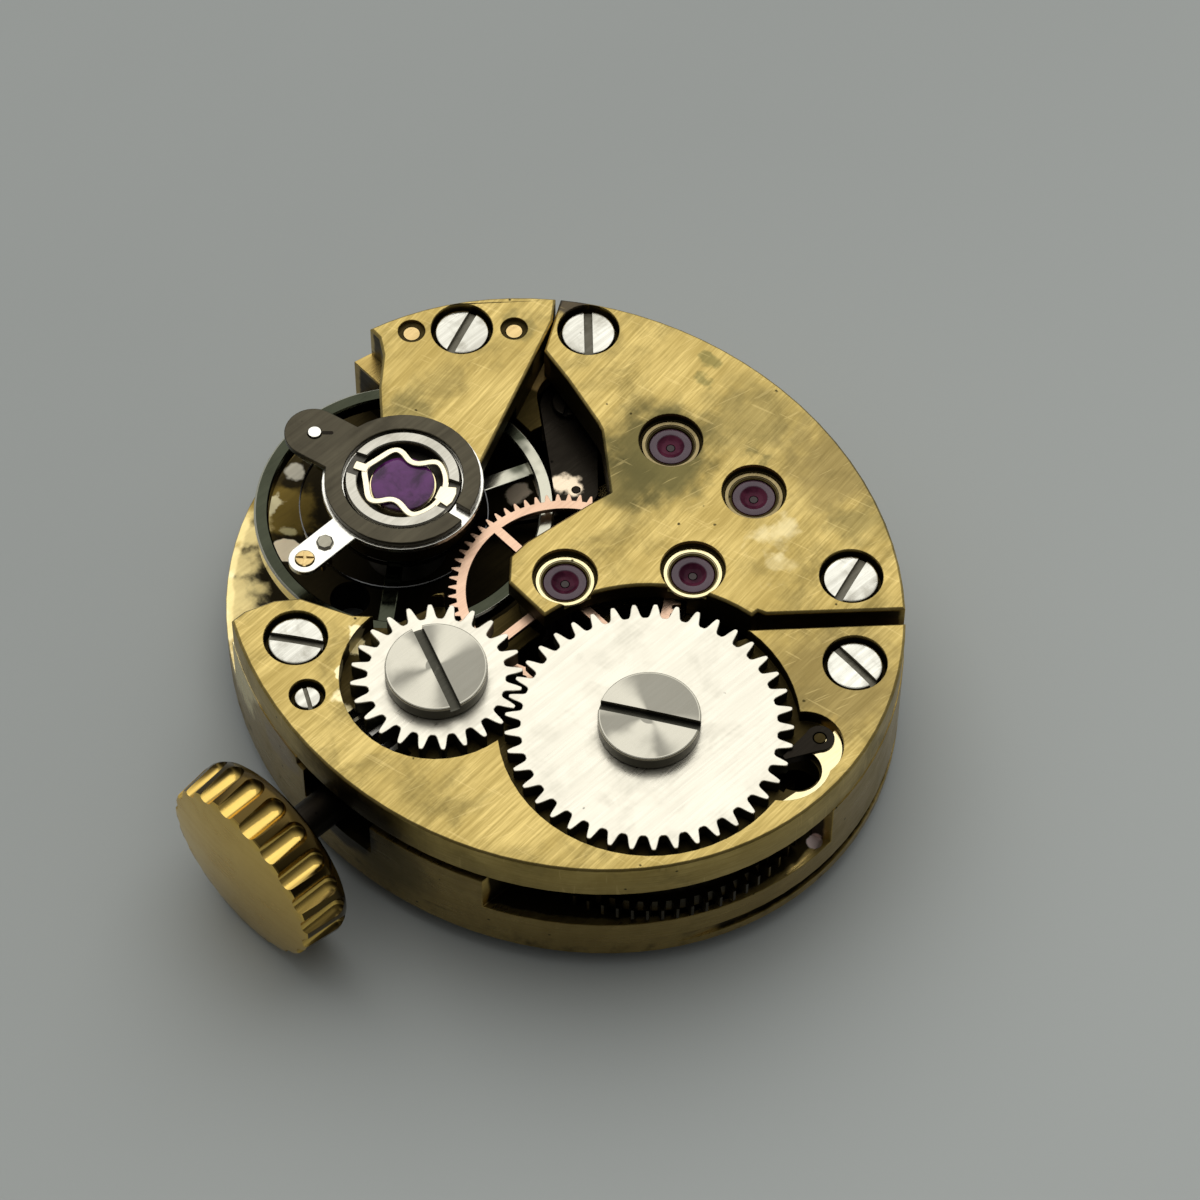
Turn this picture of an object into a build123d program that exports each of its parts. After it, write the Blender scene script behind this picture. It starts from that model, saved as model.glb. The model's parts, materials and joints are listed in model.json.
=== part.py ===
from build123d import *
import math
import os

# A ladies' oval hand-wound watch movement, in millimetres.
# The origin is on the centre arbor's axis, at the dial face of the plate.
# +Z points from the dial face to the bridges, -X to the crown, +Y to the balance.
# Places in the plan are shares of the half width and half length of the oval.

# Overall sizes
HALF_WIDTH = 6.60
HALF_LENGTH = 7.50
OVAL_SHIFT = 0.10
HEIGHT = 3.25
BRIDGE_THICKNESS = 0.92
BASE_TOP = 1.13
STEM_SHARE = 0.4923
STEM_HEIGHT = HEIGHT * STEM_SHARE
SEAT = HEIGHT - BRIDGE_THICKNESS

# Clearances
FIT_GAP = 0.01
BORE_GAP = 0.02
RUN_GAP = 0.04
SIDE_GAP = 0.06
POCKET_GAP = 0.12
OVERRUN = 0.25

# Axes of the arbors
THIRD_SHARES = (0.3106, -0.2200)
FOURTH_SHARES = (0.6515, -0.1507)
ESCAPE_SHARES = (0.5970, 0.1320)
BALANCE_SHARES = (-0.1394, 0.5253)
BARREL_SHARES = (-0.1833, -0.5040)
CROWN_WHEEL_SHARES = (-0.5379, 0.0)
MINUTE_SHARES = (-0.1561, -0.1547)
PALLET_SHARE = 0.355
SETTING_ANGLE = 144.2

# Tooth counts
BARREL_TEETH = 70
CENTRE_LEAVES = 14
CENTRE_TEETH = 64
THIRD_LEAVES = 8
THIRD_TEETH = 60
FOURTH_LEAVES = 8
FOURTH_TEETH = 70
ESCAPE_LEAVES = 7
ESCAPE_TEETH = 15
RATCHET_TEETH = 41
CROWN_WHEEL_TEETH = 24
CANNON_LEAVES = 10
MINUTE_TEETH = 30
MINUTE_LEAVES = 8
HOUR_TEETH = 32
SETTING_TEETH = 17
WINDING_TEETH = 16
CLUTCH_TEETH = 8

# Tooth form, as shares of the module and of the pitch
ADDENDUM_SHARE = 0.95
WINDING_ADDENDUM_SHARE = 0.80
DEDENDUM_SHARE = 1.35
FOOT_SHARE = 0.62
LAND_SHARE = 0.18

# Bridges
BRIDGE_INSET = 0.02
BRIDGE_BEVEL = 0.05
TRAIN_BRIDGE_SHARES = (
    (0.742, 0.711), (0.544, 0.600), (0.520, 0.479), (0.476, 0.316), (0.464, 0.288),
    (0.321, 0.120), (0.247, 0.131), (0.0, 0.157), (-0.074, 0.151), (-0.142, 0.092),
    (-0.145, -0.071), (-0.130, -0.085), (0.018, -0.123), (0.129, -0.177), (0.200, -0.440),
    (0.348, -0.440), (0.359, -0.463), (0.800, -0.796), (1.200, -0.900), (1.200, 0.900),
    (0.820, 0.800),
)
BARREL_BRIDGE_SHARES = (
    (-1.200, 0.512), (-0.811, 0.512), (-0.717, 0.483), (-0.652, 0.440), (-0.576, 0.303),
    (-0.500, 0.235), (-0.330, 0.200), (-0.100, 0.050), (0.100, -0.400), (0.273, -0.460),
    (0.800, -0.855), (0.800, -1.200), (-1.200, -1.200),
)
COCK_SHARES = (
    (-0.012, 0.743), (0.059, 0.819), (0.155, 0.897), (0.192, 0.949), (0.210, 1.200),
    (0.900, 1.200), (0.790, 0.770), (0.645, 0.660), (0.061, 0.420), (-0.1394, 0.5253),
)
COCK_DISC_RADIUS = 1.56
COCK_REACH = 0.50
TRAIN_ARC_GAP = 0.46

# Bridge screws and steady pins
SCREW_HEAD_RADIUS = 0.59
SCREW_HEAD_HEIGHT = 0.30
SCREW_SINK = 0.16
SCREW_RECESS_GAP = 0.07
SCREW_SHANK_RADIUS = 0.30
SCREW_DEPTH = 0.85
SCREW_BEVEL = 0.05
SLOT_WIDTH = 0.13
SLOT_DEPTH = 0.12
TRAIN_SCREW_SHARES = ((0.703, 0.567), (0.650, -0.533))
TRAIN_SLOT_ANGLES = (48, 18)
BARREL_SCREW_SHARES = ((0.433, -0.740), (-0.761, 0.351))
BARREL_SLOT_ANGLES = (88, -54)
COCK_SCREW_SHARES = ((0.409, 0.813),)
COCK_SLOT_ANGLES = (22,)
PIN_RADIUS = 0.17
PIN_REACH = 0.40
PIN_SINK = 0.10
PIN_RECESS_RADIUS = 0.29
HIDDEN_PIN_SHARES = ((0.780, 0.450), (0.740, -0.500), (-0.780, -0.250), (0.340, -0.800))
COCK_PIN_SHARES = ((0.285, 0.904), (0.532, 0.713))

# Jewels
JEWEL_RADIUS = 0.45
JEWEL_HEIGHT = 0.22
JEWEL_SINK = 0.22
JEWEL_CUP_RADIUS = 0.24
JEWEL_CUP_DEPTH = 0.08
COUNTERSINK_RADIUS = 0.675
LOWER_JEWEL_LOW = 0.45

# Going train
PIVOT_RADIUS = 0.08
ARBOR_RADIUS = 0.14
CENTRE_ARBOR_RADIUS = 0.22
CENTRE_WHEEL_RISE = 0.28
CENTRE_WHEEL_THICKNESS = 0.12
CENTRE_POCKET_GAP = 0.10
WHEEL_THICKNESS = 0.12
LEAF_OVERLAP = 0.12
RIM_WIDTH = 0.20
SPOKE_WIDTH = 0.20
HUB_RADIUS = 0.42
FOURTH_WHEEL_RISE = 0.62
ESCAPE_WHEEL_RISE = 0.25
ESCAPE_WHEEL_THICKNESS = 0.10
CENTRE_PINION_POCKET_GAP = 0.20
ARBOR_BORE_RADIUS = 0.25

# Barrel
BARREL_FLOOR = 0.55
BARREL_RADIUS = 3.05
BARREL_WALL = 0.12
BARREL_LID = 0.10
BARREL_TOOTH_RISE = 0.17
BARREL_TOOTH_HEIGHT = 0.35
BARREL_POCKET_GAP = 0.15
BARREL_CORE_RADIUS = 0.55
BARREL_SHAFT_RADIUS = 0.50
BARREL_PIVOT_RADIUS = 0.28
BARREL_PIVOT_LOW = 0.20
SPRING_STRIP = 0.08
SPRING_COILS = 5

# Winding wheels on the barrel bridge
RATCHET_THICKNESS = 0.30
RATCHET_SINK = 0.02
RATCHET_RECESS_GAP = 0.14
RATCHET_SQUARE = 0.80
CROWN_WHEEL_THICKNESS = 0.41
CROWN_WHEEL_RECESS_GAP = 0.22
CROWN_SEAT_RADIUS = 0.75
BIG_HEAD_RADIUS = 1.04
BIG_HEAD_HEIGHT = 0.37
BIG_HEAD_BEVEL = 0.06
BIG_SHANK_RADIUS = 0.24
BIG_SHANK_LENGTH = 0.60
BIG_SLOT_WIDTH = 0.16
BIG_SLOT_DEPTH = 0.17
RATCHET_SLOT_ANGLE = -57
CROWN_SLOT_ANGLE = 70

# Click
CLICK_RECESS_SHARES = (0.1136, -0.8333)
CLICK_RECESS_RADIUS = 0.78
CLICK_PIVOT_SHARES = (0.1697, -0.8400)
CLICK_DISC_RADIUS = 0.30
CLICK_POST_RADIUS = 0.12
CLICK_TIP_ANGLE = -58
CLICK_TIP_DEPTH = 0.13
CLICK_TIP_WIDTH = 0.10
CLICK_THICKNESS = 0.22
CLICK_HOLE_SHARES = (0.0409, -0.8667)
CLICK_HOLE_RADIUS = 0.47
CLICK_LEDGE_SHARES = (0.0303, -0.8213)
CLICK_LEDGE_RADIUS = 1.00
CLICK_LEDGE_DEPTH = 0.17
CLICK_SPRING_RADIUS = 0.69
CLICK_SPRING_STRIP = 0.05
CLICK_SPRING_ANGLES = (-95, -25)

# Balance
BALANCE_RADIUS = 3.13
BALANCE_RIM = 0.30
BALANCE_RIM_LOW_DROP = 0.25
BALANCE_RIM_HEIGHT = 0.37
BALANCE_POCKET_GAP = 0.19
BALANCE_POCKET_FLOOR = 1.00
BALANCE_ARM_WIDTH = 0.34
BALANCE_ARM_HEIGHT = 0.15
BALANCE_ARM_LIFT = 0.07
BALANCE_ARM_ANGLES = (-20, 100, 220)
BALANCE_HUB_RADIUS = 0.45
STAFF_RADIUS = 0.16
STAFF_FLANGE_RADIUS = 0.28
ROLLER_RADIUS = 0.85
ROLLER_HEIGHT = 0.12
ROLLER_LOW_RISE = 0.49
IMPULSE_RADIUS = 0.08
IMPULSE_REACH = 0.62
IMPULSE_LENGTH = 0.32
PLATE_HOLE_SHARES = (-0.4015, 0.5000)
PLATE_HOLE_RADIUS = 0.42
BALANCE_OPENING_SHARES = (
    (0.133, 1.200), (0.133, 0.850), (-0.139, 0.525), (-0.790, 0.522), (-1.200, 0.522),
    (-1.200, 1.200),
)

# Hairspring, stud and regulator
HAIRSPRING_DROP = 0.10
HAIRSPRING_HEIGHT = 0.10
HAIRSPRING_STRIP = 0.04
HAIRSPRING_BODY_RADIUS = 1.48
HAIRSPRING_PIN_RADIUS = 2.18
HAIRSPRING_COILS = 5
HAIRSPRING_TURN = 195
COLLET_RADIUS = 0.32
COLLET_SPLIT = 0.06
STUD_ANGLE = 105
STUD_RADIUS = 0.14
REGULATOR_RADIUS = 1.68
REGULATOR_HEIGHT = 0.12
REGULATOR_ANGLE = 181
REGULATOR_ARM_REACH = 3.12
REGULATOR_ARM_WIDTH = 0.68
REGULATOR_PIN_REACH = 2.74
CURB_PIN_RADIUS = 0.05
CURB_HEAD_RADIUS = 0.13
ARM_PIN_RADIUS = 0.19
PIN_HEAD_HEIGHT = 0.05
CARRIER_RADIUS = 1.62
CARRIER_HEIGHT = 0.14
CARRIER_REACH = 2.22
CARRIER_LOBE_RADIUS = 0.60
CARRIER_SPLIT_ANGLE = -78
CARRIER_SPLIT = 0.28

# Shock bearings
SHOCK_RADIUS = 1.20
SHOCK_NECK_RADIUS = 0.85
SHOCK_NECK_LENGTH = 0.25
SHOCK_RISE = 0.25
SHOCK_FLANGE = 0.45
SHOCK_CAVITY_RADIUS = 0.92
SHOCK_LOWER_LIFT = 0.05
SETTING_RADIUS = 0.72
SETTING_HEIGHT = 0.12
SETTING_BORE_RADIUS = 0.30
CAP_RADIUS = 0.66
CAP_HEIGHT = 0.12
LYRE_WIRE = 0.10
LYRE_HEIGHT = 0.06
LYRE_HALF_SHARES = (
    (0.06, -0.80), (0.42, -0.70), (0.30, -0.34), (0.52, -0.10), (0.52, 0.12),
    (0.34, 0.34), (0.52, 0.62), (0.34, 0.86), (0.0, 0.90),
)
LYRE_ANGLE = 28

# Lever escapement
LEVER_THICKNESS = 0.14
LEVER_DROP = 0.06
LEVER_WIDTH = 0.20
LEVER_POCKET_RADIUS = 1.60
FORK_SPREAD = 0.17
FORK_DEPTH = 0.26
STONE_WIDTH = 0.20
STONE_LENGTH = 0.42
STONE_SPREAD = 30
STONE_BITE = 0.06
PALLET_ARM_WIDTH = 0.26
PALLET_BRIDGE_RISE = 0.62
PALLET_BRIDGE_THICKNESS = 0.27
PALLET_BRIDGE_RADIUS = 0.46
PALLET_FOOT_SHARES = (0.545, 0.500)
PALLET_FOOT_RADIUS = 0.60
PALLET_SCREW_HEAD_RADIUS = 0.36
PALLET_SCREW_HEAD_HEIGHT = 0.16
PALLET_SCREW_SHANK_RADIUS = 0.17
PALLET_SLOT_ANGLE = 35

# Stem and crown
STEM_RADIUS = 0.40
STEM_SQUARE = 0.50
STEM_PILOT_RADIUS = 0.15
STEM_PILOT_LENGTH = 0.50
STEM_GROOVE_SHARE = 0.886
STEM_GROOVE_WIDTH = 0.26
STEM_GROOVE_RADIUS = 0.22
STEM_PULL = 0.40
STEM_NECK_RADIUS = 0.34
STEM_NOTCH_DEPTH = 0.60
STEM_NOTCH_HALF = 0.95
STEM_NOTCH_SHIFT = 0.25
CROWN_GAP = 1.30
CROWN_LENGTH = 0.95
CROWN_DOME = 0.16
CROWN_RADIUS = 2.10
CROWN_TAPER = 0.13
CROWN_FLUTES = 20
CROWN_FLUTE_DEPTH = 0.17
CROWN_FLUTE_RADIUS = 0.26
CROWN_SHOULDER = 0.12
CROWN_BORE_RADIUS = 0.30
CROWN_BACK_RADIUS = 0.95

# Winding and sliding pinions
WINDING_BITE = 0.14
WINDING_TOOTH_HEIGHT = 0.42
WINDING_HUB_RADIUS = 0.90
WINDING_HUB_LENGTH = 0.29
CLUTCH_TOOTH = 0.12
CLUTCH_TOOTH_SHARE = 0.42
SLIDING_RADIUS = 0.92
SLIDING_GROOVE_RADIUS = 0.50
SLIDING_GROOVE_WIDTH = 0.36
SLIDING_GAP = 0.17
SLIDING_ROOT_DEPTH = 0.16

# Setting lever, yoke and cover
LEVER_PIVOT_SHARES = (-0.872, 0.193)
SMALL_HEAD_RADIUS = 0.27
SMALL_HEAD_HEIGHT = 0.20
SMALL_SINK = 0.14
SMALL_RECESS_RADIUS = 0.37
SMALL_SHANK_RADIUS = 0.16
SMALL_SLOT_ANGLE = 63
SMALL_SLOT_WIDTH = 0.09
SMALL_SLOT_DEPTH = 0.08
SETTING_LEVER_LOW = 0.16
SETTING_LEVER_THICKNESS = 0.26
SETTING_LEVER_RADIUS = 0.34
SETTING_LEVER_END_RADIUS = 0.20
SETTING_PIN_RADIUS = 0.10
SETTING_PIN_SLOT = 0.16
SETTING_RECESS_SHARES = (
    (-0.825, 0.200), (-0.825, -0.045), (-0.975, -0.045), (-0.968, 0.130), (-0.925, 0.215),
)
YOKE_PIVOT_SHARE = -0.200
YOKE_RADIUS = 0.28
YOKE_POST_RADIUS = 0.13
YOKE_LOW = 0.72
YOKE_THICKNESS = 0.24
YOKE_FINGER_RADIUS = 0.07
YOKE_FINGER_REACH = 0.15
YOKE_RECESS_SHARES = (
    (-0.742, -0.207), (-0.667, -0.253), (-0.568, -0.220), (-0.515, -0.173),
    (-0.515, -0.110), (-0.742, -0.110),
)
YOKE_SPRING_SHARES = (
    (-0.725, -0.200), (-0.700, -0.205), (-0.690, -0.150), (-0.655, -0.122), (-0.658, -0.112),
    (-0.700, -0.145),
)
COVER_LOW = 0.02
COVER_THICKNESS = 0.10
COVER_SHARES = (
    (-0.900, 0.150), (-0.840, 0.235), (-0.450, 0.225), (-0.290, 0.090), (-0.270, -0.070),
    (-0.420, -0.260), (-0.540, -0.275), (-0.800, -0.190), (-0.930, -0.040),
)
COVER_SCREW_SHARES = ((-0.470, 0.165), (-0.460, -0.225))
COVER_SCREW_RADIUS = 0.24
COVER_SHANK_RADIUS = 0.12
COVER_SHANK_LENGTH = 0.34

# Motion work under the dial
MOTION_FLOOR = 0.42
CANNON_LOW = 0.20
CANNON_TOOTH_HEIGHT = 0.18
CANNON_TUBE_RADIUS = 0.34
CANNON_TIP_RADIUS = 0.28
CANNON_DROP = 0.50
HOUR_LOW = 0.05
HOUR_THICKNESS = 0.12
HOUR_TUBE_RADIUS = 0.62
HOUR_DROP = 0.30
MINUTE_LOW = 0.22
MINUTE_THICKNESS = 0.14
MINUTE_POST_RADIUS = 0.14
SETTING_WHEEL_LOW = 0.24
SETTING_WHEEL_HEIGHT = 0.50
SETTING_POST_RADIUS = 0.20

# Plate details
DIAL_FOOT_SHARES = ((0.826, 0.347), (-0.742, -0.400))
DIAL_FOOT_RADIUS = 0.35
DIAL_FOOT_DEPTH = 0.90
WINDOW_ANGLES = (178.7, 237.0, 295.3)
GROOVE_LOW = 0.22
GROOVE_HEIGHT = 0.28
GROOVE_SHIFT_RIGHT = 0.30
GROOVE_SHIFT_FRONT = 0.17
RIM_STEP_HEIGHT = 0.22
RIM_STEP_DEPTH = 0.28
RIM_STEP_ANGLES = (138.6, 178.7)


def spot(shares):
    """Return a place in the plan from its shares of the half width and half length."""
    return shares[0] * HALF_WIDTH, shares[1] * HALF_LENGTH


def polar(centre, radius, angle):
    """Return the place at a radius and an angle in degrees from a centre."""
    turn = math.radians(angle)
    return centre[0] + radius * math.cos(turn), centre[1] + radius * math.sin(turn)


def angle_to(start, end):
    """Return the direction in degrees from one place to another."""
    return math.degrees(math.atan2(end[1] - start[1], end[0] - start[0]))


def module_of(start, end, teeth):
    """Return the module of two meshing gears from their distance and joint tooth count."""
    return 2 * math.dist(start, end) / teeth


# Places worked out from the shares
CENTRE = (0, 0)
THIRD = spot(THIRD_SHARES)
FOURTH = spot(FOURTH_SHARES)
ESCAPE = spot(ESCAPE_SHARES)
BALANCE = spot(BALANCE_SHARES)
BARREL = spot(BARREL_SHARES)
CROWN_WHEEL = spot(CROWN_WHEEL_SHARES)
MINUTE = spot(MINUTE_SHARES)
LEVER_PIVOT = spot(LEVER_PIVOT_SHARES)
CLICK_PIVOT = spot(CLICK_PIVOT_SHARES)
PALLET_FOOT = spot(PALLET_FOOT_SHARES)
PALLET = (
    ESCAPE[0] + (BALANCE[0] - ESCAPE[0]) * PALLET_SHARE,
    ESCAPE[1] + (BALANCE[1] - ESCAPE[1]) * PALLET_SHARE,
)

# Modules worked out from the distances
BARREL_MODULE = module_of(BARREL, CENTRE, BARREL_TEETH + CENTRE_LEAVES)
CENTRE_MODULE = module_of(CENTRE, THIRD, CENTRE_TEETH + THIRD_LEAVES)
THIRD_MODULE = module_of(THIRD, FOURTH, THIRD_TEETH + FOURTH_LEAVES)
FOURTH_MODULE = module_of(FOURTH, ESCAPE, FOURTH_TEETH + ESCAPE_LEAVES)
WINDING_MODULE = module_of(BARREL, CROWN_WHEEL, RATCHET_TEETH + CROWN_WHEEL_TEETH)
MOTION_MODULE = module_of(CENTRE, MINUTE, CANNON_LEAVES + MINUTE_TEETH)
SETTING_DISTANCE = MOTION_MODULE * (MINUTE_TEETH + SETTING_TEETH) / 2
SETTING = polar(MINUTE, SETTING_DISTANCE, SETTING_ANGLE)


def tip_of(teeth, module, addendum=ADDENDUM_SHARE):
    """Return the tip radius of a gear."""
    return module * (teeth / 2 + addendum)


def root_of(teeth, module):
    """Return the root radius of a gear."""
    return module * (teeth / 2 - DEDENDUM_SHARE)


# Radii and levels worked out from the sizes above
BARREL_TIP = tip_of(BARREL_TEETH, BARREL_MODULE)
CENTRE_TIP = tip_of(CENTRE_TEETH, CENTRE_MODULE)
THIRD_TIP = tip_of(THIRD_TEETH, THIRD_MODULE)
FOURTH_TIP = tip_of(FOURTH_TEETH, FOURTH_MODULE)
RATCHET_TIP = tip_of(RATCHET_TEETH, WINDING_MODULE, WINDING_ADDENDUM_SHARE)
CROWN_WHEEL_TIP = tip_of(CROWN_WHEEL_TEETH, WINDING_MODULE, WINDING_ADDENDUM_SHARE)
CROWN_WHEEL_ROOT = root_of(CROWN_WHEEL_TEETH, WINDING_MODULE)
ESCAPE_RADIUS = math.dist(ESCAPE, PALLET) * math.cos(math.radians(STONE_SPREAD))
CENTRE_WHEEL_LOW = SEAT + CENTRE_WHEEL_RISE
CENTRE_WHEEL_TOP = CENTRE_WHEEL_LOW + CENTRE_WHEEL_THICKNESS
THIRD_WHEEL_TOP = SEAT - RUN_GAP
THIRD_WHEEL_LOW = THIRD_WHEEL_TOP - WHEEL_THICKNESS
FOURTH_WHEEL_LOW = BASE_TOP + FOURTH_WHEEL_RISE
FOURTH_WHEEL_TOP = FOURTH_WHEEL_LOW + WHEEL_THICKNESS
ESCAPE_WHEEL_LOW = BASE_TOP + ESCAPE_WHEEL_RISE
LEVER_LOW = ESCAPE_WHEEL_LOW - LEVER_DROP
LEVER_TOP = LEVER_LOW + LEVER_THICKNESS
BARREL_TOOTH_LOW = BASE_TOP + BARREL_TOOTH_RISE
BARREL_TOOTH_TOP = BARREL_TOOTH_LOW + BARREL_TOOTH_HEIGHT
BARREL_LOW = BARREL_FLOOR + SIDE_GAP
BARREL_LID_TOP = THIRD_WHEEL_LOW - SIDE_GAP
BARREL_LID_LOW = BARREL_LID_TOP - BARREL_LID
JEWEL_TOP = HEIGHT - JEWEL_SINK
JEWEL_LOW = JEWEL_TOP - JEWEL_HEIGHT
LOWER_JEWEL_TOP = LOWER_JEWEL_LOW + JEWEL_HEIGHT
RATCHET_TOP = HEIGHT - RATCHET_SINK
RATCHET_LOW = RATCHET_TOP - RATCHET_THICKNESS
CROWN_WHEEL_LOW = RATCHET_TOP - CROWN_WHEEL_THICKNESS
PALLET_BRIDGE_LOW = BASE_TOP + PALLET_BRIDGE_RISE
PALLET_BRIDGE_TOP = PALLET_BRIDGE_LOW + PALLET_BRIDGE_THICKNESS
RIM_LOW = SEAT - BALANCE_RIM_LOW_DROP
RIM_TOP = RIM_LOW + BALANCE_RIM_HEIGHT
ARM_LOW = RIM_LOW + BALANCE_ARM_LIFT
ARM_TOP = ARM_LOW + BALANCE_ARM_HEIGHT
ROLLER_LOW = BASE_TOP + ROLLER_LOW_RISE
COCK_LOW = HEIGHT - COCK_REACH
HAIRSPRING_TOP = COCK_LOW - HAIRSPRING_DROP
HAIRSPRING_LOW = HAIRSPRING_TOP - HAIRSPRING_HEIGHT
SHOCK_TOP = HEIGHT + SHOCK_RISE
SHOCK_FLANGE_LOW = SHOCK_TOP - SHOCK_FLANGE
SHOCK_NECK_LOW = SHOCK_FLANGE_LOW - SHOCK_NECK_LENGTH
SHOCK_SPAN = SHOCK_TOP + SHOCK_LOWER_LIFT
LYRE_TOP = SHOCK_TOP - SIDE_GAP
CAP_TOP = LYRE_TOP - LYRE_HEIGHT
CAP_LOW = CAP_TOP - CAP_HEIGHT
SETTING_LOW = CAP_LOW - SETTING_HEIGHT
REGULATOR_LOW = HEIGHT
REGULATOR_TOP = REGULATOR_LOW + REGULATOR_HEIGHT
CARRIER_LOW = REGULATOR_TOP + FIT_GAP
CARRIER_TOP = CARRIER_LOW + CARRIER_HEIGHT
WINDING_OUT = CROWN_WHEEL[0] - CROWN_WHEEL_TIP - RUN_GAP
WINDING_IN = CROWN_WHEEL[0] - CROWN_WHEEL_ROOT - BORE_GAP
WINDING_TIP = CROWN_WHEEL_LOW + WINDING_BITE - STEM_HEIGHT
WINDING_FACE = WINDING_IN + WINDING_HUB_LENGTH
SLIDING_START = WINDING_FACE + CLUTCH_TOOTH
SETTING_TIP = tip_of(SETTING_TEETH, MOTION_MODULE)
SLIDING_END = SETTING[0] - SETTING_TIP - SLIDING_GAP
SLIDING_GROOVE = (SLIDING_START + SLIDING_END) / 2
CLUTCH_TRAVEL = SLIDING_GAP + POCKET_GAP
STEM_GROOVE = -STEM_GROOVE_SHARE * HALF_WIDTH
STEM_SQUARE_END = SLIDING_END + CLUTCH_TRAVEL + RUN_GAP
CROWN_BACK = -HALF_WIDTH - CROWN_GAP
CROWN_FACE = CROWN_BACK - CROWN_LENGTH
YOKE_PIVOT = (SLIDING_GROOVE, YOKE_PIVOT_SHARE * HALF_LENGTH)

FROM_BASE = (Align.CENTER, Align.CENTER, Align.MIN)
UP = (0, 0, 1)


def disc(radius, low, high, at=CENTRE):
    """Return a round solid between two heights."""
    return Pos(at[0], at[1], low) * Cylinder(radius, high - low, align=FROM_BASE)


def bore(radius, low, high, at=CENTRE):
    """Return a round cutter that runs past both heights."""
    return disc(radius, low - OVERRUN, high + OVERRUN, at)


def ring(outer, inner, low, high, at=CENTRE):
    """Return a round solid with a round hole."""
    return disc(outer, low, high, at) - bore(inner, low, high, at)


def slab(face, low, high):
    """Return a face in the plan raised between two heights."""
    return Pos(0, 0, low) * extrude(face, amount=high - low, dir=UP)


def sheet(points):
    """Return a flat face from its corners."""
    return make_face(Polyline(*points, close=True))


def shares_sheet(shares):
    """Return a flat face from corners given as shares."""
    return sheet([spot(pair) for pair in shares])


def circle(radius, at=CENTRE):
    """Return a round face at a place."""
    return Pos(at[0], at[1]) * Circle(radius)


def link(start, end, start_radius, end_radius):
    """Return the face of a lever between two round ends."""
    line = angle_to(start, end)
    sides = [
        polar(start, start_radius, line + 90),
        polar(start, start_radius, line - 90),
        polar(end, end_radius, line - 90),
        polar(end, end_radius, line + 90),
    ]
    return circle(start_radius, start) + circle(end_radius, end) + sheet(sides)


def turned(steps, at=CENTRE):
    """Return a turned arbor from steps of radius, low and high."""
    arbor = disc(*steps[0], at)
    for step in steps[1:]:
        arbor += disc(*step, at)
    return arbor


def gear_face(teeth, tip, root, turn=0):
    """Return the face of a gear whose first tooth points at the turn in degrees."""
    pitch = 360 / teeth
    corners = ((root, -FOOT_SHARE), (tip, -LAND_SHARE), (tip, LAND_SHARE), (root, FOOT_SHARE))
    points = []
    for tooth in range(teeth):
        middle = turn + tooth * pitch
        points += [polar(CENTRE, radius, middle + share * pitch / 2) for radius, share in corners]
    return sheet(points)


def gear(teeth, module, low, high, at, turn=0, addendum=ADDENDUM_SHARE):
    """Return a gear of straight teeth between two heights."""
    face = gear_face(teeth, tip_of(teeth, module, addendum), root_of(teeth, module), turn)
    return Pos(at[0], at[1]) * slab(face, low, high)


def mesh_turn(at, turn, teeth, mate_at, mate_teeth):
    """Return the turn that sets a mate's teeth into the gaps of the first gear."""
    line = angle_to(at, mate_at)
    share = ((line - turn) * teeth / 360) % 1
    return line + 180 + (share + 0.5) * 360 / mate_teeth


def crossings(rim_inner, hub, arms, width, low, high, at, turn=0):
    """Return the cutter for the open windows between a wheel's arms."""
    face = Circle(rim_inner) - Circle(hub)
    for arm in range(arms):
        spoke = Rot(0, 0, turn + arm * 360 / arms) * Rectangle(rim_inner, width, align=(Align.MIN, Align.CENTER))
        face -= spoke
    return Pos(at[0], at[1]) * slab(face, low - OVERRUN, high + OVERRUN)


def screw(head_radius, head_low, head_top, shank_radius, tip_low, at, slot, bevel):
    """Return a slotted screw. The slot holds its angle, width and depth."""
    angle, width, depth = slot
    head = disc(head_radius, head_low, head_top)
    head = chamfer(head.edges().group_by(Axis.Z)[-1], bevel)
    cutter = Box(2 * head_radius + OVERRUN, width, 2 * depth)
    head -= Pos(0, 0, head_top) * Rot(0, 0, angle) * cutter
    return Pos(at[0], at[1]) * (head + disc(shank_radius, tip_low, head_low))


def along_stem(solid, start):
    """Lay a solid made along +Z on the stem's axis, its base at a place along X."""
    return Pos(start, 0, STEM_HEIGHT) * Rot(0, 90, 0) * solid


def oval(inset=0):
    """Return the plan of the movement, drawn in by an inset."""
    return Pos(0, OVAL_SHIFT) * Ellipse(HALF_WIDTH - inset, HALF_LENGTH - inset)


def bridge_blank(face):
    """Return a bridge of full thickness with its upper edge bevelled."""
    blank = slab(face & oval(BRIDGE_INSET), SEAT, HEIGHT)
    rim = blank.faces().sort_by(Axis.Z)[-1].outer_wire().edges()
    return chamfer(rim, BRIDGE_BEVEL)


def screw_seats(shares):
    """Return the cutter for the recesses and bores of bridge screws."""
    floor = HEIGHT - SCREW_SINK - SCREW_HEAD_HEIGHT
    cutters = Part()
    for pair in shares:
        cutters += disc(SCREW_HEAD_RADIUS + SCREW_RECESS_GAP, floor, HEIGHT + OVERRUN, spot(pair))
        cutters += bore(SCREW_SHANK_RADIUS + FIT_GAP, SEAT, floor, spot(pair))
    return cutters


def jewel_seat(at, throat, throat_top):
    """Return the cutter for an upper jewel, its countersink and the arbor's room below."""
    cutter = disc(COUNTERSINK_RADIUS, JEWEL_TOP, HEIGHT + OVERRUN, at)
    cutter += disc(JEWEL_RADIUS + FIT_GAP, JEWEL_LOW, JEWEL_TOP, at)
    cutter += disc(ARBOR_BORE_RADIUS, SEAT - OVERRUN, JEWEL_LOW, at)
    return cutter + disc(throat, SEAT - OVERRUN, throat_top, at)


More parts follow.
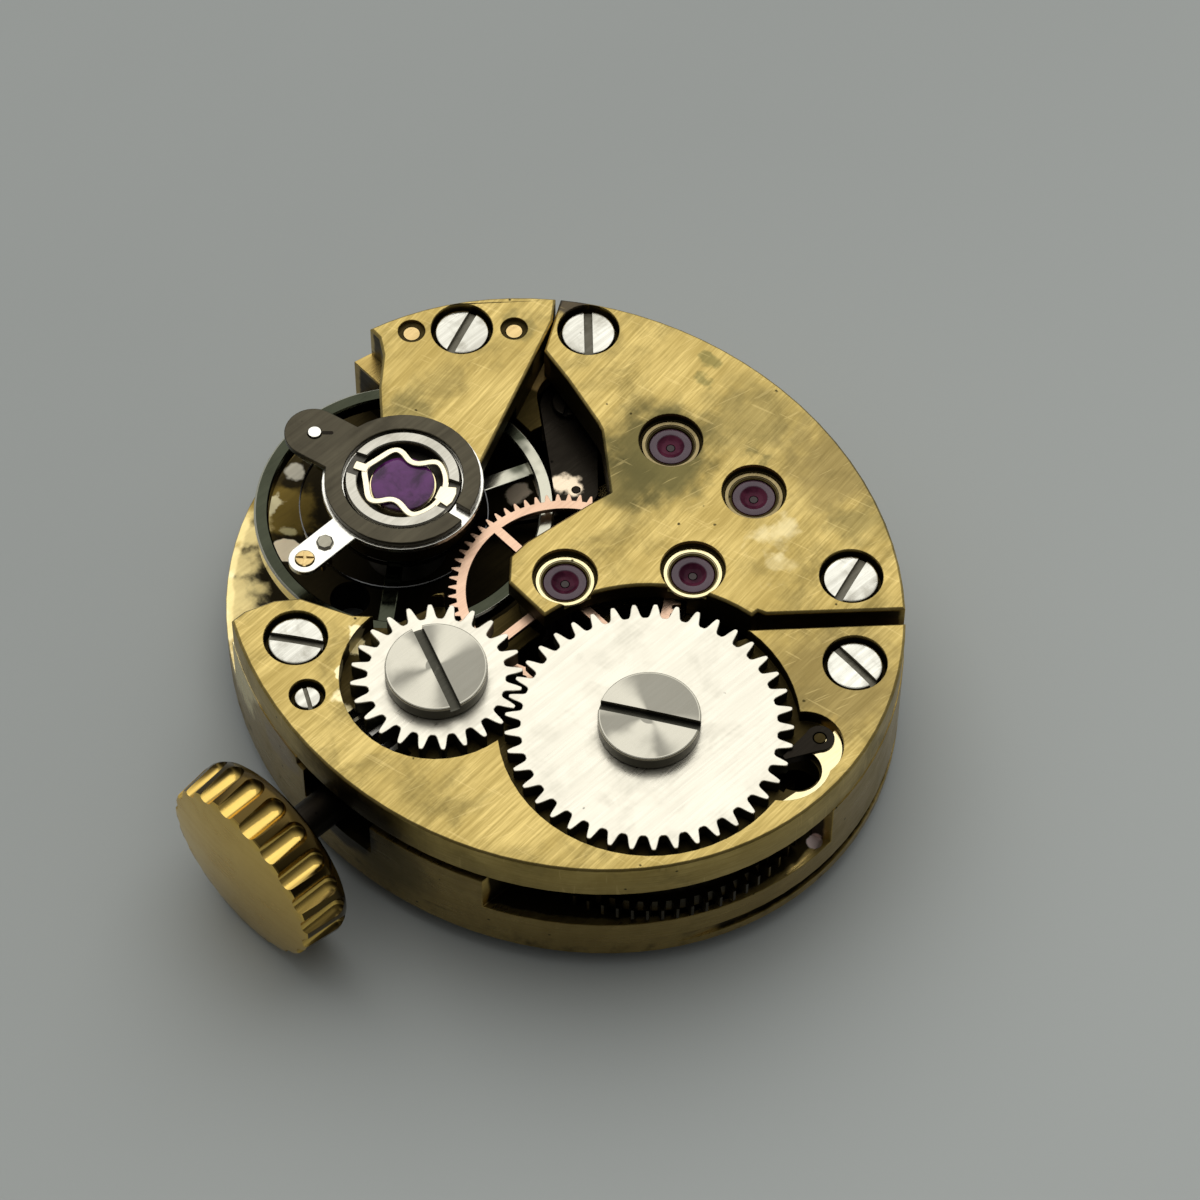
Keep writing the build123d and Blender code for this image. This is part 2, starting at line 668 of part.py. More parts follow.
def pins(shares, low, high, radius):
    """Return a group of round pins or their holes."""
    group = Part()
    for pair in shares:
        group += disc(radius, low, high, spot(pair))
    return group


def gear_pockets():
    """Return the cutter for the room of the barrel and the train in the plate."""
    top = SEAT + OVERRUN
    cutter = disc(BARREL_TIP + BARREL_POCKET_GAP, BASE_TOP, top, BARREL)
    cutter += disc(BARREL_RADIUS + BARREL_POCKET_GAP, BARREL_FLOOR, top, BARREL)
    cutter += bore(BARREL_PIVOT_RADIUS + BORE_GAP, 0, BARREL_FLOOR, BARREL)
    cutter += disc(THIRD_TIP + POCKET_GAP, THIRD_WHEEL_LOW - POCKET_GAP, top, THIRD)
    cutter += disc(FOURTH_TIP + POCKET_GAP, FOURTH_WHEEL_LOW - POCKET_GAP, top, FOURTH)
    cutter += disc(ESCAPE_RADIUS + POCKET_GAP, ESCAPE_WHEEL_LOW - POCKET_GAP, top, ESCAPE)
    pinion_room = tip_of(CENTRE_LEAVES, BARREL_MODULE) + CENTRE_PINION_POCKET_GAP
    cutter += disc(pinion_room, BASE_TOP, top, CENTRE)
    return cutter


def escapement_pockets():
    """Return the cutter for the room of the balance, the lever and its bridge."""
    top = SEAT + OVERRUN
    cutter = disc(BALANCE_RADIUS + BALANCE_POCKET_GAP, BALANCE_POCKET_FLOOR, top, BALANCE)
    cutter += disc(LEVER_POCKET_RADIUS, LEVER_LOW - POCKET_GAP, top, PALLET)
    cutter += slab(shares_sheet(BALANCE_OPENING_SHARES), BALANCE_POCKET_FLOOR, top)
    bridge_room = link(PALLET, PALLET_FOOT, PALLET_BRIDGE_RADIUS + SIDE_GAP, PALLET_FOOT_RADIUS + SIDE_GAP)
    cutter += slab(bridge_room, PALLET_BRIDGE_LOW, top)
    cutter += bore(PLATE_HOLE_RADIUS, 0, BALANCE_POCKET_FLOOR, spot(PLATE_HOLE_SHARES))
    cutter += disc(SHOCK_RADIUS + FIT_GAP, -OVERRUN, SHOCK_SPAN - SHOCK_FLANGE_LOW, BALANCE)
    cutter += bore(SHOCK_NECK_RADIUS + FIT_GAP, 0, BALANCE_POCKET_FLOOR, BALANCE)
    return cutter


def lower_jewel_seats():
    """Return the cutter for the lower jewels and the arbors above them."""
    cutter = Part()
    for at, radius in ((CENTRE, CENTRE_ARBOR_RADIUS), (THIRD, ARBOR_RADIUS), (FOURTH, ARBOR_RADIUS),
                       (ESCAPE, ARBOR_RADIUS), (PALLET, ARBOR_RADIUS)):
        cutter += disc(JEWEL_RADIUS + FIT_GAP, -OVERRUN, LOWER_JEWEL_TOP, at)
        cutter += disc(radius + RUN_GAP, LOWER_JEWEL_TOP, SEAT, at)
    return cutter


def keyless_pockets():
    """Return the cutter for the winding and setting pieces."""
    top = SEAT + OVERRUN
    winding_half = WINDING_TIP + SIDE_GAP
    cutter = Pos((WINDING_OUT + WINDING_FACE) / 2, 0, STEM_HEIGHT - winding_half) * Box(
        WINDING_FACE - WINDING_OUT + 2 * SIDE_GAP, 2 * winding_half, top, align=FROM_BASE)
    sliding_half = SLIDING_RADIUS + SIDE_GAP
    cutter += Pos((WINDING_FACE + STEM_SQUARE_END) / 2, 0, STEM_HEIGHT - sliding_half) * Box(
        STEM_SQUARE_END - WINDING_FACE, 2 * sliding_half, top, align=FROM_BASE)
    bearing = HALF_WIDTH + WINDING_OUT + OVERRUN
    cutter += along_stem(disc(STEM_RADIUS + BORE_GAP, 0, bearing), -HALF_WIDTH - OVERRUN)
    cutter += along_stem(disc(STEM_PILOT_RADIUS + BORE_GAP, 0, STEM_PILOT_LENGTH + SIDE_GAP), STEM_SQUARE_END)
    notch = Pos(-HALF_WIDTH, -STEM_NOTCH_SHIFT, BASE_TOP) * Box(
        2 * STEM_NOTCH_DEPTH, 2 * STEM_NOTCH_HALF, top, align=FROM_BASE)
    cutter += notch
    lever_top = SETTING_LEVER_LOW + SETTING_LEVER_THICKNESS + RUN_GAP
    lever_room = shares_sheet(SETTING_RECESS_SHARES) + circle(SETTING_LEVER_RADIUS + SIDE_GAP, LEVER_PIVOT)
    cutter += slab(lever_room, -OVERRUN, lever_top)
    slot = Pos(STEM_GROOVE - STEM_PULL / 2, 0) * Rectangle(
        STEM_PULL + 2 * SETTING_PIN_SLOT, 2 * SETTING_PIN_SLOT + SIDE_GAP)
    cutter += slab(slot, -OVERRUN, STEM_HEIGHT)
    cutter += bore(SMALL_SHANK_RADIUS + FIT_GAP, 0, SEAT, LEVER_PIVOT)
    cutter += slab(shares_sheet(YOKE_RECESS_SHARES), -OVERRUN, YOKE_LOW + YOKE_THICKNESS + RUN_GAP)
    cover = offset(shares_sheet(COVER_SHARES), SIDE_GAP)
    cutter += slab(cover, -OVERRUN, COVER_LOW + COVER_THICKNESS + BORE_GAP)
    for pair in COVER_SCREW_SHARES:
        cutter += disc(COVER_SHANK_RADIUS + FIT_GAP, -OVERRUN, COVER_LOW + COVER_THICKNESS + COVER_SHANK_LENGTH,
                       spot(pair))
    return cutter


def motion_pockets():
    """Return the cutter for the wheels under the dial."""
    hour_room = tip_of(HOUR_TEETH, MOTION_MODULE) + SIDE_GAP
    minute_room = tip_of(MINUTE_TEETH, MOTION_MODULE) + SIDE_GAP
    cutter = disc(hour_room, -OVERRUN, MOTION_FLOOR, CENTRE)
    cutter += disc(minute_room, -OVERRUN, MOTION_FLOOR, MINUTE)
    setting_top = SETTING_WHEEL_LOW + SETTING_WHEEL_HEIGHT + RUN_GAP
    return cutter + disc(SETTING_TIP + SIDE_GAP, -OVERRUN, setting_top, SETTING)


def plate_outline_cuts():
    """Return the cutter for the side window, the side groove, the rim step and the dial feet."""
    reach = HALF_WIDTH + HALF_LENGTH
    corners = [BARREL] + [polar(BARREL, reach, angle) for angle in WINDOW_ANGLES]
    cutter = slab(sheet(corners), BASE_TOP, SEAT + OVERRUN)
    crescent = Circle(reach) - Pos(-GROOVE_SHIFT_RIGHT, GROOVE_SHIFT_FRONT) * oval()
    cutter += slab(crescent, GROOVE_LOW, GROOVE_LOW + GROOVE_HEIGHT)
    step = sheet([BARREL] + [polar(BARREL, reach, angle) for angle in RIM_STEP_ANGLES]) - oval(RIM_STEP_DEPTH)
    cutter += slab(step, SEAT - RIM_STEP_HEIGHT, SEAT + OVERRUN)
    for pair in DIAL_FOOT_SHARES:
        cutter += disc(DIAL_FOOT_RADIUS, -OVERRUN, DIAL_FOOT_DEPTH, spot(pair))
    return cutter


def main_plate():
    """Return the plate with its pockets, bores and posts."""
    plate = slab(oval(), 0, SEAT)
    plate -= plate_outline_cuts()
    plate -= gear_pockets()
    plate -= escapement_pockets()
    plate -= lower_jewel_seats()
    plate -= motion_pockets()
    plate -= keyless_pockets()
    for shares in (TRAIN_SCREW_SHARES, BARREL_SCREW_SHARES, COCK_SCREW_SHARES):
        plate -= pins(shares, SEAT - SCREW_DEPTH, SEAT + OVERRUN, SCREW_SHANK_RADIUS + FIT_GAP)
    for shares in (HIDDEN_PIN_SHARES, COCK_PIN_SHARES):
        plate -= pins(shares, SEAT - PIN_REACH, SEAT + OVERRUN, PIN_RADIUS + FIT_GAP)
    shank_low = PALLET_BRIDGE_LOW - PALLET_BRIDGE_THICKNESS
    plate -= disc(PALLET_SCREW_SHANK_RADIUS + FIT_GAP, shank_low, SEAT, PALLET_FOOT)
    plate += disc(MINUTE_POST_RADIUS, HOUR_LOW, MOTION_FLOOR, MINUTE)
    setting_top = SETTING_WHEEL_LOW + SETTING_WHEEL_HEIGHT + RUN_GAP
    plate += disc(SETTING_POST_RADIUS, SETTING_WHEEL_LOW, setting_top, SETTING)
    yoke_top = YOKE_LOW + YOKE_THICKNESS + RUN_GAP
    return plate + disc(YOKE_POST_RADIUS, YOKE_LOW, yoke_top, YOKE_PIVOT)


def train_bridge():
    """Return the bridge over the centre, third, fourth and escape arbors."""
    face = shares_sheet(TRAIN_BRIDGE_SHARES) - circle(RATCHET_TIP + TRAIN_ARC_GAP, BARREL)
    bridge = bridge_blank(face)
    bridge -= screw_seats(TRAIN_SCREW_SHARES)
    wheel_room = CENTRE_WHEEL_TOP + SIDE_GAP
    bridge -= disc(CENTRE_TIP + CENTRE_POCKET_GAP, SEAT - OVERRUN, wheel_room, CENTRE)
    third_throat = tip_of(THIRD_LEAVES, CENTRE_MODULE) + SIDE_GAP
    fourth_throat = tip_of(FOURTH_LEAVES, THIRD_MODULE) + SIDE_GAP
    bridge -= jewel_seat(CENTRE, CENTRE_ARBOR_RADIUS + RUN_GAP, JEWEL_LOW)
    bridge -= jewel_seat(THIRD, third_throat, JEWEL_LOW)
    bridge -= jewel_seat(FOURTH, fourth_throat, SEAT + LEAF_OVERLAP + SIDE_GAP)
    bridge -= jewel_seat(ESCAPE, ARBOR_BORE_RADIUS, JEWEL_LOW)
    return bridge - pins(HIDDEN_PIN_SHARES[:2], SEAT - OVERRUN, SEAT + PIN_REACH, PIN_RADIUS + FIT_GAP)


def barrel_bridge():
    """Return the bridge over the barrel, with the recesses of the winding wheels."""
    face = shares_sheet(BARREL_BRIDGE_SHARES) - circle(CENTRE_TIP + CENTRE_POCKET_GAP, CENTRE)
    bridge = bridge_blank(face)
    bridge -= screw_seats(BARREL_SCREW_SHARES)
    top = HEIGHT + OVERRUN
    bridge -= disc(RATCHET_TIP + RATCHET_RECESS_GAP, RATCHET_LOW - RUN_GAP, top, BARREL)
    bridge -= disc(CROWN_WHEEL_TIP + CROWN_WHEEL_RECESS_GAP, CROWN_WHEEL_LOW - RUN_GAP, top, CROWN_WHEEL)
    bridge -= disc(CLICK_RECESS_RADIUS, RATCHET_LOW - RUN_GAP, top, spot(CLICK_RECESS_SHARES))
    bridge -= bore(CLICK_HOLE_RADIUS, SEAT, HEIGHT, spot(CLICK_HOLE_SHARES))
    bridge -= disc(CLICK_LEDGE_RADIUS, HEIGHT - CLICK_LEDGE_DEPTH, top, spot(CLICK_LEDGE_SHARES))
    bridge -= bore(BARREL_SHAFT_RADIUS + BORE_GAP, SEAT, HEIGHT, BARREL)
    bridge -= disc(BIG_SHANK_RADIUS + FIT_GAP, RATCHET_TOP - BIG_SHANK_LENGTH, top, CROWN_WHEEL)
    room = WINDING_TIP + SIDE_GAP
    opening = Pos((WINDING_OUT + WINDING_IN) / 2, 0, SEAT) * Box(
        WINDING_IN - WINDING_OUT + 2 * SIDE_GAP, 2 * room, 2 * BRIDGE_THICKNESS)
    bridge -= opening & along_stem(disc(room, 0, HALF_WIDTH), -HALF_WIDTH)
    hub_room = WINDING_HUB_RADIUS + SIDE_GAP
    bridge -= along_stem(disc(hub_room, 0, STEM_SQUARE_END - WINDING_IN), WINDING_IN)
    bridge -= bore(SMALL_SHANK_RADIUS + FIT_GAP, SEAT, HEIGHT, LEVER_PIVOT)
    small_floor = HEIGHT - SMALL_SINK - SMALL_HEAD_HEIGHT
    bridge -= disc(SMALL_RECESS_RADIUS, small_floor, top, LEVER_PIVOT)
    rim_room = BALANCE_RADIUS + POCKET_GAP
    bridge -= disc(rim_room, SEAT - OVERRUN, RIM_TOP + SIDE_GAP, BALANCE)
    bridge -= pins(HIDDEN_PIN_SHARES[2:], SEAT - OVERRUN, SEAT + PIN_REACH, PIN_RADIUS + FIT_GAP)
    return bridge + disc(CLICK_POST_RADIUS, RATCHET_LOW - RUN_GAP, RATCHET_LOW + CLICK_THICKNESS, CLICK_PIVOT)


def balance_cock():
    """Return the cock that carries the balance's upper bearing."""
    cock = bridge_blank(shares_sheet(COCK_SHARES) + circle(COCK_DISC_RADIUS, BALANCE))
    cock -= screw_seats(COCK_SCREW_SHARES)
    cock -= disc(BALANCE_RADIUS + BALANCE_POCKET_GAP, SEAT - OVERRUN, COCK_LOW, BALANCE)
    cock -= pins(COCK_PIN_SHARES, SEAT - OVERRUN, HEIGHT + OVERRUN, PIN_RADIUS + FIT_GAP)
    cock -= pins(COCK_PIN_SHARES, HEIGHT - PIN_SINK, HEIGHT + OVERRUN, PIN_RECESS_RADIUS)
    cock -= disc(SHOCK_RADIUS + FIT_GAP, SHOCK_FLANGE_LOW, HEIGHT + OVERRUN, BALANCE)
    return cock - bore(SHOCK_NECK_RADIUS + FIT_GAP, SEAT, HEIGHT, BALANCE)


def pallet_bridge():
    """Return the small bridge over the lever."""
    face = link(PALLET, PALLET_FOOT, PALLET_BRIDGE_RADIUS, PALLET_FOOT_RADIUS)
    bridge = slab(face, PALLET_BRIDGE_LOW, PALLET_BRIDGE_TOP)
    bridge -= bore(PIVOT_RADIUS + BORE_GAP, PALLET_BRIDGE_LOW, PALLET_BRIDGE_TOP, PALLET)
    return bridge - bore(PALLET_SCREW_SHANK_RADIUS + FIT_GAP, PALLET_BRIDGE_LOW, PALLET_BRIDGE_TOP, PALLET_FOOT)


def bridge_screws():
    """Return the five screws of the bridges and the cock."""
    top = HEIGHT - SCREW_SINK
    group = Part()
    for shares, angles in ((TRAIN_SCREW_SHARES, TRAIN_SLOT_ANGLES), (BARREL_SCREW_SHARES, BARREL_SLOT_ANGLES),
                           (COCK_SCREW_SHARES, COCK_SLOT_ANGLES)):
        for pair, angle in zip(shares, angles):
            slot = (angle, SLOT_WIDTH, SLOT_DEPTH)
            group += screw(SCREW_HEAD_RADIUS, top - SCREW_HEAD_HEIGHT, top, SCREW_SHANK_RADIUS,
                           SEAT - SCREW_DEPTH, spot(pair), slot, SCREW_BEVEL)
    return group


def setting_lever_screw():
    """Return the long screw that reaches through to the setting lever."""
    top = HEIGHT - SMALL_SINK
    slot = (SMALL_SLOT_ANGLE, SMALL_SLOT_WIDTH, SMALL_SLOT_DEPTH)
    return screw(SMALL_HEAD_RADIUS, top - SMALL_HEAD_HEIGHT, top, SMALL_SHANK_RADIUS, SETTING_LEVER_LOW,
                 LEVER_PIVOT, slot, FIT_GAP)


def pallet_bridge_screw():
    """Return the screw of the pallet bridge."""
    top = PALLET_BRIDGE_TOP + PALLET_SCREW_HEAD_HEIGHT
    slot = (PALLET_SLOT_ANGLE, SMALL_SLOT_WIDTH, SMALL_SLOT_DEPTH)
    return screw(PALLET_SCREW_HEAD_RADIUS, PALLET_BRIDGE_TOP, top, PALLET_SCREW_SHANK_RADIUS,
                 PALLET_BRIDGE_LOW - PALLET_BRIDGE_THICKNESS, PALLET_FOOT, slot, FIT_GAP)


def steady_pins():
    """Return the pins that place the bridges on the plate."""
    hidden = pins(HIDDEN_PIN_SHARES, SEAT - PIN_REACH, SEAT + PIN_REACH, PIN_RADIUS)
    return hidden + pins(COCK_PIN_SHARES, SEAT - PIN_REACH, HEIGHT - PIN_SINK, PIN_RADIUS)


def jewel(at, hole, low, cup):
    """Return a hole jewel, with an oil cup where it shows."""
    stone = ring(JEWEL_RADIUS, hole + BORE_GAP, low, low + JEWEL_HEIGHT, at)
    if cup:
        stone -= disc(JEWEL_CUP_RADIUS, low + JEWEL_HEIGHT - JEWEL_CUP_DEPTH, low + JEWEL_HEIGHT + OVERRUN, at)
    return stone


def upper_jewels():
    """Return the four jewels of the train bridge."""
    group = Part()
    for at in (CENTRE, THIRD, FOURTH, ESCAPE):
        group += jewel(at, PIVOT_RADIUS, JEWEL_LOW, True)
    return group


def lower_jewels():
    """Return the five jewels of the plate."""
    group = jewel(CENTRE, CENTRE_ARBOR_RADIUS, LOWER_JEWEL_LOW, False)
    for at in (THIRD, FOURTH, ESCAPE, PALLET):
        group += jewel(at, PIVOT_RADIUS, LOWER_JEWEL_LOW, False)
    return group


def both_bearings(solid):
    """Return a shock bearing piece above the balance and its mirror image below."""
    below = Pos(0, 0, SHOCK_SPAN) * mirror(solid, about=Plane.XY)
    return Pos(BALANCE[0], BALANCE[1]) * (solid + below)


def shock_blocks():
    """Return the two blocks that hold the balance's jewels."""
    block = turned(((SHOCK_RADIUS, SHOCK_FLANGE_LOW, SHOCK_TOP), (SHOCK_NECK_RADIUS, SHOCK_NECK_LOW, SHOCK_TOP)))
    block -= disc(SHOCK_CAVITY_RADIUS, SETTING_LOW, SHOCK_TOP + OVERRUN)
    return both_bearings(block - bore(SETTING_BORE_RADIUS, SHOCK_NECK_LOW, SHOCK_TOP))


def shock_settings():
    """Return the two rings that carry the hole jewels of the balance."""
    return both_bearings(ring(SETTING_RADIUS, PIVOT_RADIUS + BORE_GAP, SETTING_LOW, CAP_LOW))


def cap_jewels():
    """Return the two flat cap stones of the balance."""
    stone = disc(CAP_RADIUS, CAP_LOW, CAP_TOP)
    return both_bearings(chamfer(stone.edges().group_by(Axis.Z)[-1], RUN_GAP))


def shock_springs():
    """Return the two lyre springs that hold the cap stones."""
    reach = SHOCK_CAVITY_RADIUS - FIT_GAP
    half = [(x * reach, y * reach) for x, y in LYRE_HALF_SHARES]
    other = [(-x, y) for x, y in reversed(half[:-1])]
    route = half + other
    strips = Sketch()
    for start, end in zip(route, route[1:]):
        strips += link(start, end, LYRE_WIRE / 2, LYRE_WIRE / 2)
    return both_bearings(slab(Rot(0, 0, LYRE_ANGLE) * strips, CAP_TOP, LYRE_TOP))


def stud_carrier():
    """Return the split ring whose lobe holds the stud."""
    face = Circle(CARRIER_RADIUS)
    tip = polar(CENTRE, CARRIER_REACH, STUD_ANGLE)
    face += link(CENTRE, tip, CARRIER_LOBE_RADIUS, CARRIER_LOBE_RADIUS)
    face -= Circle(SHOCK_RADIUS + SIDE_GAP)
    split = Rectangle(CARRIER_RADIUS + OVERRUN, CARRIER_SPLIT, align=(Align.MIN, Align.CENTER))
    face -= Rot(0, 0, CARRIER_SPLIT_ANGLE) * split
    face -= circle(STUD_RADIUS + FIT_GAP, polar(CENTRE, HAIRSPRING_PIN_RADIUS, STUD_ANGLE))
    return Pos(BALANCE[0], BALANCE[1]) * slab(face, CARRIER_LOW, CARRIER_TOP)


def hairspring_stud():
    """Return the stud that holds the hairspring's outer end."""
    at = polar(BALANCE, HAIRSPRING_PIN_RADIUS, STUD_ANGLE)
    return disc(STUD_RADIUS, HAIRSPRING_LOW, CARRIER_TOP + PIN_HEAD_HEIGHT, at)


def regulator():
    """Return the ring with the arm that holds the curb pins."""
    tip = polar(CENTRE, REGULATOR_ARM_REACH, REGULATOR_ANGLE)
    arm = Rot(0, 0, REGULATOR_ANGLE) * Rectangle(
        math.dist(CENTRE, tip), REGULATOR_ARM_WIDTH, align=(Align.MIN, Align.CENTER))
    face = Circle(REGULATOR_RADIUS) + arm - Circle(SHOCK_RADIUS + BORE_GAP)
    for reach, radius in ((HAIRSPRING_PIN_RADIUS, CURB_HEAD_RADIUS), (REGULATOR_PIN_REACH, ARM_PIN_RADIUS)):
        face -= circle(radius + FIT_GAP, polar(CENTRE, reach, REGULATOR_ANGLE))
    return Pos(BALANCE[0], BALANCE[1]) * slab(face, REGULATOR_LOW, REGULATOR_TOP)


def regulator_pins():
    """Return the two pins riveted into the regulator's arm."""
    top = REGULATOR_TOP + PIN_HEAD_HEIGHT
    outer = polar(BALANCE, REGULATOR_PIN_REACH, REGULATOR_ANGLE)
    inner = polar(BALANCE, HAIRSPRING_PIN_RADIUS, REGULATOR_ANGLE)
    group = disc(ARM_PIN_RADIUS, REGULATOR_LOW, top, outer) + disc(CURB_HEAD_RADIUS, REGULATOR_LOW, top, inner)
    side = HAIRSPRING_STRIP / 2 + CURB_PIN_RADIUS + BORE_GAP
    for reach in (HAIRSPRING_PIN_RADIUS - side, HAIRSPRING_PIN_RADIUS + side):
        at = polar(BALANCE, reach, REGULATOR_ANGLE)
        group += disc(CURB_PIN_RADIUS, HAIRSPRING_LOW - SIDE_GAP, REGULATOR_LOW, at)
    return group


def balance_wheel():
    """Return the rim, arms and hub of the balance."""
    rim = ring(BALANCE_RADIUS, BALANCE_RADIUS - BALANCE_RIM, RIM_LOW, RIM_TOP)
    face = Circle(BALANCE_HUB_RADIUS)
    for angle in BALANCE_ARM_ANGLES:
        face += Rot(0, 0, angle) * Rectangle(
            BALANCE_RADIUS - BALANCE_RIM / 2, BALANCE_ARM_WIDTH, align=(Align.MIN, Align.CENTER))
    face -= Circle(STAFF_RADIUS + FIT_GAP)
    return Pos(BALANCE[0], BALANCE[1]) * (rim + slab(face, ARM_LOW, ARM_TOP))


def balance_staff():
    """Return the balance's staff with its fine pivots."""
    lower_tip = SHOCK_SPAN - CAP_LOW + FIT_GAP
    upper_tip = CAP_LOW - FIT_GAP
    lower_body = SHOCK_SPAN - SHOCK_NECK_LOW - RUN_GAP
    upper_body = SHOCK_NECK_LOW + RUN_GAP
    steps = (
        (PIVOT_RADIUS, lower_tip, upper_tip),
        (STAFF_RADIUS, lower_body, upper_body),
        (STAFF_FLANGE_RADIUS, ARM_LOW - BALANCE_ARM_LIFT, ARM_LOW),
    )
    return turned(steps, BALANCE)


def roller():
    """Return the roller with the notch for the lever's guard."""
    plate = ring(ROLLER_RADIUS, STAFF_RADIUS + FIT_GAP, ROLLER_LOW, ROLLER_LOW + ROLLER_HEIGHT)
    plate -= bore(IMPULSE_RADIUS + FIT_GAP, ROLLER_LOW, ROLLER_LOW + ROLLER_HEIGHT, (IMPULSE_REACH, 0))
    return Pos(BALANCE[0], BALANCE[1]) * Rot(0, 0, angle_to(BALANCE, PALLET)) * plate


def impulse_jewel():
    """Return the pin that drives the lever's fork."""
    at = polar(BALANCE, IMPULSE_REACH, angle_to(BALANCE, PALLET))
    top = ROLLER_LOW + ROLLER_HEIGHT
    return disc(IMPULSE_RADIUS, top - IMPULSE_LENGTH - ROLLER_HEIGHT, top, at)


def collet():
    """Return the split ring that holds the hairspring on the staff."""
    low = HAIRSPRING_LOW - BORE_GAP
    high = HAIRSPRING_TOP + BORE_GAP
    band = ring(COLLET_RADIUS, STAFF_RADIUS + FIT_GAP, low, high)
    split = Box(2 * COLLET_RADIUS, COLLET_SPLIT, COLLET_RADIUS, align=(Align.MIN, Align.CENTER, Align.MIN))
    return Pos(BALANCE[0], BALANCE[1]) * (band - Pos(0, 0, low - BORE_GAP) * split)


def half_arc(centre, radius, start, sweep):
    """Return an arc of a circle about a centre, from a start angle through a sweep."""
    ends = [polar(centre, radius, start + share * sweep / 2) for share in range(3)]
    return ThreePointArc(*ends)


def spiral_arcs(start_radius, end_radius, coils, start):
    """Return half-turn arcs that wind inward from one radius to another."""
    halves = 2 * coils
    step = (start_radius - end_radius) / halves
    arcs = []
    for half in range(halves):
        angle = start + half * 180
        outer = start_radius - half * step
        arcs.append(half_arc(polar(CENTRE, step / 2, angle), outer - step / 2, angle, 180))
    return arcs


def strip_face(outer, inner):
    """Return the face between the outer and the inner arcs of a coiled strip."""
    start_cap = Line(outer[0] @ 0, inner[0] @ 0)
    end_cap = Line(outer[-1] @ 1, inner[-1] @ 1)
    return make_face(Curve() + outer + inner + [start_cap, end_cap])


def hairspring():
    """Return the flat spring, from the stud past the curb pins to the collet."""
    half = HAIRSPRING_STRIP / 2
    gap = math.degrees((STUD_RADIUS + BORE_GAP) / HAIRSPRING_PIN_RADIUS)
    start = STUD_ANGLE + gap
    sides = []
    for shift in (half, -half):
        pinned = half_arc(CENTRE, HAIRSPRING_PIN_RADIUS + shift, start, HAIRSPRING_TURN - start)
        step = HAIRSPRING_PIN_RADIUS - HAIRSPRING_BODY_RADIUS
        middle = polar(CENTRE, step / 2, HAIRSPRING_TURN)
        closing = half_arc(middle, HAIRSPRING_PIN_RADIUS - step / 2 + shift, HAIRSPRING_TURN, 180)
        body = spiral_arcs(HAIRSPRING_BODY_RADIUS + shift, COLLET_RADIUS + BORE_GAP + half + shift,
                           HAIRSPRING_COILS, HAIRSPRING_TURN + 180)
        sides.append([pinned, closing] + body)
    return Pos(BALANCE[0], BALANCE[1]) * slab(strip_face(*sides), HAIRSPRING_LOW, HAIRSPRING_TOP)


def pallet_fork():
    """Return the lever with its fork and the arms of the two pallets."""
    line = angle_to(PALLET, BALANCE)
    tip = polar(PALLET, math.dist(PALLET, BALANCE) - IMPULSE_REACH, line)
    notch_floor = polar(tip, -FORK_DEPTH, line)
    face = link(PALLET, notch_floor, LEVER_WIDTH, LEVER_WIDTH / 2)
    for side in (-1, 1):
        horn = polar(tip, side * FORK_SPREAD, line + 90)
        root = polar(notch_floor, side * FORK_SPREAD, line + 90)
        face += link(notch_floor, root, LEVER_WIDTH / 2, LEVER_WIDTH / 4)
        face += link(root, horn, LEVER_WIDTH / 4, LEVER_WIDTH / 4)
        stone = stone_place(side)
        reach = STONE_WIDTH / 2 + PALLET_ARM_WIDTH / 2 + FIT_GAP
        arm_end = polar(stone, reach, angle_to(stone, PALLET))
        face += link(PALLET, arm_end, PALLET_ARM_WIDTH / 2, PALLET_ARM_WIDTH / 2)
    face -= circle(ARBOR_RADIUS + FIT_GAP, PALLET)
    return slab(face, LEVER_LOW, LEVER_TOP)


def stone_place(side):
    """Return the middle of a pallet stone, just outside the escape wheel's rim."""
    angle = angle_to(ESCAPE, PALLET) + side * STONE_SPREAD
    return polar(ESCAPE, ESCAPE_RADIUS + STONE_LENGTH / 2 - STONE_BITE, angle)


def stone_face(side):
    """Return the face of a pallet stone."""
    angle = angle_to(ESCAPE, PALLET) + side * STONE_SPREAD
    at = stone_place(side)
    return Pos(at[0], at[1]) * Rot(0, 0, angle) * Rectangle(STONE_LENGTH, STONE_WIDTH)


def pallet_stones():
    """Return the two pallet stones."""
    return slab(stone_face(-1), LEVER_LOW, LEVER_TOP) + slab(stone_face(1), LEVER_LOW, LEVER_TOP)


def pallet_arbor():
    """Return the lever's arbor."""
    steps = ((PIVOT_RADIUS, LOWER_JEWEL_LOW, PALLET_BRIDGE_TOP),
             (ARBOR_RADIUS, LOWER_JEWEL_TOP + BORE_GAP, PALLET_BRIDGE_LOW - BORE_GAP))
    return turned(steps, PALLET)


def escape_wheel():
    """Return the escape wheel with its club teeth."""
    pitch = 360 / ESCAPE_TEETH
    root = ESCAPE_RADIUS - 2 * RIM_WIDTH
    heel = ESCAPE_RADIUS - BORE_GAP - RUN_GAP
    corners = ((root, 0.10), (root, 0.50), (heel, 0.72), (ESCAPE_RADIUS, 0.86), (heel, 0.96))
    points = []
    for tooth in range(ESCAPE_TEETH):
        points += [polar(CENTRE, radius, (tooth + share) * pitch) for radius, share in corners]
    high = ESCAPE_WHEEL_LOW + ESCAPE_WHEEL_THICKNESS
    wheel = Pos(ESCAPE[0], ESCAPE[1]) * slab(sheet(points), ESCAPE_WHEEL_LOW, high)
    wheel -= crossings(root - RIM_WIDTH / 2, HUB_RADIUS, 4, SPOKE_WIDTH, ESCAPE_WHEEL_LOW, high, ESCAPE)
    return wheel - bore(ARBOR_RADIUS + FIT_GAP, ESCAPE_WHEEL_LOW, high, ESCAPE)


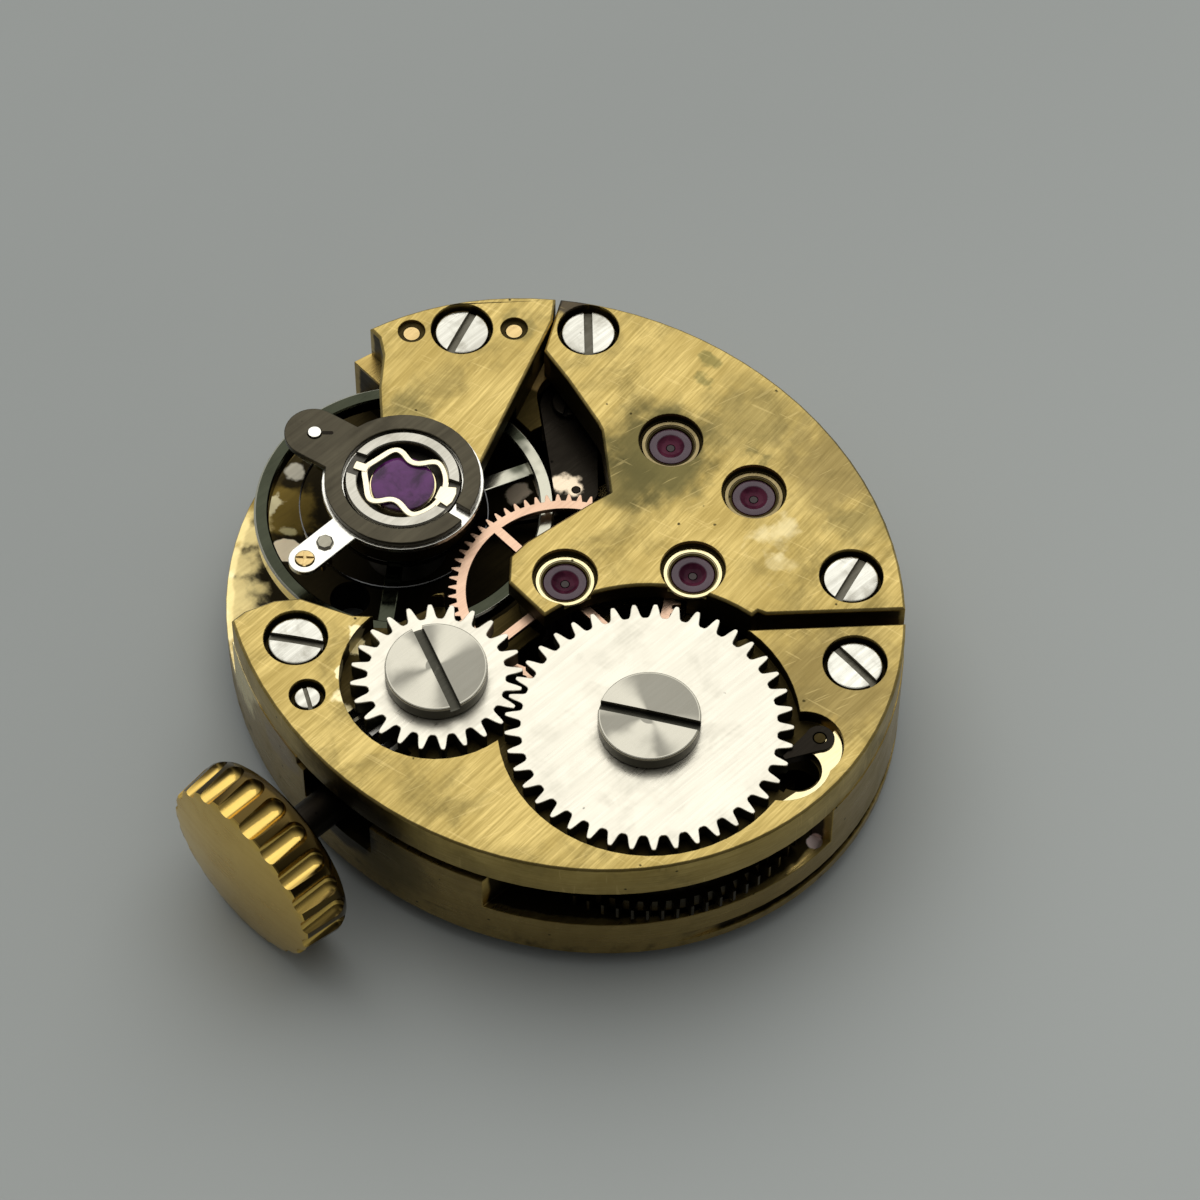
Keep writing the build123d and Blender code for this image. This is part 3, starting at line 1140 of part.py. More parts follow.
def train_wheel(teeth, module, low, high, at, arms, arbor, turn=0):
    """Return a train wheel with open crossings and a bore for its arbor."""
    wheel = gear(teeth, module, low, high, at, turn)
    wheel -= crossings(root_of(teeth, module) - RIM_WIDTH, HUB_RADIUS, arms, SPOKE_WIDTH, low, high, at)
    return wheel - bore(arbor + FIT_GAP, low, high, at)


def train_pinion(leaves, module, low, high, at, turn):
    """Return a pinion cut from one piece with its arbor."""
    steps = ((PIVOT_RADIUS, LOWER_JEWEL_LOW, JEWEL_TOP - JEWEL_CUP_DEPTH),
             (ARBOR_RADIUS, LOWER_JEWEL_TOP + BORE_GAP, JEWEL_LOW - BORE_GAP))
    return gear(leaves, module, low, high, at, turn) + turned(steps, at)


def centre_wheel():
    """Return the centre wheel, seen between the bridges."""
    return train_wheel(CENTRE_TEETH, CENTRE_MODULE, CENTRE_WHEEL_LOW, CENTRE_WHEEL_TOP, CENTRE, 4,
                       CENTRE_ARBOR_RADIUS)


def centre_pinion():
    """Return the centre pinion on the long arbor that carries the cannon pinion."""
    turn = mesh_turn(BARREL, 0, BARREL_TEETH, CENTRE, CENTRE_LEAVES)
    leaves = gear(CENTRE_LEAVES, BARREL_MODULE, BARREL_TOOTH_LOW - SIDE_GAP, BARREL_TOOTH_TOP + SIDE_GAP,
                  CENTRE, turn)
    steps = ((CENTRE_ARBOR_RADIUS, -CANNON_DROP + SIDE_GAP, JEWEL_LOW - BORE_GAP),
             (PIVOT_RADIUS, JEWEL_LOW - SIDE_GAP, JEWEL_TOP - JEWEL_CUP_DEPTH))
    return leaves + turned(steps, CENTRE)


def third_wheel():
    """Return the third wheel."""
    return train_wheel(THIRD_TEETH, THIRD_MODULE, THIRD_WHEEL_LOW, THIRD_WHEEL_TOP, THIRD, 5, ARBOR_RADIUS)


def third_pinion():
    """Return the third pinion, driven by the centre wheel."""
    turn = mesh_turn(CENTRE, 0, CENTRE_TEETH, THIRD, THIRD_LEAVES)
    return train_pinion(THIRD_LEAVES, CENTRE_MODULE, CENTRE_WHEEL_LOW - LEAF_OVERLAP,
                        CENTRE_WHEEL_TOP + BORE_GAP, THIRD, turn)


def fourth_wheel():
    """Return the fourth wheel."""
    return train_wheel(FOURTH_TEETH, FOURTH_MODULE, FOURTH_WHEEL_LOW, FOURTH_WHEEL_TOP, FOURTH, 4, ARBOR_RADIUS)


def fourth_pinion():
    """Return the fourth pinion, driven by the third wheel."""
    turn = mesh_turn(THIRD, 0, THIRD_TEETH, FOURTH, FOURTH_LEAVES)
    return train_pinion(FOURTH_LEAVES, THIRD_MODULE, THIRD_WHEEL_LOW - LEAF_OVERLAP,
                        THIRD_WHEEL_TOP + LEAF_OVERLAP, FOURTH, turn)


def escape_pinion():
    """Return the escape pinion, driven by the fourth wheel."""
    turn = mesh_turn(FOURTH, 0, FOURTH_TEETH, ESCAPE, ESCAPE_LEAVES)
    return train_pinion(ESCAPE_LEAVES, FOURTH_MODULE, FOURTH_WHEEL_LOW - LEAF_OVERLAP,
                        FOURTH_WHEEL_TOP + LEAF_OVERLAP, ESCAPE, turn)


def barrel_drum():
    """Return the barrel with its ring of teeth."""
    drum = disc(BARREL_RADIUS, BARREL_LOW, BARREL_LID_LOW, BARREL)
    drum += gear(BARREL_TEETH, BARREL_MODULE, BARREL_TOOTH_LOW, BARREL_TOOTH_TOP, BARREL)
    drum -= disc(BARREL_RADIUS - BARREL_WALL, BARREL_LOW + BARREL_WALL, SEAT, BARREL)
    return drum - bore(BARREL_PIVOT_RADIUS + BORE_GAP, BARREL_LOW, BARREL_LOW, BARREL)


def barrel_lid():
    """Return the barrel's lid."""
    return ring(BARREL_RADIUS, BARREL_SHAFT_RADIUS + BORE_GAP, BARREL_LID_LOW, BARREL_LID_TOP, BARREL)


def barrel_arbor():
    """Return the barrel's arbor with the square for the ratchet wheel."""
    core_low = BARREL_LOW + BARREL_WALL + RUN_GAP
    steps = (
        (BARREL_PIVOT_RADIUS, BARREL_PIVOT_LOW, core_low),
        (BARREL_CORE_RADIUS, core_low, BARREL_LID_LOW - RUN_GAP),
        (BARREL_SHAFT_RADIUS, BARREL_LID_LOW - RUN_GAP, RATCHET_LOW - BORE_GAP),
    )
    arbor = turned(steps, BARREL)
    square_low = RATCHET_LOW - BORE_GAP
    arbor += Pos(BARREL[0], BARREL[1], square_low) * Box(
        RATCHET_SQUARE, RATCHET_SQUARE, RATCHET_TOP - square_low, align=FROM_BASE)
    return arbor - disc(BIG_SHANK_RADIUS + FIT_GAP, RATCHET_TOP - BIG_SHANK_LENGTH, HEIGHT, BARREL)


def mainspring():
    """Return the mainspring's coils inside the barrel."""
    outer_radius = BARREL_RADIUS - BARREL_WALL - SIDE_GAP
    inner_radius = BARREL_CORE_RADIUS + RUN_GAP + SPRING_STRIP
    outer = spiral_arcs(outer_radius, inner_radius, SPRING_COILS, 0)
    inner = spiral_arcs(outer_radius - SPRING_STRIP, inner_radius - SPRING_STRIP, SPRING_COILS, 0)
    low = BARREL_LOW + BARREL_WALL + SIDE_GAP
    return Pos(BARREL[0], BARREL[1]) * slab(strip_face(outer, inner), low, BARREL_LID_LOW - SIDE_GAP)


def ratchet_wheel():
    """Return the large bright wheel on the barrel's arbor."""
    wheel = gear(RATCHET_TEETH, WINDING_MODULE, RATCHET_LOW, RATCHET_TOP, BARREL, 0, WINDING_ADDENDUM_SHARE)
    square = RATCHET_SQUARE + 2 * FIT_GAP
    return wheel - Pos(BARREL[0], BARREL[1], RATCHET_LOW) * Box(square, square, 2 * RATCHET_THICKNESS + OVERRUN)


def crown_wheel_turn():
    """Return the turn of the crown wheel's first tooth."""
    return mesh_turn(BARREL, 0, RATCHET_TEETH, CROWN_WHEEL, CROWN_WHEEL_TEETH)


def crown_wheel():
    """Return the bright wheel that the winding pinion drives from below."""
    wheel = gear(CROWN_WHEEL_TEETH, WINDING_MODULE, CROWN_WHEEL_LOW, RATCHET_TOP, CROWN_WHEEL,
                 crown_wheel_turn(), WINDING_ADDENDUM_SHARE)
    return wheel - bore(CROWN_SEAT_RADIUS + BORE_GAP, CROWN_WHEEL_LOW, RATCHET_TOP, CROWN_WHEEL)


def crown_wheel_seat():
    """Return the ring that the crown wheel turns on."""
    return ring(CROWN_SEAT_RADIUS, BIG_SHANK_RADIUS + FIT_GAP, CROWN_WHEEL_LOW - RUN_GAP, HEIGHT, CROWN_WHEEL)


def big_screw(at, angle):
    """Return one of the large flat screws over the winding wheels."""
    slot = (angle, BIG_SLOT_WIDTH, BIG_SLOT_DEPTH)
    return screw(BIG_HEAD_RADIUS, HEIGHT, HEIGHT + BIG_HEAD_HEIGHT, BIG_SHANK_RADIUS,
                 RATCHET_TOP - BIG_SHANK_LENGTH, at, slot, BIG_HEAD_BEVEL)


def ratchet_screw():
    """Return the screw of the ratchet wheel."""
    return big_screw(BARREL, RATCHET_SLOT_ANGLE)


def crown_wheel_screw():
    """Return the screw of the crown wheel."""
    return big_screw(CROWN_WHEEL, CROWN_SLOT_ANGLE)


def click():
    """Return the click that stops the ratchet wheel."""
    tip = polar(BARREL, RATCHET_TIP - CLICK_TIP_DEPTH, CLICK_TIP_ANGLE)
    face = circle(CLICK_DISC_RADIUS, CLICK_PIVOT)
    line = angle_to(CLICK_PIVOT, tip)
    face += sheet([
        polar(CLICK_PIVOT, CLICK_DISC_RADIUS, line + 90),
        polar(CLICK_PIVOT, CLICK_DISC_RADIUS, line - 90),
        polar(tip, CLICK_TIP_WIDTH / 2, line - 90),
        polar(tip, CLICK_TIP_WIDTH / 2, line + 90),
    ])
    face -= circle(CLICK_POST_RADIUS + BORE_GAP, CLICK_PIVOT)
    return slab(face, RATCHET_LOW, RATCHET_LOW + CLICK_THICKNESS)


def click_spring():
    """Return the bent strip beside the click."""
    centre = spot(CLICK_RECESS_SHARES)
    start, end = CLICK_SPRING_ANGLES
    outer = half_arc(centre, CLICK_SPRING_RADIUS + CLICK_SPRING_STRIP, start, end - start)
    inner = half_arc(centre, CLICK_SPRING_RADIUS, start, end - start)
    return slab(strip_face([outer], [inner]), RATCHET_LOW - RUN_GAP, RATCHET_LOW + CLICK_THICKNESS / 2)


def clutch_teeth(outer, inner, turn):
    """Return the face teeth between the winding and the sliding pinion."""
    group = Part()
    half = CLUTCH_TOOTH_SHARE * math.pi * inner / CLUTCH_TEETH
    for tooth in range(CLUTCH_TEETH):
        block = Box(outer - inner, 2 * half, CLUTCH_TOOTH, align=(Align.MIN, Align.CENTER, Align.MIN))
        group += Rot(0, 0, turn + tooth * 360 / CLUTCH_TEETH) * Pos(inner, 0, 0) * block
    return group


def winding_pinion():
    """Return the pinion that drives the crown wheel."""
    share = ((180 - crown_wheel_turn()) * CROWN_WHEEL_TEETH / 360) % 1
    turn = 180 - (share + 0.5) * 360 / WINDING_TEETH
    length = WINDING_IN - WINDING_OUT
    root = WINDING_TIP - WINDING_TOOTH_HEIGHT
    pinion = slab(gear_face(WINDING_TEETH, WINDING_TIP, root, turn), 0, length)
    pinion += disc(WINDING_HUB_RADIUS, length, length + WINDING_HUB_LENGTH)
    bite = Pos(0, 0, length + WINDING_HUB_LENGTH)
    pinion += bite * clutch_teeth(WINDING_HUB_RADIUS, SLIDING_GROOVE_RADIUS, 0)
    pinion -= bore(STEM_NECK_RADIUS + BORE_GAP + BORE_GAP, 0, length + WINDING_HUB_LENGTH)
    return along_stem(pinion, WINDING_OUT)


def sliding_pinion():
    """Return the grooved pinion that slides on the stem's square."""
    length = SLIDING_END - SLIDING_START
    side = STEM_SQUARE + 2 * BORE_GAP
    groove_low = (length - SLIDING_GROOVE_WIDTH) / 2
    steps = (
        (SLIDING_RADIUS, 0, groove_low),
        (SLIDING_GROOVE_RADIUS, groove_low, groove_low + SLIDING_GROOVE_WIDTH),
    )
    pinion = turned(steps)
    teeth = gear_face(WINDING_TEETH, SLIDING_RADIUS, SLIDING_RADIUS - SLIDING_ROOT_DEPTH)
    pinion += slab(teeth, groove_low + SLIDING_GROOVE_WIDTH, length)
    teeth_turn = 180 / CLUTCH_TEETH
    pinion += Pos(0, 0, -CLUTCH_TOOTH) * clutch_teeth(WINDING_HUB_RADIUS, SLIDING_GROOVE_RADIUS, teeth_turn)
    pinion -= Pos(0, 0, -OVERRUN) * Box(side, side, length + 2 * OVERRUN, align=FROM_BASE)
    return along_stem(pinion, SLIDING_START)


def stem():
    """Return the winding stem."""
    start = CROWN_FACE + CROWN_DOME
    neck = WINDING_OUT - start
    square_start = WINDING_FACE - start
    square_end = STEM_SQUARE_END - CLUTCH_TRAVEL - start
    groove = STEM_GROOVE - start
    rod = disc(CROWN_BORE_RADIUS, 0, CROWN_BACK - start)
    rod += disc(STEM_RADIUS, CROWN_BACK - start, neck)
    rod -= ring(STEM_RADIUS + OVERRUN, STEM_GROOVE_RADIUS, groove - STEM_GROOVE_WIDTH / 2,
                groove + STEM_GROOVE_WIDTH / 2)
    rod += disc(STEM_NECK_RADIUS, neck, square_start)
    rod += Pos(0, 0, square_start) * Box(STEM_SQUARE, STEM_SQUARE, square_end - square_start, align=FROM_BASE)
    rod += disc(STEM_PILOT_RADIUS, square_end, STEM_SQUARE_END + STEM_PILOT_LENGTH - start)
    return along_stem(rod, start)


def crown():
    """Return the fluted crown with its domed face."""
    front = CROWN_RADIUS - CROWN_TAPER
    root = CROWN_FLUTE_DEPTH
    bore_radius = CROWN_BORE_RADIUS + FIT_GAP
    profile = [
        (0, CROWN_DOME - FIT_GAP), (0, -CROWN_DOME), (front - 2 * root, -CROWN_DOME / 2),
        (front - root / 2, 0), (CROWN_RADIUS, CROWN_LENGTH - root), (CROWN_RADIUS - root, CROWN_LENGTH),
        (bore_radius, CROWN_LENGTH), (bore_radius, CROWN_DOME - FIT_GAP),
    ]
    body = revolve(Plane.XZ * sheet(profile), Axis.Z)
    axis_radius = CROWN_RADIUS - root + CROWN_FLUTE_RADIUS
    for flute in range(CROWN_FLUTES):
        at = polar(CENTRE, axis_radius, flute * 360 / CROWN_FLUTES)
        body -= disc(CROWN_FLUTE_RADIUS, -CROWN_DOME, CROWN_LENGTH - CROWN_SHOULDER, at)
    return along_stem(body, CROWN_FACE)


def setting_lever():
    """Return the lever whose pin sits in the stem's groove."""
    pin_at = (STEM_GROOVE, 0)
    high = SETTING_LEVER_LOW + SETTING_LEVER_THICKNESS
    lever = slab(link(LEVER_PIVOT, pin_at, SETTING_LEVER_RADIUS, SETTING_LEVER_END_RADIUS), SETTING_LEVER_LOW, high)
    lever -= bore(SMALL_SHANK_RADIUS + BORE_GAP, SETTING_LEVER_LOW, high, LEVER_PIVOT)
    return lever + disc(SETTING_PIN_RADIUS, high, STEM_HEIGHT - STEM_GROOVE_RADIUS - BORE_GAP, pin_at)


def yoke():
    """Return the yoke whose finger shifts the sliding pinion."""
    tip = (YOKE_PIVOT[0], YOKE_FINGER_REACH)
    face = link(YOKE_PIVOT, tip, YOKE_FINGER_RADIUS, YOKE_FINGER_RADIUS) + circle(YOKE_RADIUS, YOKE_PIVOT)
    face -= circle(YOKE_POST_RADIUS + BORE_GAP, YOKE_PIVOT)
    return slab(face, YOKE_LOW, YOKE_LOW + YOKE_THICKNESS)


def yoke_spring():
    """Return the bent spring that presses on the yoke."""
    return slab(shares_sheet(YOKE_SPRING_SHARES), YOKE_LOW, YOKE_LOW + YOKE_THICKNESS + RUN_GAP)


def setting_wheel():
    """Return the wheel between the sliding pinion and the minute wheel."""
    turn = mesh_turn(MINUTE, minute_turn(), MINUTE_TEETH, SETTING, SETTING_TEETH)
    high = SETTING_WHEEL_LOW + SETTING_WHEEL_HEIGHT
    wheel = gear(SETTING_TEETH, MOTION_MODULE, SETTING_WHEEL_LOW, high, SETTING, turn)
    return wheel - bore(SETTING_POST_RADIUS + BORE_GAP, SETTING_WHEEL_LOW, high, SETTING)


def minute_turn():
    """Return the turn of the minute wheel's first tooth."""
    return mesh_turn(CENTRE, 0, CANNON_LEAVES, MINUTE, MINUTE_TEETH)


def minute_wheel():
    """Return the minute wheel and its pinion, which are one piece."""
    high = MINUTE_LOW + MINUTE_THICKNESS
    wheel = gear(MINUTE_TEETH, MOTION_MODULE, MINUTE_LOW, high, MINUTE, minute_turn())
    wheel += gear(MINUTE_LEAVES, MOTION_MODULE, HOUR_LOW, MINUTE_LOW, MINUTE)
    return wheel - bore(MINUTE_POST_RADIUS + BORE_GAP, HOUR_LOW, high, MINUTE)


def hour_wheel():
    """Return the hour wheel with its tube for the hour hand."""
    turn = mesh_turn(MINUTE, 0, MINUTE_LEAVES, CENTRE, HOUR_TEETH)
    high = HOUR_LOW + HOUR_THICKNESS
    wheel = gear(HOUR_TEETH, MOTION_MODULE, HOUR_LOW, high, CENTRE, turn)
    wheel += disc(HOUR_TUBE_RADIUS, -HOUR_DROP, HOUR_LOW)
    return wheel - bore(CANNON_TUBE_RADIUS + BORE_GAP, -HOUR_DROP, high)


def cannon_pinion():
    """Return the cannon pinion with its tube for the minute hand."""
    pinion = gear(CANNON_LEAVES, MOTION_MODULE, CANNON_LOW, CANNON_LOW + CANNON_TOOTH_HEIGHT, CENTRE)
    pinion += disc(CANNON_TUBE_RADIUS, -HOUR_DROP - SIDE_GAP, CANNON_LOW)
    pinion += disc(CANNON_TIP_RADIUS, -CANNON_DROP, -HOUR_DROP - SIDE_GAP)
    return pinion - bore(CENTRE_ARBOR_RADIUS + FIT_GAP, -CANNON_DROP, CANNON_LOW + CANNON_TOOTH_HEIGHT)


def keyless_cover():
    """Return the thin cover over the setting pieces."""
    face = shares_sheet(COVER_SHARES)
    for pair in COVER_SCREW_SHARES:
        face -= circle(COVER_SHANK_RADIUS + FIT_GAP, spot(pair))
    return slab(face, COVER_LOW, COVER_LOW + COVER_THICKNESS)


def keyless_screws():
    """Return the two screws of the cover, their heads on the dial side."""
    group = Part()
    top = COVER_LOW + COVER_THICKNESS + COVER_SHANK_LENGTH
    for pair in COVER_SCREW_SHARES:
        group += disc(COVER_SCREW_RADIUS, -COVER_LOW, COVER_LOW, spot(pair))
        group += disc(COVER_SHANK_RADIUS, COVER_LOW, top, spot(pair))
    return group


PIECES = (
    main_plate, barrel_bridge, train_bridge, balance_cock, pallet_bridge,
    bridge_screws, setting_lever_screw, pallet_bridge_screw, steady_pins,
    upper_jewels, lower_jewels, shock_blocks, shock_settings, cap_jewels, shock_springs,
    stud_carrier, hairspring_stud, regulator, regulator_pins,
    balance_wheel, balance_staff, roller, impulse_jewel, collet, hairspring,
    pallet_fork, pallet_stones, pallet_arbor, escape_wheel, escape_pinion,
    fourth_wheel, fourth_pinion, third_wheel, third_pinion, centre_wheel, centre_pinion,
    cannon_pinion, hour_wheel, minute_wheel, setting_wheel,
    barrel_drum, barrel_lid, barrel_arbor, mainspring,
    ratchet_wheel, ratchet_screw, crown_wheel, crown_wheel_seat, crown_wheel_screw,
    click, click_spring, winding_pinion, sliding_pinion, stem, crown,
    setting_lever, yoke, yoke_spring, keyless_cover, keyless_screws,
)

os.makedirs("parts", exist_ok=True)
for piece in PIECES:
    export_step(piece(), f"parts/{piece.__name__}.step")
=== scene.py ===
import json
import logging
import math
from dataclasses import dataclass, replace
from enum import Enum
from functools import cache
from typing import Callable, Iterable, Optional, Sequence, Union

import bmesh
import bpy
from mathutils import Matrix, Quaternion, Vector

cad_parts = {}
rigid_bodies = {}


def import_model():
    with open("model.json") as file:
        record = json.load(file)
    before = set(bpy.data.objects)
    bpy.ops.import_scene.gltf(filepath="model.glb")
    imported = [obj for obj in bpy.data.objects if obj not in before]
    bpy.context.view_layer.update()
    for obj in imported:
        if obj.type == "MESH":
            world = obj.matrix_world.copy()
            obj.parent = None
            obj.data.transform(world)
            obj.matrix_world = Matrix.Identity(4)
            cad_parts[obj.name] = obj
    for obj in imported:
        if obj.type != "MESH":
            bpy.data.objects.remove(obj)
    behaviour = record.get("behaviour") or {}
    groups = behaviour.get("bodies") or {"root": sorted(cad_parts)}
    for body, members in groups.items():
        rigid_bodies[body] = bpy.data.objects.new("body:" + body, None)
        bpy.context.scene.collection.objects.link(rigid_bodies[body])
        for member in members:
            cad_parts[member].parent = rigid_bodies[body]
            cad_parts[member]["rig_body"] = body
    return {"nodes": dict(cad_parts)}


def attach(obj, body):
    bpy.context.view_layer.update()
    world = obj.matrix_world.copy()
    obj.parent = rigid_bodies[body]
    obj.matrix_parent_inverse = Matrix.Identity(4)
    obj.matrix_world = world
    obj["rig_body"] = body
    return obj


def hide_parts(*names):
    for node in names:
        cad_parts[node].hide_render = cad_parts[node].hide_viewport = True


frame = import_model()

# Looks of a small oval watch movement. Shapes are made in millimetres, and a
# finished piece is brought to metres, so it lies where the frame's nodes lie.

MM = 0.001
FULL_TURN = 2 * math.pi
SMOOTH_LIMIT = math.radians(20)
ROUND_STEPS = 96
LOG = logging.getLogger("movement")

# The plate's half width, its half length and the place of its middle along Y.
OVAL = (6.6, 7.5, 0.1)
STEM_HEIGHT = 1.60
BALANCE_AXIS = (-0.92004, 3.93975)
RATCHET_AXIS = (-1.20978, -3.78)
CROWN_WHEEL_AXIS = (-3.55014, 0.0)
TRAIN_AXES = ((0.0, 0.0), (2.04996, -1.65), (4.2999, -1.13025), (3.9402, 0.99))

Point = tuple[float, float]
Place = tuple[float, float, float]
Colour = tuple[float, float, float]
Feed = Union[float, int, str, Sequence[float], bpy.types.NodeSocket]


def polar(centre: Point, radius: float, degrees: float) -> Point:
    """Find the place at a radius and an angle in degrees from a centre."""
    turn = math.radians(degrees)
    return centre[0] + radius * math.cos(turn), centre[1] + radius * math.sin(turn)


class Body(str, Enum):
    """The moving bodies that pieces ride on."""

    PLATE = "plate"
    BALANCE = "balance"
    CENTRE = "centre"
    RATCHET = "ratchet"
    CROWN_WHEEL = "crown_wheel_body"
    STEM = "stem_and_crown"
    REGULATOR = "regulator_body"
    CARRIER = "stud_carrier_body"


class Blank:
    """A solid in millimetres, kept as a bmesh until it becomes a piece."""

    def __init__(self) -> None:
        """Start with nothing."""
        self.mesh = bmesh.new()

    @classmethod
    def turned(cls, profile: Sequence[Point], steps: int = ROUND_STEPS, closed: bool = False) -> "Blank":
        """Spin a profile about Z.

        Args:
            profile: Pairs of radius and height.
            steps: Segments of the full turn.
            closed: Whether the last point joins the first, as for a ring.

        Returns:
            The turned solid.
        """
        blank = cls()
        mesh = blank.mesh
        corners = [mesh.verts.new((radius, 0, height)) for radius, height in profile]
        pairs = list(zip(corners, corners[1:]))
        if closed:
            pairs.append((corners[-1], corners[0]))
        sides = [mesh.edges.new(pair) for pair in pairs]
        bmesh.ops.spin(mesh, geom=corners + sides, cent=(0, 0, 0), axis=(0, 0, 1), angle=FULL_TURN,
                       steps=steps, use_merge=True)
        return blank.cleaned()

    @classmethod
    def rod(cls, radius: float, low: float, high: float, steps: int = ROUND_STEPS) -> "Blank":
        """Turn a plain rod about Z between two heights and return it."""
        return cls.turned([(0, low), (radius, low), (radius, high), (0, high)], steps)

    @classmethod
    def slab(cls, outline: Sequence[Point], low: float, high: float) -> "Blank":
        """Raise an outline between two heights.

        Args:
            outline: Corners in order.
            low: Lower height.
            high: Upper height.

        Returns:
            The solid.
        """
        blank = cls()
        mesh = blank.mesh
        corners = [mesh.verts.new((x, y, low)) for x, y in outline]
        return blank._raised(mesh.faces.new(corners), high - low)

    @classmethod
    def toothed(cls, wheel: "Toothing", low: float, high: float) -> "Blank":
        """Repeat one tooth round a centre and raise the outline.

        Args:
            wheel: The teeth.
            low: Lower height.
            high: Upper height.

        Returns:
            The gear about the origin.
        """
        blank = cls()
        mesh = blank.mesh
        corners = [mesh.verts.new((x, y, low)) for x, y in wheel.one_tooth()]
        sides = [mesh.edges.new(pair) for pair in zip(corners, corners[1:])]
        bmesh.ops.spin(mesh, geom=corners + sides, cent=(0, 0, 0), axis=(0, 0, 1), angle=FULL_TURN,
                       steps=wheel.teeth, use_duplicate=True)
        bmesh.ops.remove_doubles(mesh, verts=mesh.verts, dist=0.0005)
        made = bmesh.ops.contextual_create(mesh, geom=list(mesh.edges))
        return blank._raised(made["faces"][0], high - low)

    @classmethod
    def box(cls, size: Place, middle: Place, turn: float = 0.0) -> "Blank":
        """Make a block.

        Args:
            size: Full lengths along X, Y and Z.
            middle: Its centre.
            turn: Degrees about Z through its centre.

        Returns:
            The block.
        """
        blank = cls()
        bmesh.ops.create_cube(blank.mesh, size=1)
        bmesh.ops.scale(blank.mesh, vec=size, verts=blank.mesh.verts)
        return blank.spun(turn).moved(middle)

    @classmethod
    def of_node(cls, node: str) -> "Blank":
        """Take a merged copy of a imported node.

        Args:
            node: The node's name.

        Returns:
            The copy in millimetres, its flat faces joined.
        """
        blank = cls()
        mesh = blank.mesh
        mesh.from_mesh(frame["nodes"][node].data)
        bmesh.ops.scale(mesh, vec=(1 / MM,) * 3, verts=mesh.verts)
        bmesh.ops.remove_doubles(mesh, verts=mesh.verts, dist=0.0004)
        bmesh.ops.dissolve_limit(mesh, angle_limit=math.radians(0.4), verts=mesh.verts, edges=mesh.edges,
                                 use_dissolve_boundaries=False, delimit={"NORMAL"})
        return blank

    @classmethod
    def wire(cls, route: Sequence[Point], level: float, thickness: float, flat: float = 1.0) -> "Blank":
        """Sweep a round wire along a smooth closed line.

        Args:
            route: Points that the line goes near.
            level: Height of the wire's middle.
            thickness: Its diameter.
            flat: Height of the section as a share of its width.

        Returns:
            The wire.
        """
        curve = bpy.data.curves.new("wire", "CURVE")
        curve.dimensions = "3D"
        spline = curve.splines.new("NURBS")
        spline.points.add(len(route) - 1)
        for point, (x, y) in zip(spline.points, route):
            point.co = (x, y, 0, 1)
        spline.order_u = 4
        spline.use_cyclic_u = True
        curve.resolution_u = 8
        curve.bevel_depth = thickness / 2
        curve.bevel_resolution = 3
        blank = cls._from_curve(curve)
        bmesh.ops.scale(blank.mesh, vec=(1, 1, flat), verts=blank.mesh.verts)
        return blank.moved((0, 0, level))

    @classmethod
    def ribbon(cls, route: Sequence[Point], low: float, high: float, thickness: float) -> "Blank":
        """Stand a thin strip on a line in the plan.

        Args:
            route: Points of the line in order.
            low: Lower edge.
            high: Upper edge.
            thickness: The strip's thickness.

        Returns:
            The strip.
        """
        blank = cls()
        mesh = blank.mesh
        corners = [mesh.verts.new((x, y, low)) for x, y in route]
        sides = [mesh.edges.new(pair) for pair in zip(corners, corners[1:])]
        blank._lift(bmesh.ops.extrude_edge_only(mesh, edges=sides), high - low)
        bmesh.ops.recalc_face_normals(mesh, faces=mesh.faces)
        bmesh.ops.solidify(mesh, geom=list(mesh.faces), thickness=thickness)
        return blank.cleaned()

    @classmethod
    def _from_curve(cls, curve: bpy.types.Curve) -> "Blank":
        """Turn a curve into a solid and drop the curve.

        Args:
            curve: The curve with its section.

        Returns:
            The solid.
        """
        holder = bpy.data.objects.new("wire", curve)
        bpy.context.scene.collection.objects.link(holder)
        blank = cls._evaluated(holder)
        bpy.data.objects.remove(holder)
        bpy.data.curves.remove(curve)
        return blank.cleaned()

    @classmethod
    def _evaluated(cls, holder: bpy.types.Object) -> "Blank":
        """Read an object with its modifiers into a new solid.

        Args:
            holder: The object.

        Returns:
            The solid.
        """
        bpy.context.view_layer.update()
        graph = bpy.context.evaluated_depsgraph_get()
        made = bpy.data.meshes.new_from_object(holder.evaluated_get(graph))
        blank = cls()
        blank.mesh.from_mesh(made)
        bpy.data.meshes.remove(made)
        return blank

    def _raised(self, face: bmesh.types.BMFace, rise: float) -> "Blank":
        """Extrude one face upwards and close the solid.

        Args:
            face: The face to raise.
            rise: How far it goes.

        Returns:
            This solid.
        """
        self._lift(bmesh.ops.extrude_face_region(self.mesh, geom=[face]), rise)
        bmesh.ops.holes_fill(self.mesh, edges=self.mesh.edges, sides=0)
        return self.cleaned()

    def _lift(self, made: dict, rise: float) -> None:
        """Move the points that an extrusion made upwards."""
        upper = [item for item in made["geom"] if isinstance(item, bmesh.types.BMVert)]
        bmesh.ops.translate(self.mesh, verts=upper, vec=(0, 0, rise))

    def cleaned(self) -> "Blank":
        """Merge doubled points and turn the faces outwards, then return this solid."""
        bmesh.ops.remove_doubles(self.mesh, verts=self.mesh.verts, dist=0.0002)
        bmesh.ops.recalc_face_normals(self.mesh, faces=self.mesh.faces)
        return self

    def moved(self, by: Place) -> "Blank":
        """Shift the solid and return it."""
        bmesh.ops.translate(self.mesh, verts=self.mesh.verts, vec=by)
        return self

    def placed(self, at: Point) -> "Blank":
        """Shift the solid in the plan and return it."""
        return self.moved((at[0], at[1], 0.0))

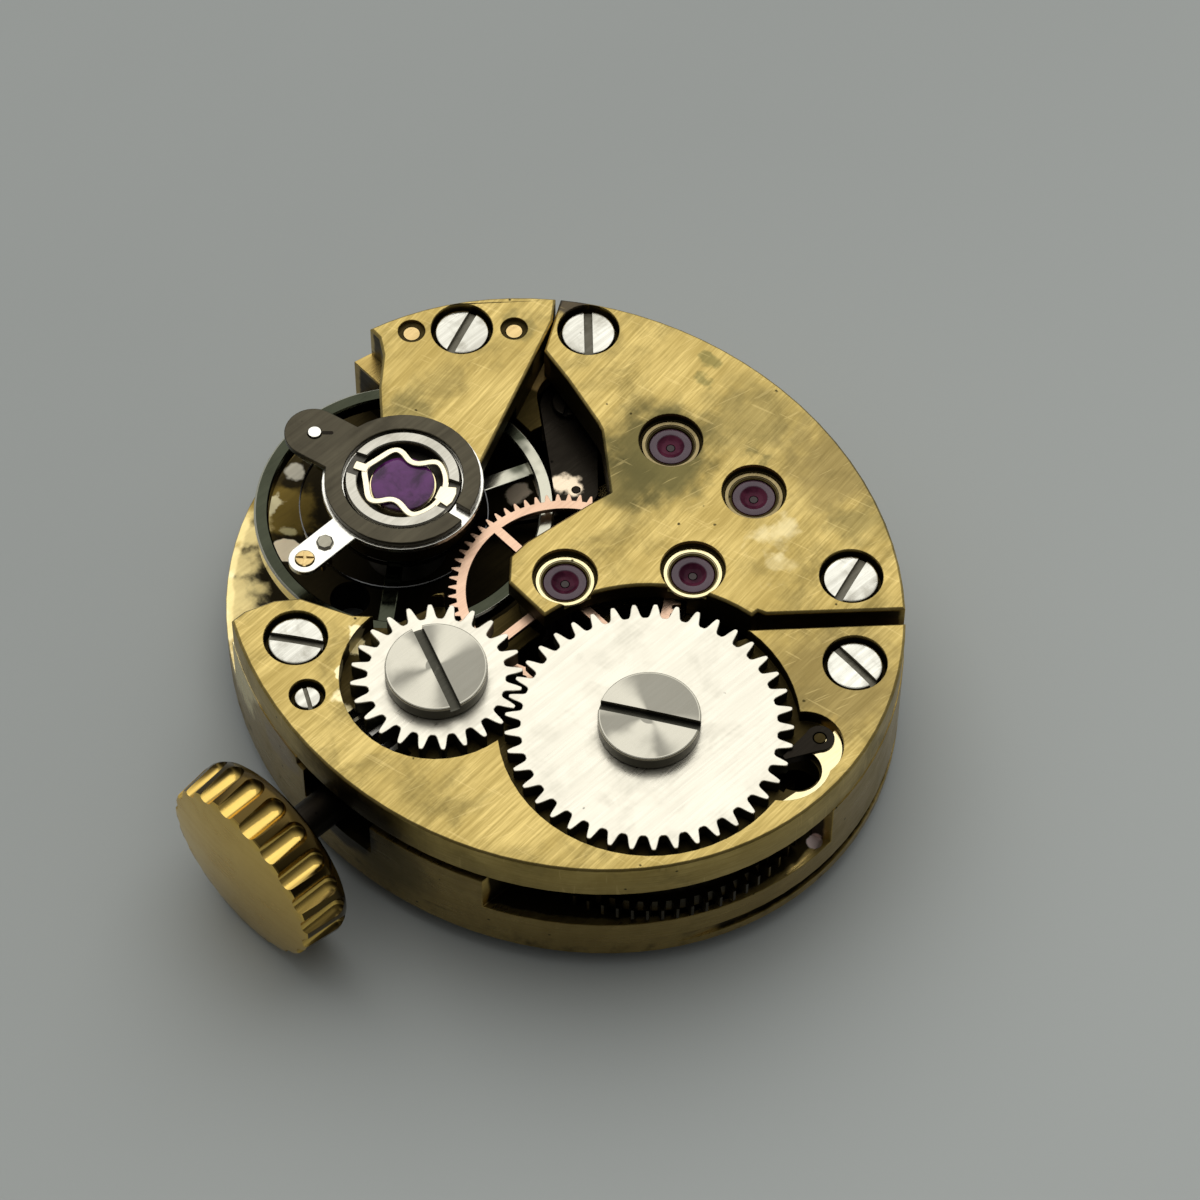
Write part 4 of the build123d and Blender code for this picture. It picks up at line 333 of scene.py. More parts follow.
    def spun(self, degrees: float) -> "Blank":
        """Turn the solid about Z and return it."""
        turn = Matrix.Rotation(math.radians(degrees), 3, "Z")
        bmesh.ops.rotate(self.mesh, verts=self.mesh.verts, cent=(0, 0, 0), matrix=turn)
        return self

    def laid_along_x(self, start: float, height: float) -> "Blank":
        """Lay a solid made along Z on the stem's axis.

        Args:
            start: Place of its base along X.
            height: Height of the axis.

        Returns:
            This solid.
        """
        turn = Matrix.Rotation(math.radians(90), 3, "Y")
        bmesh.ops.rotate(self.mesh, verts=self.mesh.verts, cent=(0, 0, 0), matrix=turn)
        return self.moved((start, 0, height))

    def turned_over(self, span: float) -> "Blank":
        """Mirror the solid so that heights run down from a span, and return it."""
        bmesh.ops.scale(self.mesh, vec=(1, 1, -1), verts=self.mesh.verts)
        bmesh.ops.reverse_faces(self.mesh, faces=self.mesh.faces)
        return self.moved((0, 0, span))

    def joined(self, *others: "Blank") -> "Blank":
        """Add other solids beside this one.

        Args:
            others: Solids that are used up.

        Returns:
            This solid.
        """
        for other in others:
            data = bpy.data.meshes.new("joined")
            other.mesh.to_mesh(data)
            other.mesh.free()
            self.mesh.from_mesh(data)
            bpy.data.meshes.remove(data)
        return self

    def carved(self, *cutters: "Blank") -> "Blank":
        """Cut other solids out of this one.

        Args:
            cutters: Solids to take away. They are used up.

        Returns:
            The solid with the cuts.
        """
        holders = [self._holder("blank")] + [cutter._holder("cutter") for cutter in cutters]
        target = holders[0]
        for tool in holders[1:]:
            cut = target.modifiers.new("cut", "BOOLEAN")
            cut.operation = "DIFFERENCE"
            cut.solver = "EXACT"
            cut.object = tool
        result = Blank._evaluated(target)
        for holder in holders:
            data = holder.data
            bpy.data.objects.remove(holder)
            bpy.data.meshes.remove(data)
        bmesh.ops.remove_doubles(result.mesh, verts=result.mesh.verts, dist=0.0003)
        bmesh.ops.dissolve_degenerate(result.mesh, edges=result.mesh.edges, dist=0.0003)
        return result

    def _holder(self, name: str) -> bpy.types.Object:
        """Put the mesh in an object for a moment and free the bmesh.

        Args:
            name: The object's name.

        Returns:
            The object.
        """
        data = bpy.data.meshes.new(name)
        self.mesh.to_mesh(data)
        self.mesh.free()
        holder = bpy.data.objects.new(name, data)
        bpy.context.scene.collection.objects.link(holder)
        return holder

    def softened(self, width: float, segments: int = 2, above: float = 50.0, clamp: bool = True) -> "Blank":
        """Bevel the sharp edges.

        Args:
            width: Bevel width in millimetres.
            segments: Faces across the bevel.
            above: Least angle in degrees of an edge that is bevelled.
            clamp: Whether the width is limited by the smallest neighbour.

        Returns:
            This solid.
        """
        limit = math.radians(above)
        sharp = [edge for edge in self.mesh.edges
                 if edge.is_manifold and edge.calc_face_angle(0.0) > limit]
        bmesh.ops.bevel(self.mesh, geom=sharp, offset=width, segments=segments, profile=0.5, affect="EDGES",
                        material=-1, clamp_overlap=clamp)
        return self

    def piece(self, name: str, body: str, material: bpy.types.Material, nodes: Sequence[str] = (),
              slot: str = "") -> bpy.types.Object:
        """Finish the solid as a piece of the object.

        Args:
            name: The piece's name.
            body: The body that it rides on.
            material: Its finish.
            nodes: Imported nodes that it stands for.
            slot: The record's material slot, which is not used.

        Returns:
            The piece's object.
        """
        bmesh.ops.scale(self.mesh, vec=(MM,) * 3, verts=self.mesh.verts)
        data = bpy.data.meshes.new(name)
        self.mesh.to_mesh(data)
        self.mesh.free()
        data.polygons.foreach_set("use_smooth", [True] * len(data.polygons))
        data.set_sharp_from_angle(angle=SMOOTH_LIMIT)
        data.materials.append(material)
        made = bpy.data.objects.new(name, data)
        bpy.context.scene.collection.objects.link(made)
        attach(made, body)
        if nodes:
            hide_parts(*nodes)
        LOG.info("piece %s rides on %s with %d faces", name, body, len(data.polygons))
        return made


@dataclass(frozen=True)
class Toothing:
    """The teeth of one wheel.

    Attributes:
        teeth: Tooth count.
        tip: Tip radius.
        root: Root radius.
        half_widths: Pairs of height share and half width share of a flank, root to tip.
    """

    teeth: int
    tip: float
    root: float
    half_widths: tuple[Point, ...] = ((0.0, 0.80), (0.06, 0.66), (0.16, 0.56), (0.35, 0.47), (0.6, 0.37),
                                      (0.82, 0.27), (0.95, 0.19), (1.0, 0.10))

    def one_tooth(self) -> list[Point]:
        """List the corners of one tooth, from gap middle to gap middle.

        Returns:
            Places about the origin, the tooth pointing along +X.
        """
        half_pitch = 180 / self.teeth
        depth = self.tip - self.root
        rising = [(self.root + depth * high, -wide) for high, wide in self.half_widths]
        falling = [(radius, -wide) for radius, wide in reversed(rising)]
        corners = [(self.root, -1.0)] + rising + falling + [(self.root, 1.0)]
        return [polar((0, 0), radius, wide * half_pitch) for radius, wide in corners]


class Graph:
    """Adds and joins the nodes of one shader tree."""

    def __init__(self, tree: bpy.types.NodeTree) -> None:
        """Keep a material's tree or a node group."""
        self.tree = tree

    def add(self, kind: str, feeds: Optional[dict[Union[str, int], Feed]] = None,
            **settings: object) -> bpy.types.Node:
        """Add one node.

        Args:
            kind: The node's type.
            feeds: Values or sockets for its inputs.
            settings: Its properties.

        Returns:
            The node.
        """
        node = self.tree.nodes.new(kind)
        for key, value in settings.items():
            setattr(node, key, value)
        for key, value in (feeds or {}).items():
            self.feed(node.inputs[key], value)
        return node

    def feed(self, socket: bpy.types.NodeSocket, value: Feed) -> None:
        """Join a socket to an input, or set its value."""
        if isinstance(value, bpy.types.NodeSocket):
            self.tree.links.new(value, socket)
        else:
            socket.default_value = value

    def maths(self, operation: str, first: Feed, second: Feed = 0.0, third: Feed = 0.0,
              clamp: bool = False) -> bpy.types.NodeSocket:
        """Add one operation on up to three values and return its socket."""
        feeds = {0: first, 1: second, 2: third}
        return self.add("ShaderNodeMath", feeds, operation=operation, use_clamp=clamp).outputs[0]

    def vector(self, operation: str, first: Feed, second: Feed = (0.0, 0.0, 0.0)) -> bpy.types.NodeSocket:
        """Add a sum of two vectors.

        Args:
            operation: The node's operation.
            first: First vector.
            second: Second vector.

        Returns:
            The result's socket, which is a value for a distance, a length or a dot product.
        """
        node = self.add("ShaderNodeVectorMath", {0: first, 1: second}, operation=operation)
        single = operation in ("DISTANCE", "LENGTH", "DOT_PRODUCT")
        return node.outputs["Value" if single else "Vector"]

    def split(self, vector: Feed) -> tuple[bpy.types.NodeSocket, ...]:
        """Part a vector and return the sockets of X, Y and Z."""
        return tuple(self.add("ShaderNodeSeparateXYZ", {0: vector}).outputs)

    def noise(self, place: Feed, scale: Feed, detail: float, roughness: float = 0.5,
              distortion: float = 0.0) -> bpy.types.NodeSocket:
        """Add cloudy noise of so many clouds for each unit of the place and return its socket."""
        return self.add("ShaderNodeTexNoise", {
            "Vector": place, "Scale": scale, "Detail": detail, "Roughness": roughness,
            "Distortion": distortion}).outputs[0]

    def wobble(self, place: Feed, scale: float, detail: float, amount: Feed) -> bpy.types.NodeSocket:
        """Add noise that swings about zero by half an amount and return its socket."""
        return self.maths("MULTIPLY", self.maths("SUBTRACT", self.noise(place, scale, detail), 0.5), amount)

    def upright(self) -> bpy.types.NodeSocket:
        """Find how far the surface looks up or down and return its socket."""
        normal = self.add("ShaderNodeNewGeometry").outputs["Normal"]
        return self.maths("ABSOLUTE", self.split(normal)[2])

    def group(self, tree: bpy.types.NodeTree, **feeds: Feed) -> bpy.types.Node:
        """Place a shared group with its own values and return its node."""
        return self.add("ShaderNodeGroup", feeds, node_tree=tree)

    def blend(self, factor: Feed, first: Feed, second: Feed) -> bpy.types.NodeSocket:
        """Mix two colours.

        Args:
            factor: Share of the second.
            first: First colour.
            second: Second colour.

        Returns:
            The mixed colour's socket.
        """
        node = self.add("ShaderNodeMix", data_type="RGBA")
        self.feed(node.inputs[0], factor)
        self.feed(node.inputs[6], first)
        self.feed(node.inputs[7], second)
        return node.outputs[2]

    def ramp(self, value: Feed, low: Feed, high: Feed) -> bpy.types.NodeSocket:
        """Spread a value smoothly from 0 at low to 1 at high and return its socket."""
        feeds = {0: value, 1: low, 2: high}
        return self.add("ShaderNodeMapRange", feeds, interpolation_type="SMOOTHSTEP").outputs[0]


def opaque(colour: Colour) -> tuple[float, float, float, float]:
    """Add full alpha to a colour."""
    return (*colour, 1.0)


def open_material(name: str) -> tuple[bpy.types.Material, Graph, bpy.types.NodeSocket]:
    """Start a material's nodes.

    Args:
        name: The material's name.

    Returns:
        The material, its graph and the place on the surface.
    """
    made = bpy.data.materials.new(name)
    made.use_nodes = True
    made.node_tree.nodes.clear()
    graph = Graph(made.node_tree)
    return made, graph, graph.add("ShaderNodeTexCoord").outputs["Object"]


def close_material(graph: Graph, feeds: dict[Union[str, int], Feed]) -> None:
    """Add the shader with its feeds and join it to the surface."""
    shader = graph.add("ShaderNodeBsdfPrincipled", feeds)
    graph.add("ShaderNodeOutputMaterial", {"Surface": shader.outputs[0]})


class Effects:
    """The node groups that several finishes share, each made once."""

    @staticmethod
    def _start(name: str, inputs: Sequence[str],
               outputs: Sequence[str] = ("Mask",)) -> tuple[Graph, dict, dict]:
        """Open a new group.

        Args:
            name: The group's name.
            inputs: Names of its inputs.
            outputs: Names of its value outputs.

        Returns:
            The graph, the input sockets and the output sockets.
        """
        tree = bpy.data.node_groups.new(name, "ShaderNodeTree")
        for socket in inputs:
            kind = "NodeSocketVector" if socket in ("Vector", "Place", "Centre") else "NodeSocketFloat"
            tree.interface.new_socket(name=socket, in_out="INPUT", socket_type=kind)
        for socket in outputs:
            tree.interface.new_socket(name=socket, in_out="OUTPUT", socket_type="NodeSocketFloat")
        graph = Graph(tree)
        given = graph.add("NodeGroupInput").outputs
        out = graph.add("NodeGroupOutput").inputs
        return graph, {socket.name: socket for socket in given}, {socket.name: socket for socket in out}

    @staticmethod
    def _in_millimetres(graph: Graph, vector: Feed, turn: Feed = 0.0) -> bpy.types.NodeSocket:
        """Scale a place to millimetres and turn it about Z.

        Args:
            graph: The group's graph.
            vector: The place in metres.
            turn: The turn in radians.

        Returns:
            The place's socket.
        """
        scaled = graph.vector("MULTIPLY", vector, (1 / MM,) * 3)
        feeds = {"Vector": scaled, "Angle": turn}
        return graph.add("ShaderNodeVectorRotate", feeds, rotation_type="Z_AXIS").outputs[0]

    @classmethod
    @cache
    def grain(cls) -> bpy.types.NodeTree:
        """Brushed lines along X on flat faces and along the edge on side faces."""
        graph, given, out = cls._start("brush_grain", ("Vector", "Turn", "Fineness"),
                                       ("Lines", "Broad", "Streaks"))
        place = cls._in_millimetres(graph, given["Vector"], given["Turn"])
        flat = graph.maths("GREATER_THAN", graph.upright(), 0.5)
        streaks = graph.noise(graph.vector("MULTIPLY", place, (0.55, 4.5, 2.0)), 1.0, 5.0, 0.6)
        graph.feed(out["Streaks"], graph.ramp(streaks, 0.40, 0.66))
        layers = []
        for stretch in ((0.035, 1.0, 0.2), (0.05, 0.05, 1.0)):
            feeds = {0: graph.vector("MULTIPLY", place, stretch), "Scale": given["Fineness"]}
            finer = graph.add("ShaderNodeVectorMath", feeds, operation="SCALE").outputs[0]
            layers.append(graph.noise(finer, 1.0, 3.0, 0.65))
        mixed = graph.add("ShaderNodeMix", {0: flat, 2: layers[1], 3: layers[0]}, data_type="FLOAT")
        graph.feed(out["Lines"], graph.ramp(mixed.outputs[0], 0.28, 0.72))
        graph.feed(out["Broad"], graph.noise(place, 0.55, 2.0))
        return graph.tree

    @classmethod
    @cache
    def stain(cls) -> bpy.types.NodeTree:
        """Cloudy patches of tarnish."""
        graph, given, out = cls._start("tarnish", ("Vector", "Scale", "Low", "High"))
        place = cls._in_millimetres(graph, given["Vector"])
        cloud = graph.noise(place, given["Scale"], 6.0, 0.62, 0.4)
        graph.feed(out["Mask"], graph.ramp(cloud, given["Low"], given["High"]))
        return graph.tree

    @classmethod
    @cache
    def specks(cls) -> bpy.types.NodeTree:
        """Small scattered spots and pits."""
        graph, given, out = cls._start("specks", ("Vector", "Scale", "Size", "Share"))
        place = cls._in_millimetres(graph, given["Vector"], 0.3)
        cells = graph.add("ShaderNodeTexVoronoi", {"Vector": place, "Scale": given["Scale"]}, feature="F1")
        chance = graph.add("ShaderNodeSeparateColor", {0: cells.outputs["Color"]}).outputs[0]
        chosen = graph.maths("LESS_THAN", chance, given["Share"])
        uneven = graph.maths("MULTIPLY", graph.noise(place, 22.0, 2.0), given["Size"])
        reach = graph.maths("ADD", cells.outputs["Distance"], uneven)
        far, near = (graph.maths("MULTIPLY", given["Size"], share) for share in (1.6, 0.9))
        graph.feed(out["Mask"], graph.maths("MULTIPLY", graph.ramp(reach, far, near), chosen))
        return graph.tree

    @classmethod
    @cache
    def scratches(cls) -> bpy.types.NodeTree:
        """Fine straight scratches in two directions."""
        graph, given, out = cls._start("scratches", ("Vector", "Turn", "Low"))
        masks = []
        for extra, stretch in ((0.0, (1.1, 16.0, 1.0)), (1.05, (0.9, 13.0, 1.0))):
            place = cls._in_millimetres(graph, given["Vector"], graph.maths("ADD", given["Turn"], extra))
            noise = graph.noise(graph.vector("MULTIPLY", place, stretch), 1.0, 1.5)
            masks.append(graph.ramp(noise, given["Low"], graph.maths("ADD", given["Low"], 0.05)))
        graph.feed(out["Mask"], graph.maths("MAXIMUM", *masks))
        return graph.tree

    @classmethod
    @cache
    def patch(cls) -> bpy.types.NodeTree:
        """One ragged round patch about a place."""
        graph, given, out = cls._start("patch", ("Vector", "Place", "Radius", "Edge", "Ragged"))
        place = cls._in_millimetres(graph, given["Vector"])
        apart = graph.vector("DISTANCE", place, given["Place"])
        ragged = graph.maths("ADD", apart, graph.wobble(place, 2.4, 5.0, given["Ragged"]))
        near = graph.maths("MULTIPLY", given["Radius"], given["Edge"])
        graph.feed(out["Mask"], graph.ramp(ragged, given["Radius"], near))
        return graph.tree

    @classmethod
    @cache
    def hollow(cls) -> bpy.types.NodeTree:
        """Painted shade, with some grime, below a level, inside an oval like the plate's or inside a disc."""
        graph, given, out = cls._start("hollow", ("Vector", "Level", "Soft", "Reach", "Centre", "Radius"))
        place = cls._in_millimetres(graph, given["Vector"])
        across, along, height = graph.split(place)
        rough = graph.wobble(place, 2.2, 4.0, 0.03)
        wide = graph.maths("DIVIDE", across, OVAL[0])
        long = graph.maths("DIVIDE", graph.maths("SUBTRACT", along, OVAL[2]), OVAL[1])
        flat = graph.add("ShaderNodeCombineXYZ", {0: wide, 1: long, 2: 0.0}).outputs[0]
        reach = graph.maths("ADD", graph.vector("LENGTH", flat), rough)
        oval = graph.ramp(reach, given["Reach"], graph.maths("SUBTRACT", given["Reach"], 0.012))
        apart = graph.vector("DISTANCE", graph.vector("MULTIPLY", place, (1, 1, 0)), given["Centre"])
        apart = graph.maths("ADD", apart, graph.maths("MULTIPLY", rough, 2.0))
        disc = graph.ramp(apart, given["Radius"], graph.maths("SUBTRACT", given["Radius"], 0.06))
        bottom = graph.maths("SUBTRACT", given["Level"], given["Soft"])
        below = graph.ramp(height, given["Level"], bottom)
        graph.feed(out["Mask"], graph.maths("MULTIPLY", graph.maths("MAXIMUM", oval, disc), below))
        return graph.tree

    @classmethod
    @cache
    def sector(cls) -> bpy.types.NodeTree:
        """Fans of light round an axis, within a band of radii."""
        graph, given, out = cls._start("sector", ("Vector", "Centre", "Turn", "Folds", "Low", "High",
                                                  "Inner", "Outer"))
        place = cls._in_millimetres(graph, given["Vector"])
        offset = graph.vector("SUBTRACT", graph.vector("MULTIPLY", place, (1, 1, 0)), given["Centre"])
        across, along, _ = graph.split(offset)
        angle = graph.maths("SUBTRACT", graph.maths("ARCTAN2", along, across), given["Turn"])
        wave = graph.maths("COSINE", graph.maths("MULTIPLY", angle, given["Folds"]))
        wave = graph.maths("ADD", wave, graph.wobble(place, 1.6, 2.0, 0.5))
        around = graph.ramp(wave, given["Low"], given["High"])
        reach = graph.vector("LENGTH", offset)
        past = graph.ramp(reach, given["Inner"], graph.maths("ADD", given["Inner"], 0.02))
        short = graph.ramp(reach, graph.maths("ADD", given["Outer"], 0.02), given["Outer"])
        graph.feed(out["Mask"], graph.maths("MULTIPLY", around, graph.maths("MULTIPLY", past, short)))
        return graph.tree

    @classmethod
    @cache
    def ridges(cls) -> bpy.types.NodeTree:
        """Painted shade on the lands, the flute walls and the back of a fluted piece that lies along X."""
        graph, given, out = cls._start("ridges", ("Vector", "Height", "Valley", "Back"))
        across, along, height = graph.split(cls._in_millimetres(graph, given["Vector"]))
        rise = graph.maths("SUBTRACT", height, given["Height"])
        spoke = graph.add("ShaderNodeCombineXYZ", {0: 0.0, 1: along, 2: rise}).outputs[0]
        normal = graph.add("ShaderNodeVectorTransform",
                           {0: graph.add("ShaderNodeNewGeometry").outputs["Normal"]},
                           vector_type="NORMAL", convert_from="WORLD", convert_to="OBJECT").outputs[0]
        facing = graph.vector("DOT_PRODUCT", graph.vector("NORMALIZE", spoke), normal)
        top = graph.maths("ADD", given["Valley"], 0.04)
        above = graph.ramp(graph.vector("LENGTH", spoke), given["Valley"], top)
        land = graph.maths("MULTIPLY", above, graph.ramp(facing, 0.80, 0.91))
        endways = graph.maths("ABSOLUTE", graph.split(normal)[0])
        wall = graph.maths("MULTIPLY", graph.ramp(facing, 0.80, 0.45), graph.ramp(endways, 0.6, 0.3))
        back = graph.ramp(across, graph.maths("SUBTRACT", given["Back"], 0.10), given["Back"])
        graph.feed(out["Mask"], graph.maths("MAXIMUM", wall, graph.maths("MAXIMUM", land, back)))
        return graph.tree


@dataclass(frozen=True)
class Hollow:
    """Where painted shade and some dirt gather on a piece.

    Attributes:
        level: Height in millimetres under which the piece takes painted shade.
        reach: Size of the oval inside which it is dark, as a share of the plate's.
        strength: How far it takes the painted shade's colour.
        colour: The painted shade's colour.
        soft: Height over which the dark begins.
        disc: Middle and radius of a round place that is dark as well.
    """

    level: float
    reach: float = 9.0
    strength: float = 0.9
    colour: Colour = (0.020, 0.014, 0.005)
    soft: float = 0.05
    disc: Place = (0.0, 0.0, -1.0)


@dataclass(frozen=True)
class Patch:
    """A round place of another tone, used for stains, for painted shade and for painted highlights.

    Attributes:
        place: Its middle in millimetres.
        radius: Its reach.
        strength: How far it takes its colour.
        colour: Its colour.
        edge: Share of the radius where it is full.
        ragged: How torn its outline is, in millimetres.
    """

    place: Place
    radius: float
    strength: float
    colour: Colour = (0.15, 0.125, 0.045)
    edge: float = 0.25
    ragged: float = 1.6


@dataclass(frozen=True)
class Sector:
    """A fan of painted highlight round an axis.

    Attributes:
        place: The axis in the plan.
        colour: The fan's colour.
        turn: Its direction in degrees.
        folds: How many times it repeats.
        low: Cosine where it begins.
        high: Cosine where it is full.
        inner: Radius where it begins.
        outer: Radius where it ends.
        strength: How far it takes its colour.
    """

    place: Point
    # colour: The painted highlight's colour.
    colour: Colour
    turn: float = 0.0
    folds: int = 2
    low: float = -0.5
    high: float = 0.9
    inner: float = -1.0
    outer: float = 9.0
    strength: float = 1.0


@dataclass(frozen=True)
class Ridges:
    """Painted shade on the lands, flute walls and back of a fluted piece.

    Attributes:
        height: Height of its axis.
        valley: Radius above which the lands take painted shade.
        back: Place along X where its back takes painted shade.
        colour: The painted shade's colour.
        strength: How far it takes that colour.
    """

    height: float
    valley: float
    back: float
    colour: Colour
    strength: float


@dataclass(frozen=True)
class Metal:
    """A metal finish with grain, tarnish, specks and scratches, and with painted shade and painted
    highlights.

    Attributes:
        name: The material's name.
        colour: Colour of clean metal.
        shade: Colour in the grain's valleys.
        roughness: Its mean roughness.
        side: Share by which side faces take the shade colour, as painted shade.
        turn: Direction of the grain in degrees.
        fineness: Grain lines for each millimetre.
        lines: Strength of the grain in the colour.
        relief: Height of the grain in millimetres.
        rough_spread: How far the grain changes the roughness.
        stain: Colour of tarnish.
        stain_amount: Strength of the cloudy tarnish.
        stain_scale: Size of the clouds, as patches for each millimetre.
        speck_share: Share of the cells that hold a speck.
        speck_size: Size of a speck as a share of its cell.
        speck_scale: Cells for each millimetre.
        scratch: Strength of the scratches.
        patches: Tarnished places, and places of painted shade and painted highlight.
        hollows: Where the piece takes painted shade, with some dirt.
        sectors: Fans of painted highlight.
        glints: Painted highlights and painted light on shaded walls, laid over the painted shade.
        ridges: Painted shade on the ridges of a fluted piece.
        fresh: Strength of the bright fresh scratches.
    """

    name: str
    colour: Colour
    shade: Colour
    roughness: float
    side: float = 0.0
    turn: float = 0.0
    fineness: float = 22.0
    lines: float = 0.3
    relief: float = 0.0012
    rough_spread: float = 0.1
    stain: Colour = (0.10, 0.075, 0.03)
    stain_amount: float = 0.2
    stain_scale: float = 0.8
    speck_share: float = 0.12
    speck_size: float = 0.12
    speck_scale: float = 3.0
    scratch: float = 0.3
    patches: tuple[Patch, ...] = ()
    hollows: tuple[Hollow, ...] = ()
    sectors: tuple[Sector, ...] = ()
    glints: tuple[Patch, ...] = ()
    ridges: Optional[Ridges] = None
    fresh: float = 0.0

    def material(self) -> bpy.types.Material:
        """Build the finish's nodes.

        Returns:
            The material.
        """
        made, graph, place = open_material(self.name)
        turn = math.radians(self.turn)
        grain = graph.group(Effects.grain(), Vector=place, Turn=turn, Fineness=self.fineness)
        stain = graph.group(Effects.stain(), Vector=place, Scale=self.stain_scale, Low=0.45,
                            High=0.75).outputs[0]
        speck = graph.group(Effects.specks(), Vector=place, Scale=self.speck_scale, Size=self.speck_size,
                            Share=self.speck_share).outputs[0]
        marks = graph.group(Effects.scratches(), Vector=place, Turn=turn + 0.35, Low=0.66).outputs[0]
        colour = self._colour(graph, place, grain, stain, speck)
        bright = tuple(min(1.0, channel * 1.35 + 0.08) for channel in self.colour)
        colour = graph.blend(graph.maths("MULTIPLY", marks, self.fresh), colour, opaque(bright))
        # The painted highlight fans, the painted shade and the painted glints go on here.
        colour, deep = self._tones(graph, place, colour)
        lines = grain.outputs["Lines"]
        least = self.roughness - self.rough_spread / 2
        dull = graph.maths("MULTIPLY_ADD", lines, self.rough_spread, least)
        spoiled = graph.maths("ADD", graph.maths("ADD", stain, speck), graph.maths("MULTIPLY", deep, 1.5))
        worn = graph.maths("ADD", dull, graph.maths("MULTIPLY", spoiled, 0.12), clamp=True)
        height = graph.maths("SUBTRACT", lines, graph.maths("MULTIPLY", marks, self.scratch * 2))
        bump = graph.add("ShaderNodeBump", {"Strength": 1.0, "Distance": self.relief * MM, "Height": height})
        close_material(graph, {"Base Color": colour, "Metallic": 1.0, "Roughness": worn,
                               "Normal": bump.outputs[0]})
        return made

    def _tones(self, graph: Graph, place: bpy.types.NodeSocket,
               colour: bpy.types.NodeSocket) -> tuple[bpy.types.NodeSocket, Feed]:
        """Lay the painted highlight fans, the painted shade of the hollows and the ridges, and the painted
        glints over the colour.

        Args:
            graph: The material's graph.
            place: The place on the surface.
            colour: The colour so far.

        Returns:
            The colour's socket and the mask of the painted shade.
        """
        for fan in self.sectors:
            mask = graph.group(Effects.sector(), Vector=place, Centre=(*fan.place, 0.0),
                               Turn=math.radians(fan.turn), Folds=fan.folds, Low=fan.low, High=fan.high,
                               Inner=fan.inner, Outer=fan.outer).outputs[0]
            colour = graph.blend(graph.maths("MULTIPLY", mask, fan.strength), colour, opaque(fan.colour))
        deep: Feed = 0.0
        for hollow in self.hollows:
            node = graph.group(Effects.hollow(), Vector=place, Level=hollow.level, Soft=hollow.soft,
                               Reach=hollow.reach, Centre=(*hollow.disc[:2], 0.0), Radius=hollow.disc[2])
            mask = graph.maths("MULTIPLY", node.outputs[0], hollow.strength)
            colour = graph.blend(mask, colour, opaque(hollow.colour))
            deep = graph.maths("MAXIMUM", deep, mask)
        if self.ridges:
            ridges = self.ridges
            mask = graph.group(Effects.ridges(), Vector=place, Height=ridges.height, Valley=ridges.valley,
                               Back=ridges.back).outputs[0]
            mask = graph.maths("MULTIPLY", mask, ridges.strength)
            colour = graph.blend(mask, colour, opaque(ridges.colour))
        for glint in self.glints:
            colour = self._patched(graph, place, colour, glint)
        return colour, deep

    def _patched(self, graph: Graph, place: bpy.types.NodeSocket, colour: bpy.types.NodeSocket,
                 patch: Patch) -> bpy.types.NodeSocket:
        """Lay one patch over the colour so far and return the colour."""
        mask = graph.group(Effects.patch(), Vector=place, Place=patch.place, Radius=patch.radius,
                           Edge=patch.edge, Ragged=patch.ragged).outputs[0]
        return graph.blend(graph.maths("MULTIPLY", mask, patch.strength), colour, opaque(patch.colour))

    def _colour(self, graph: Graph, place: bpy.types.NodeSocket, grain: bpy.types.Node,
                stain: bpy.types.NodeSocket, speck: bpy.types.NodeSocket) -> bpy.types.NodeSocket:
        """Lay grain, painted shade on side faces, tarnish, patches of tarnish and painted light, and specks
        over the clean colour.

        Args:
            graph: The material's graph.
            place: The place on the surface.
            grain: The grain's node.
            stain: Mask of the cloudy tarnish.
            speck: Mask of the specks.

        Returns:
            The colour's socket.
        """
        valleys = graph.maths("MULTIPLY", grain.outputs["Lines"], self.lines)
        colour = graph.blend(valleys, opaque(self.colour), opaque(self.shade))
        broad = graph.ramp(grain.outputs["Broad"], 0.35, 0.7)
        colour = graph.blend(graph.maths("MULTIPLY", broad, self.lines * 0.7), colour, opaque(self.shade))
        streaks = graph.maths("MULTIPLY", grain.outputs["Streaks"], self.lines * 0.75)
        colour = graph.blend(streaks, colour, opaque(self.shade))
        # Painted shade: side faces take the darker colour as they turn from upright.
        if self.side:
            edge = graph.maths("MULTIPLY", graph.ramp(graph.upright(), 0.6, 0.2), self.side)
            colour = graph.blend(edge, colour, opaque(self.shade))
        colour = graph.blend(graph.maths("MULTIPLY", stain, self.stain_amount), colour, opaque(self.stain))
        for patch in self.patches:
            colour = self._patched(graph, place, colour, patch)
        dark = tuple(channel * 0.35 for channel in self.stain)
        return graph.blend(speck, colour, opaque(dark))


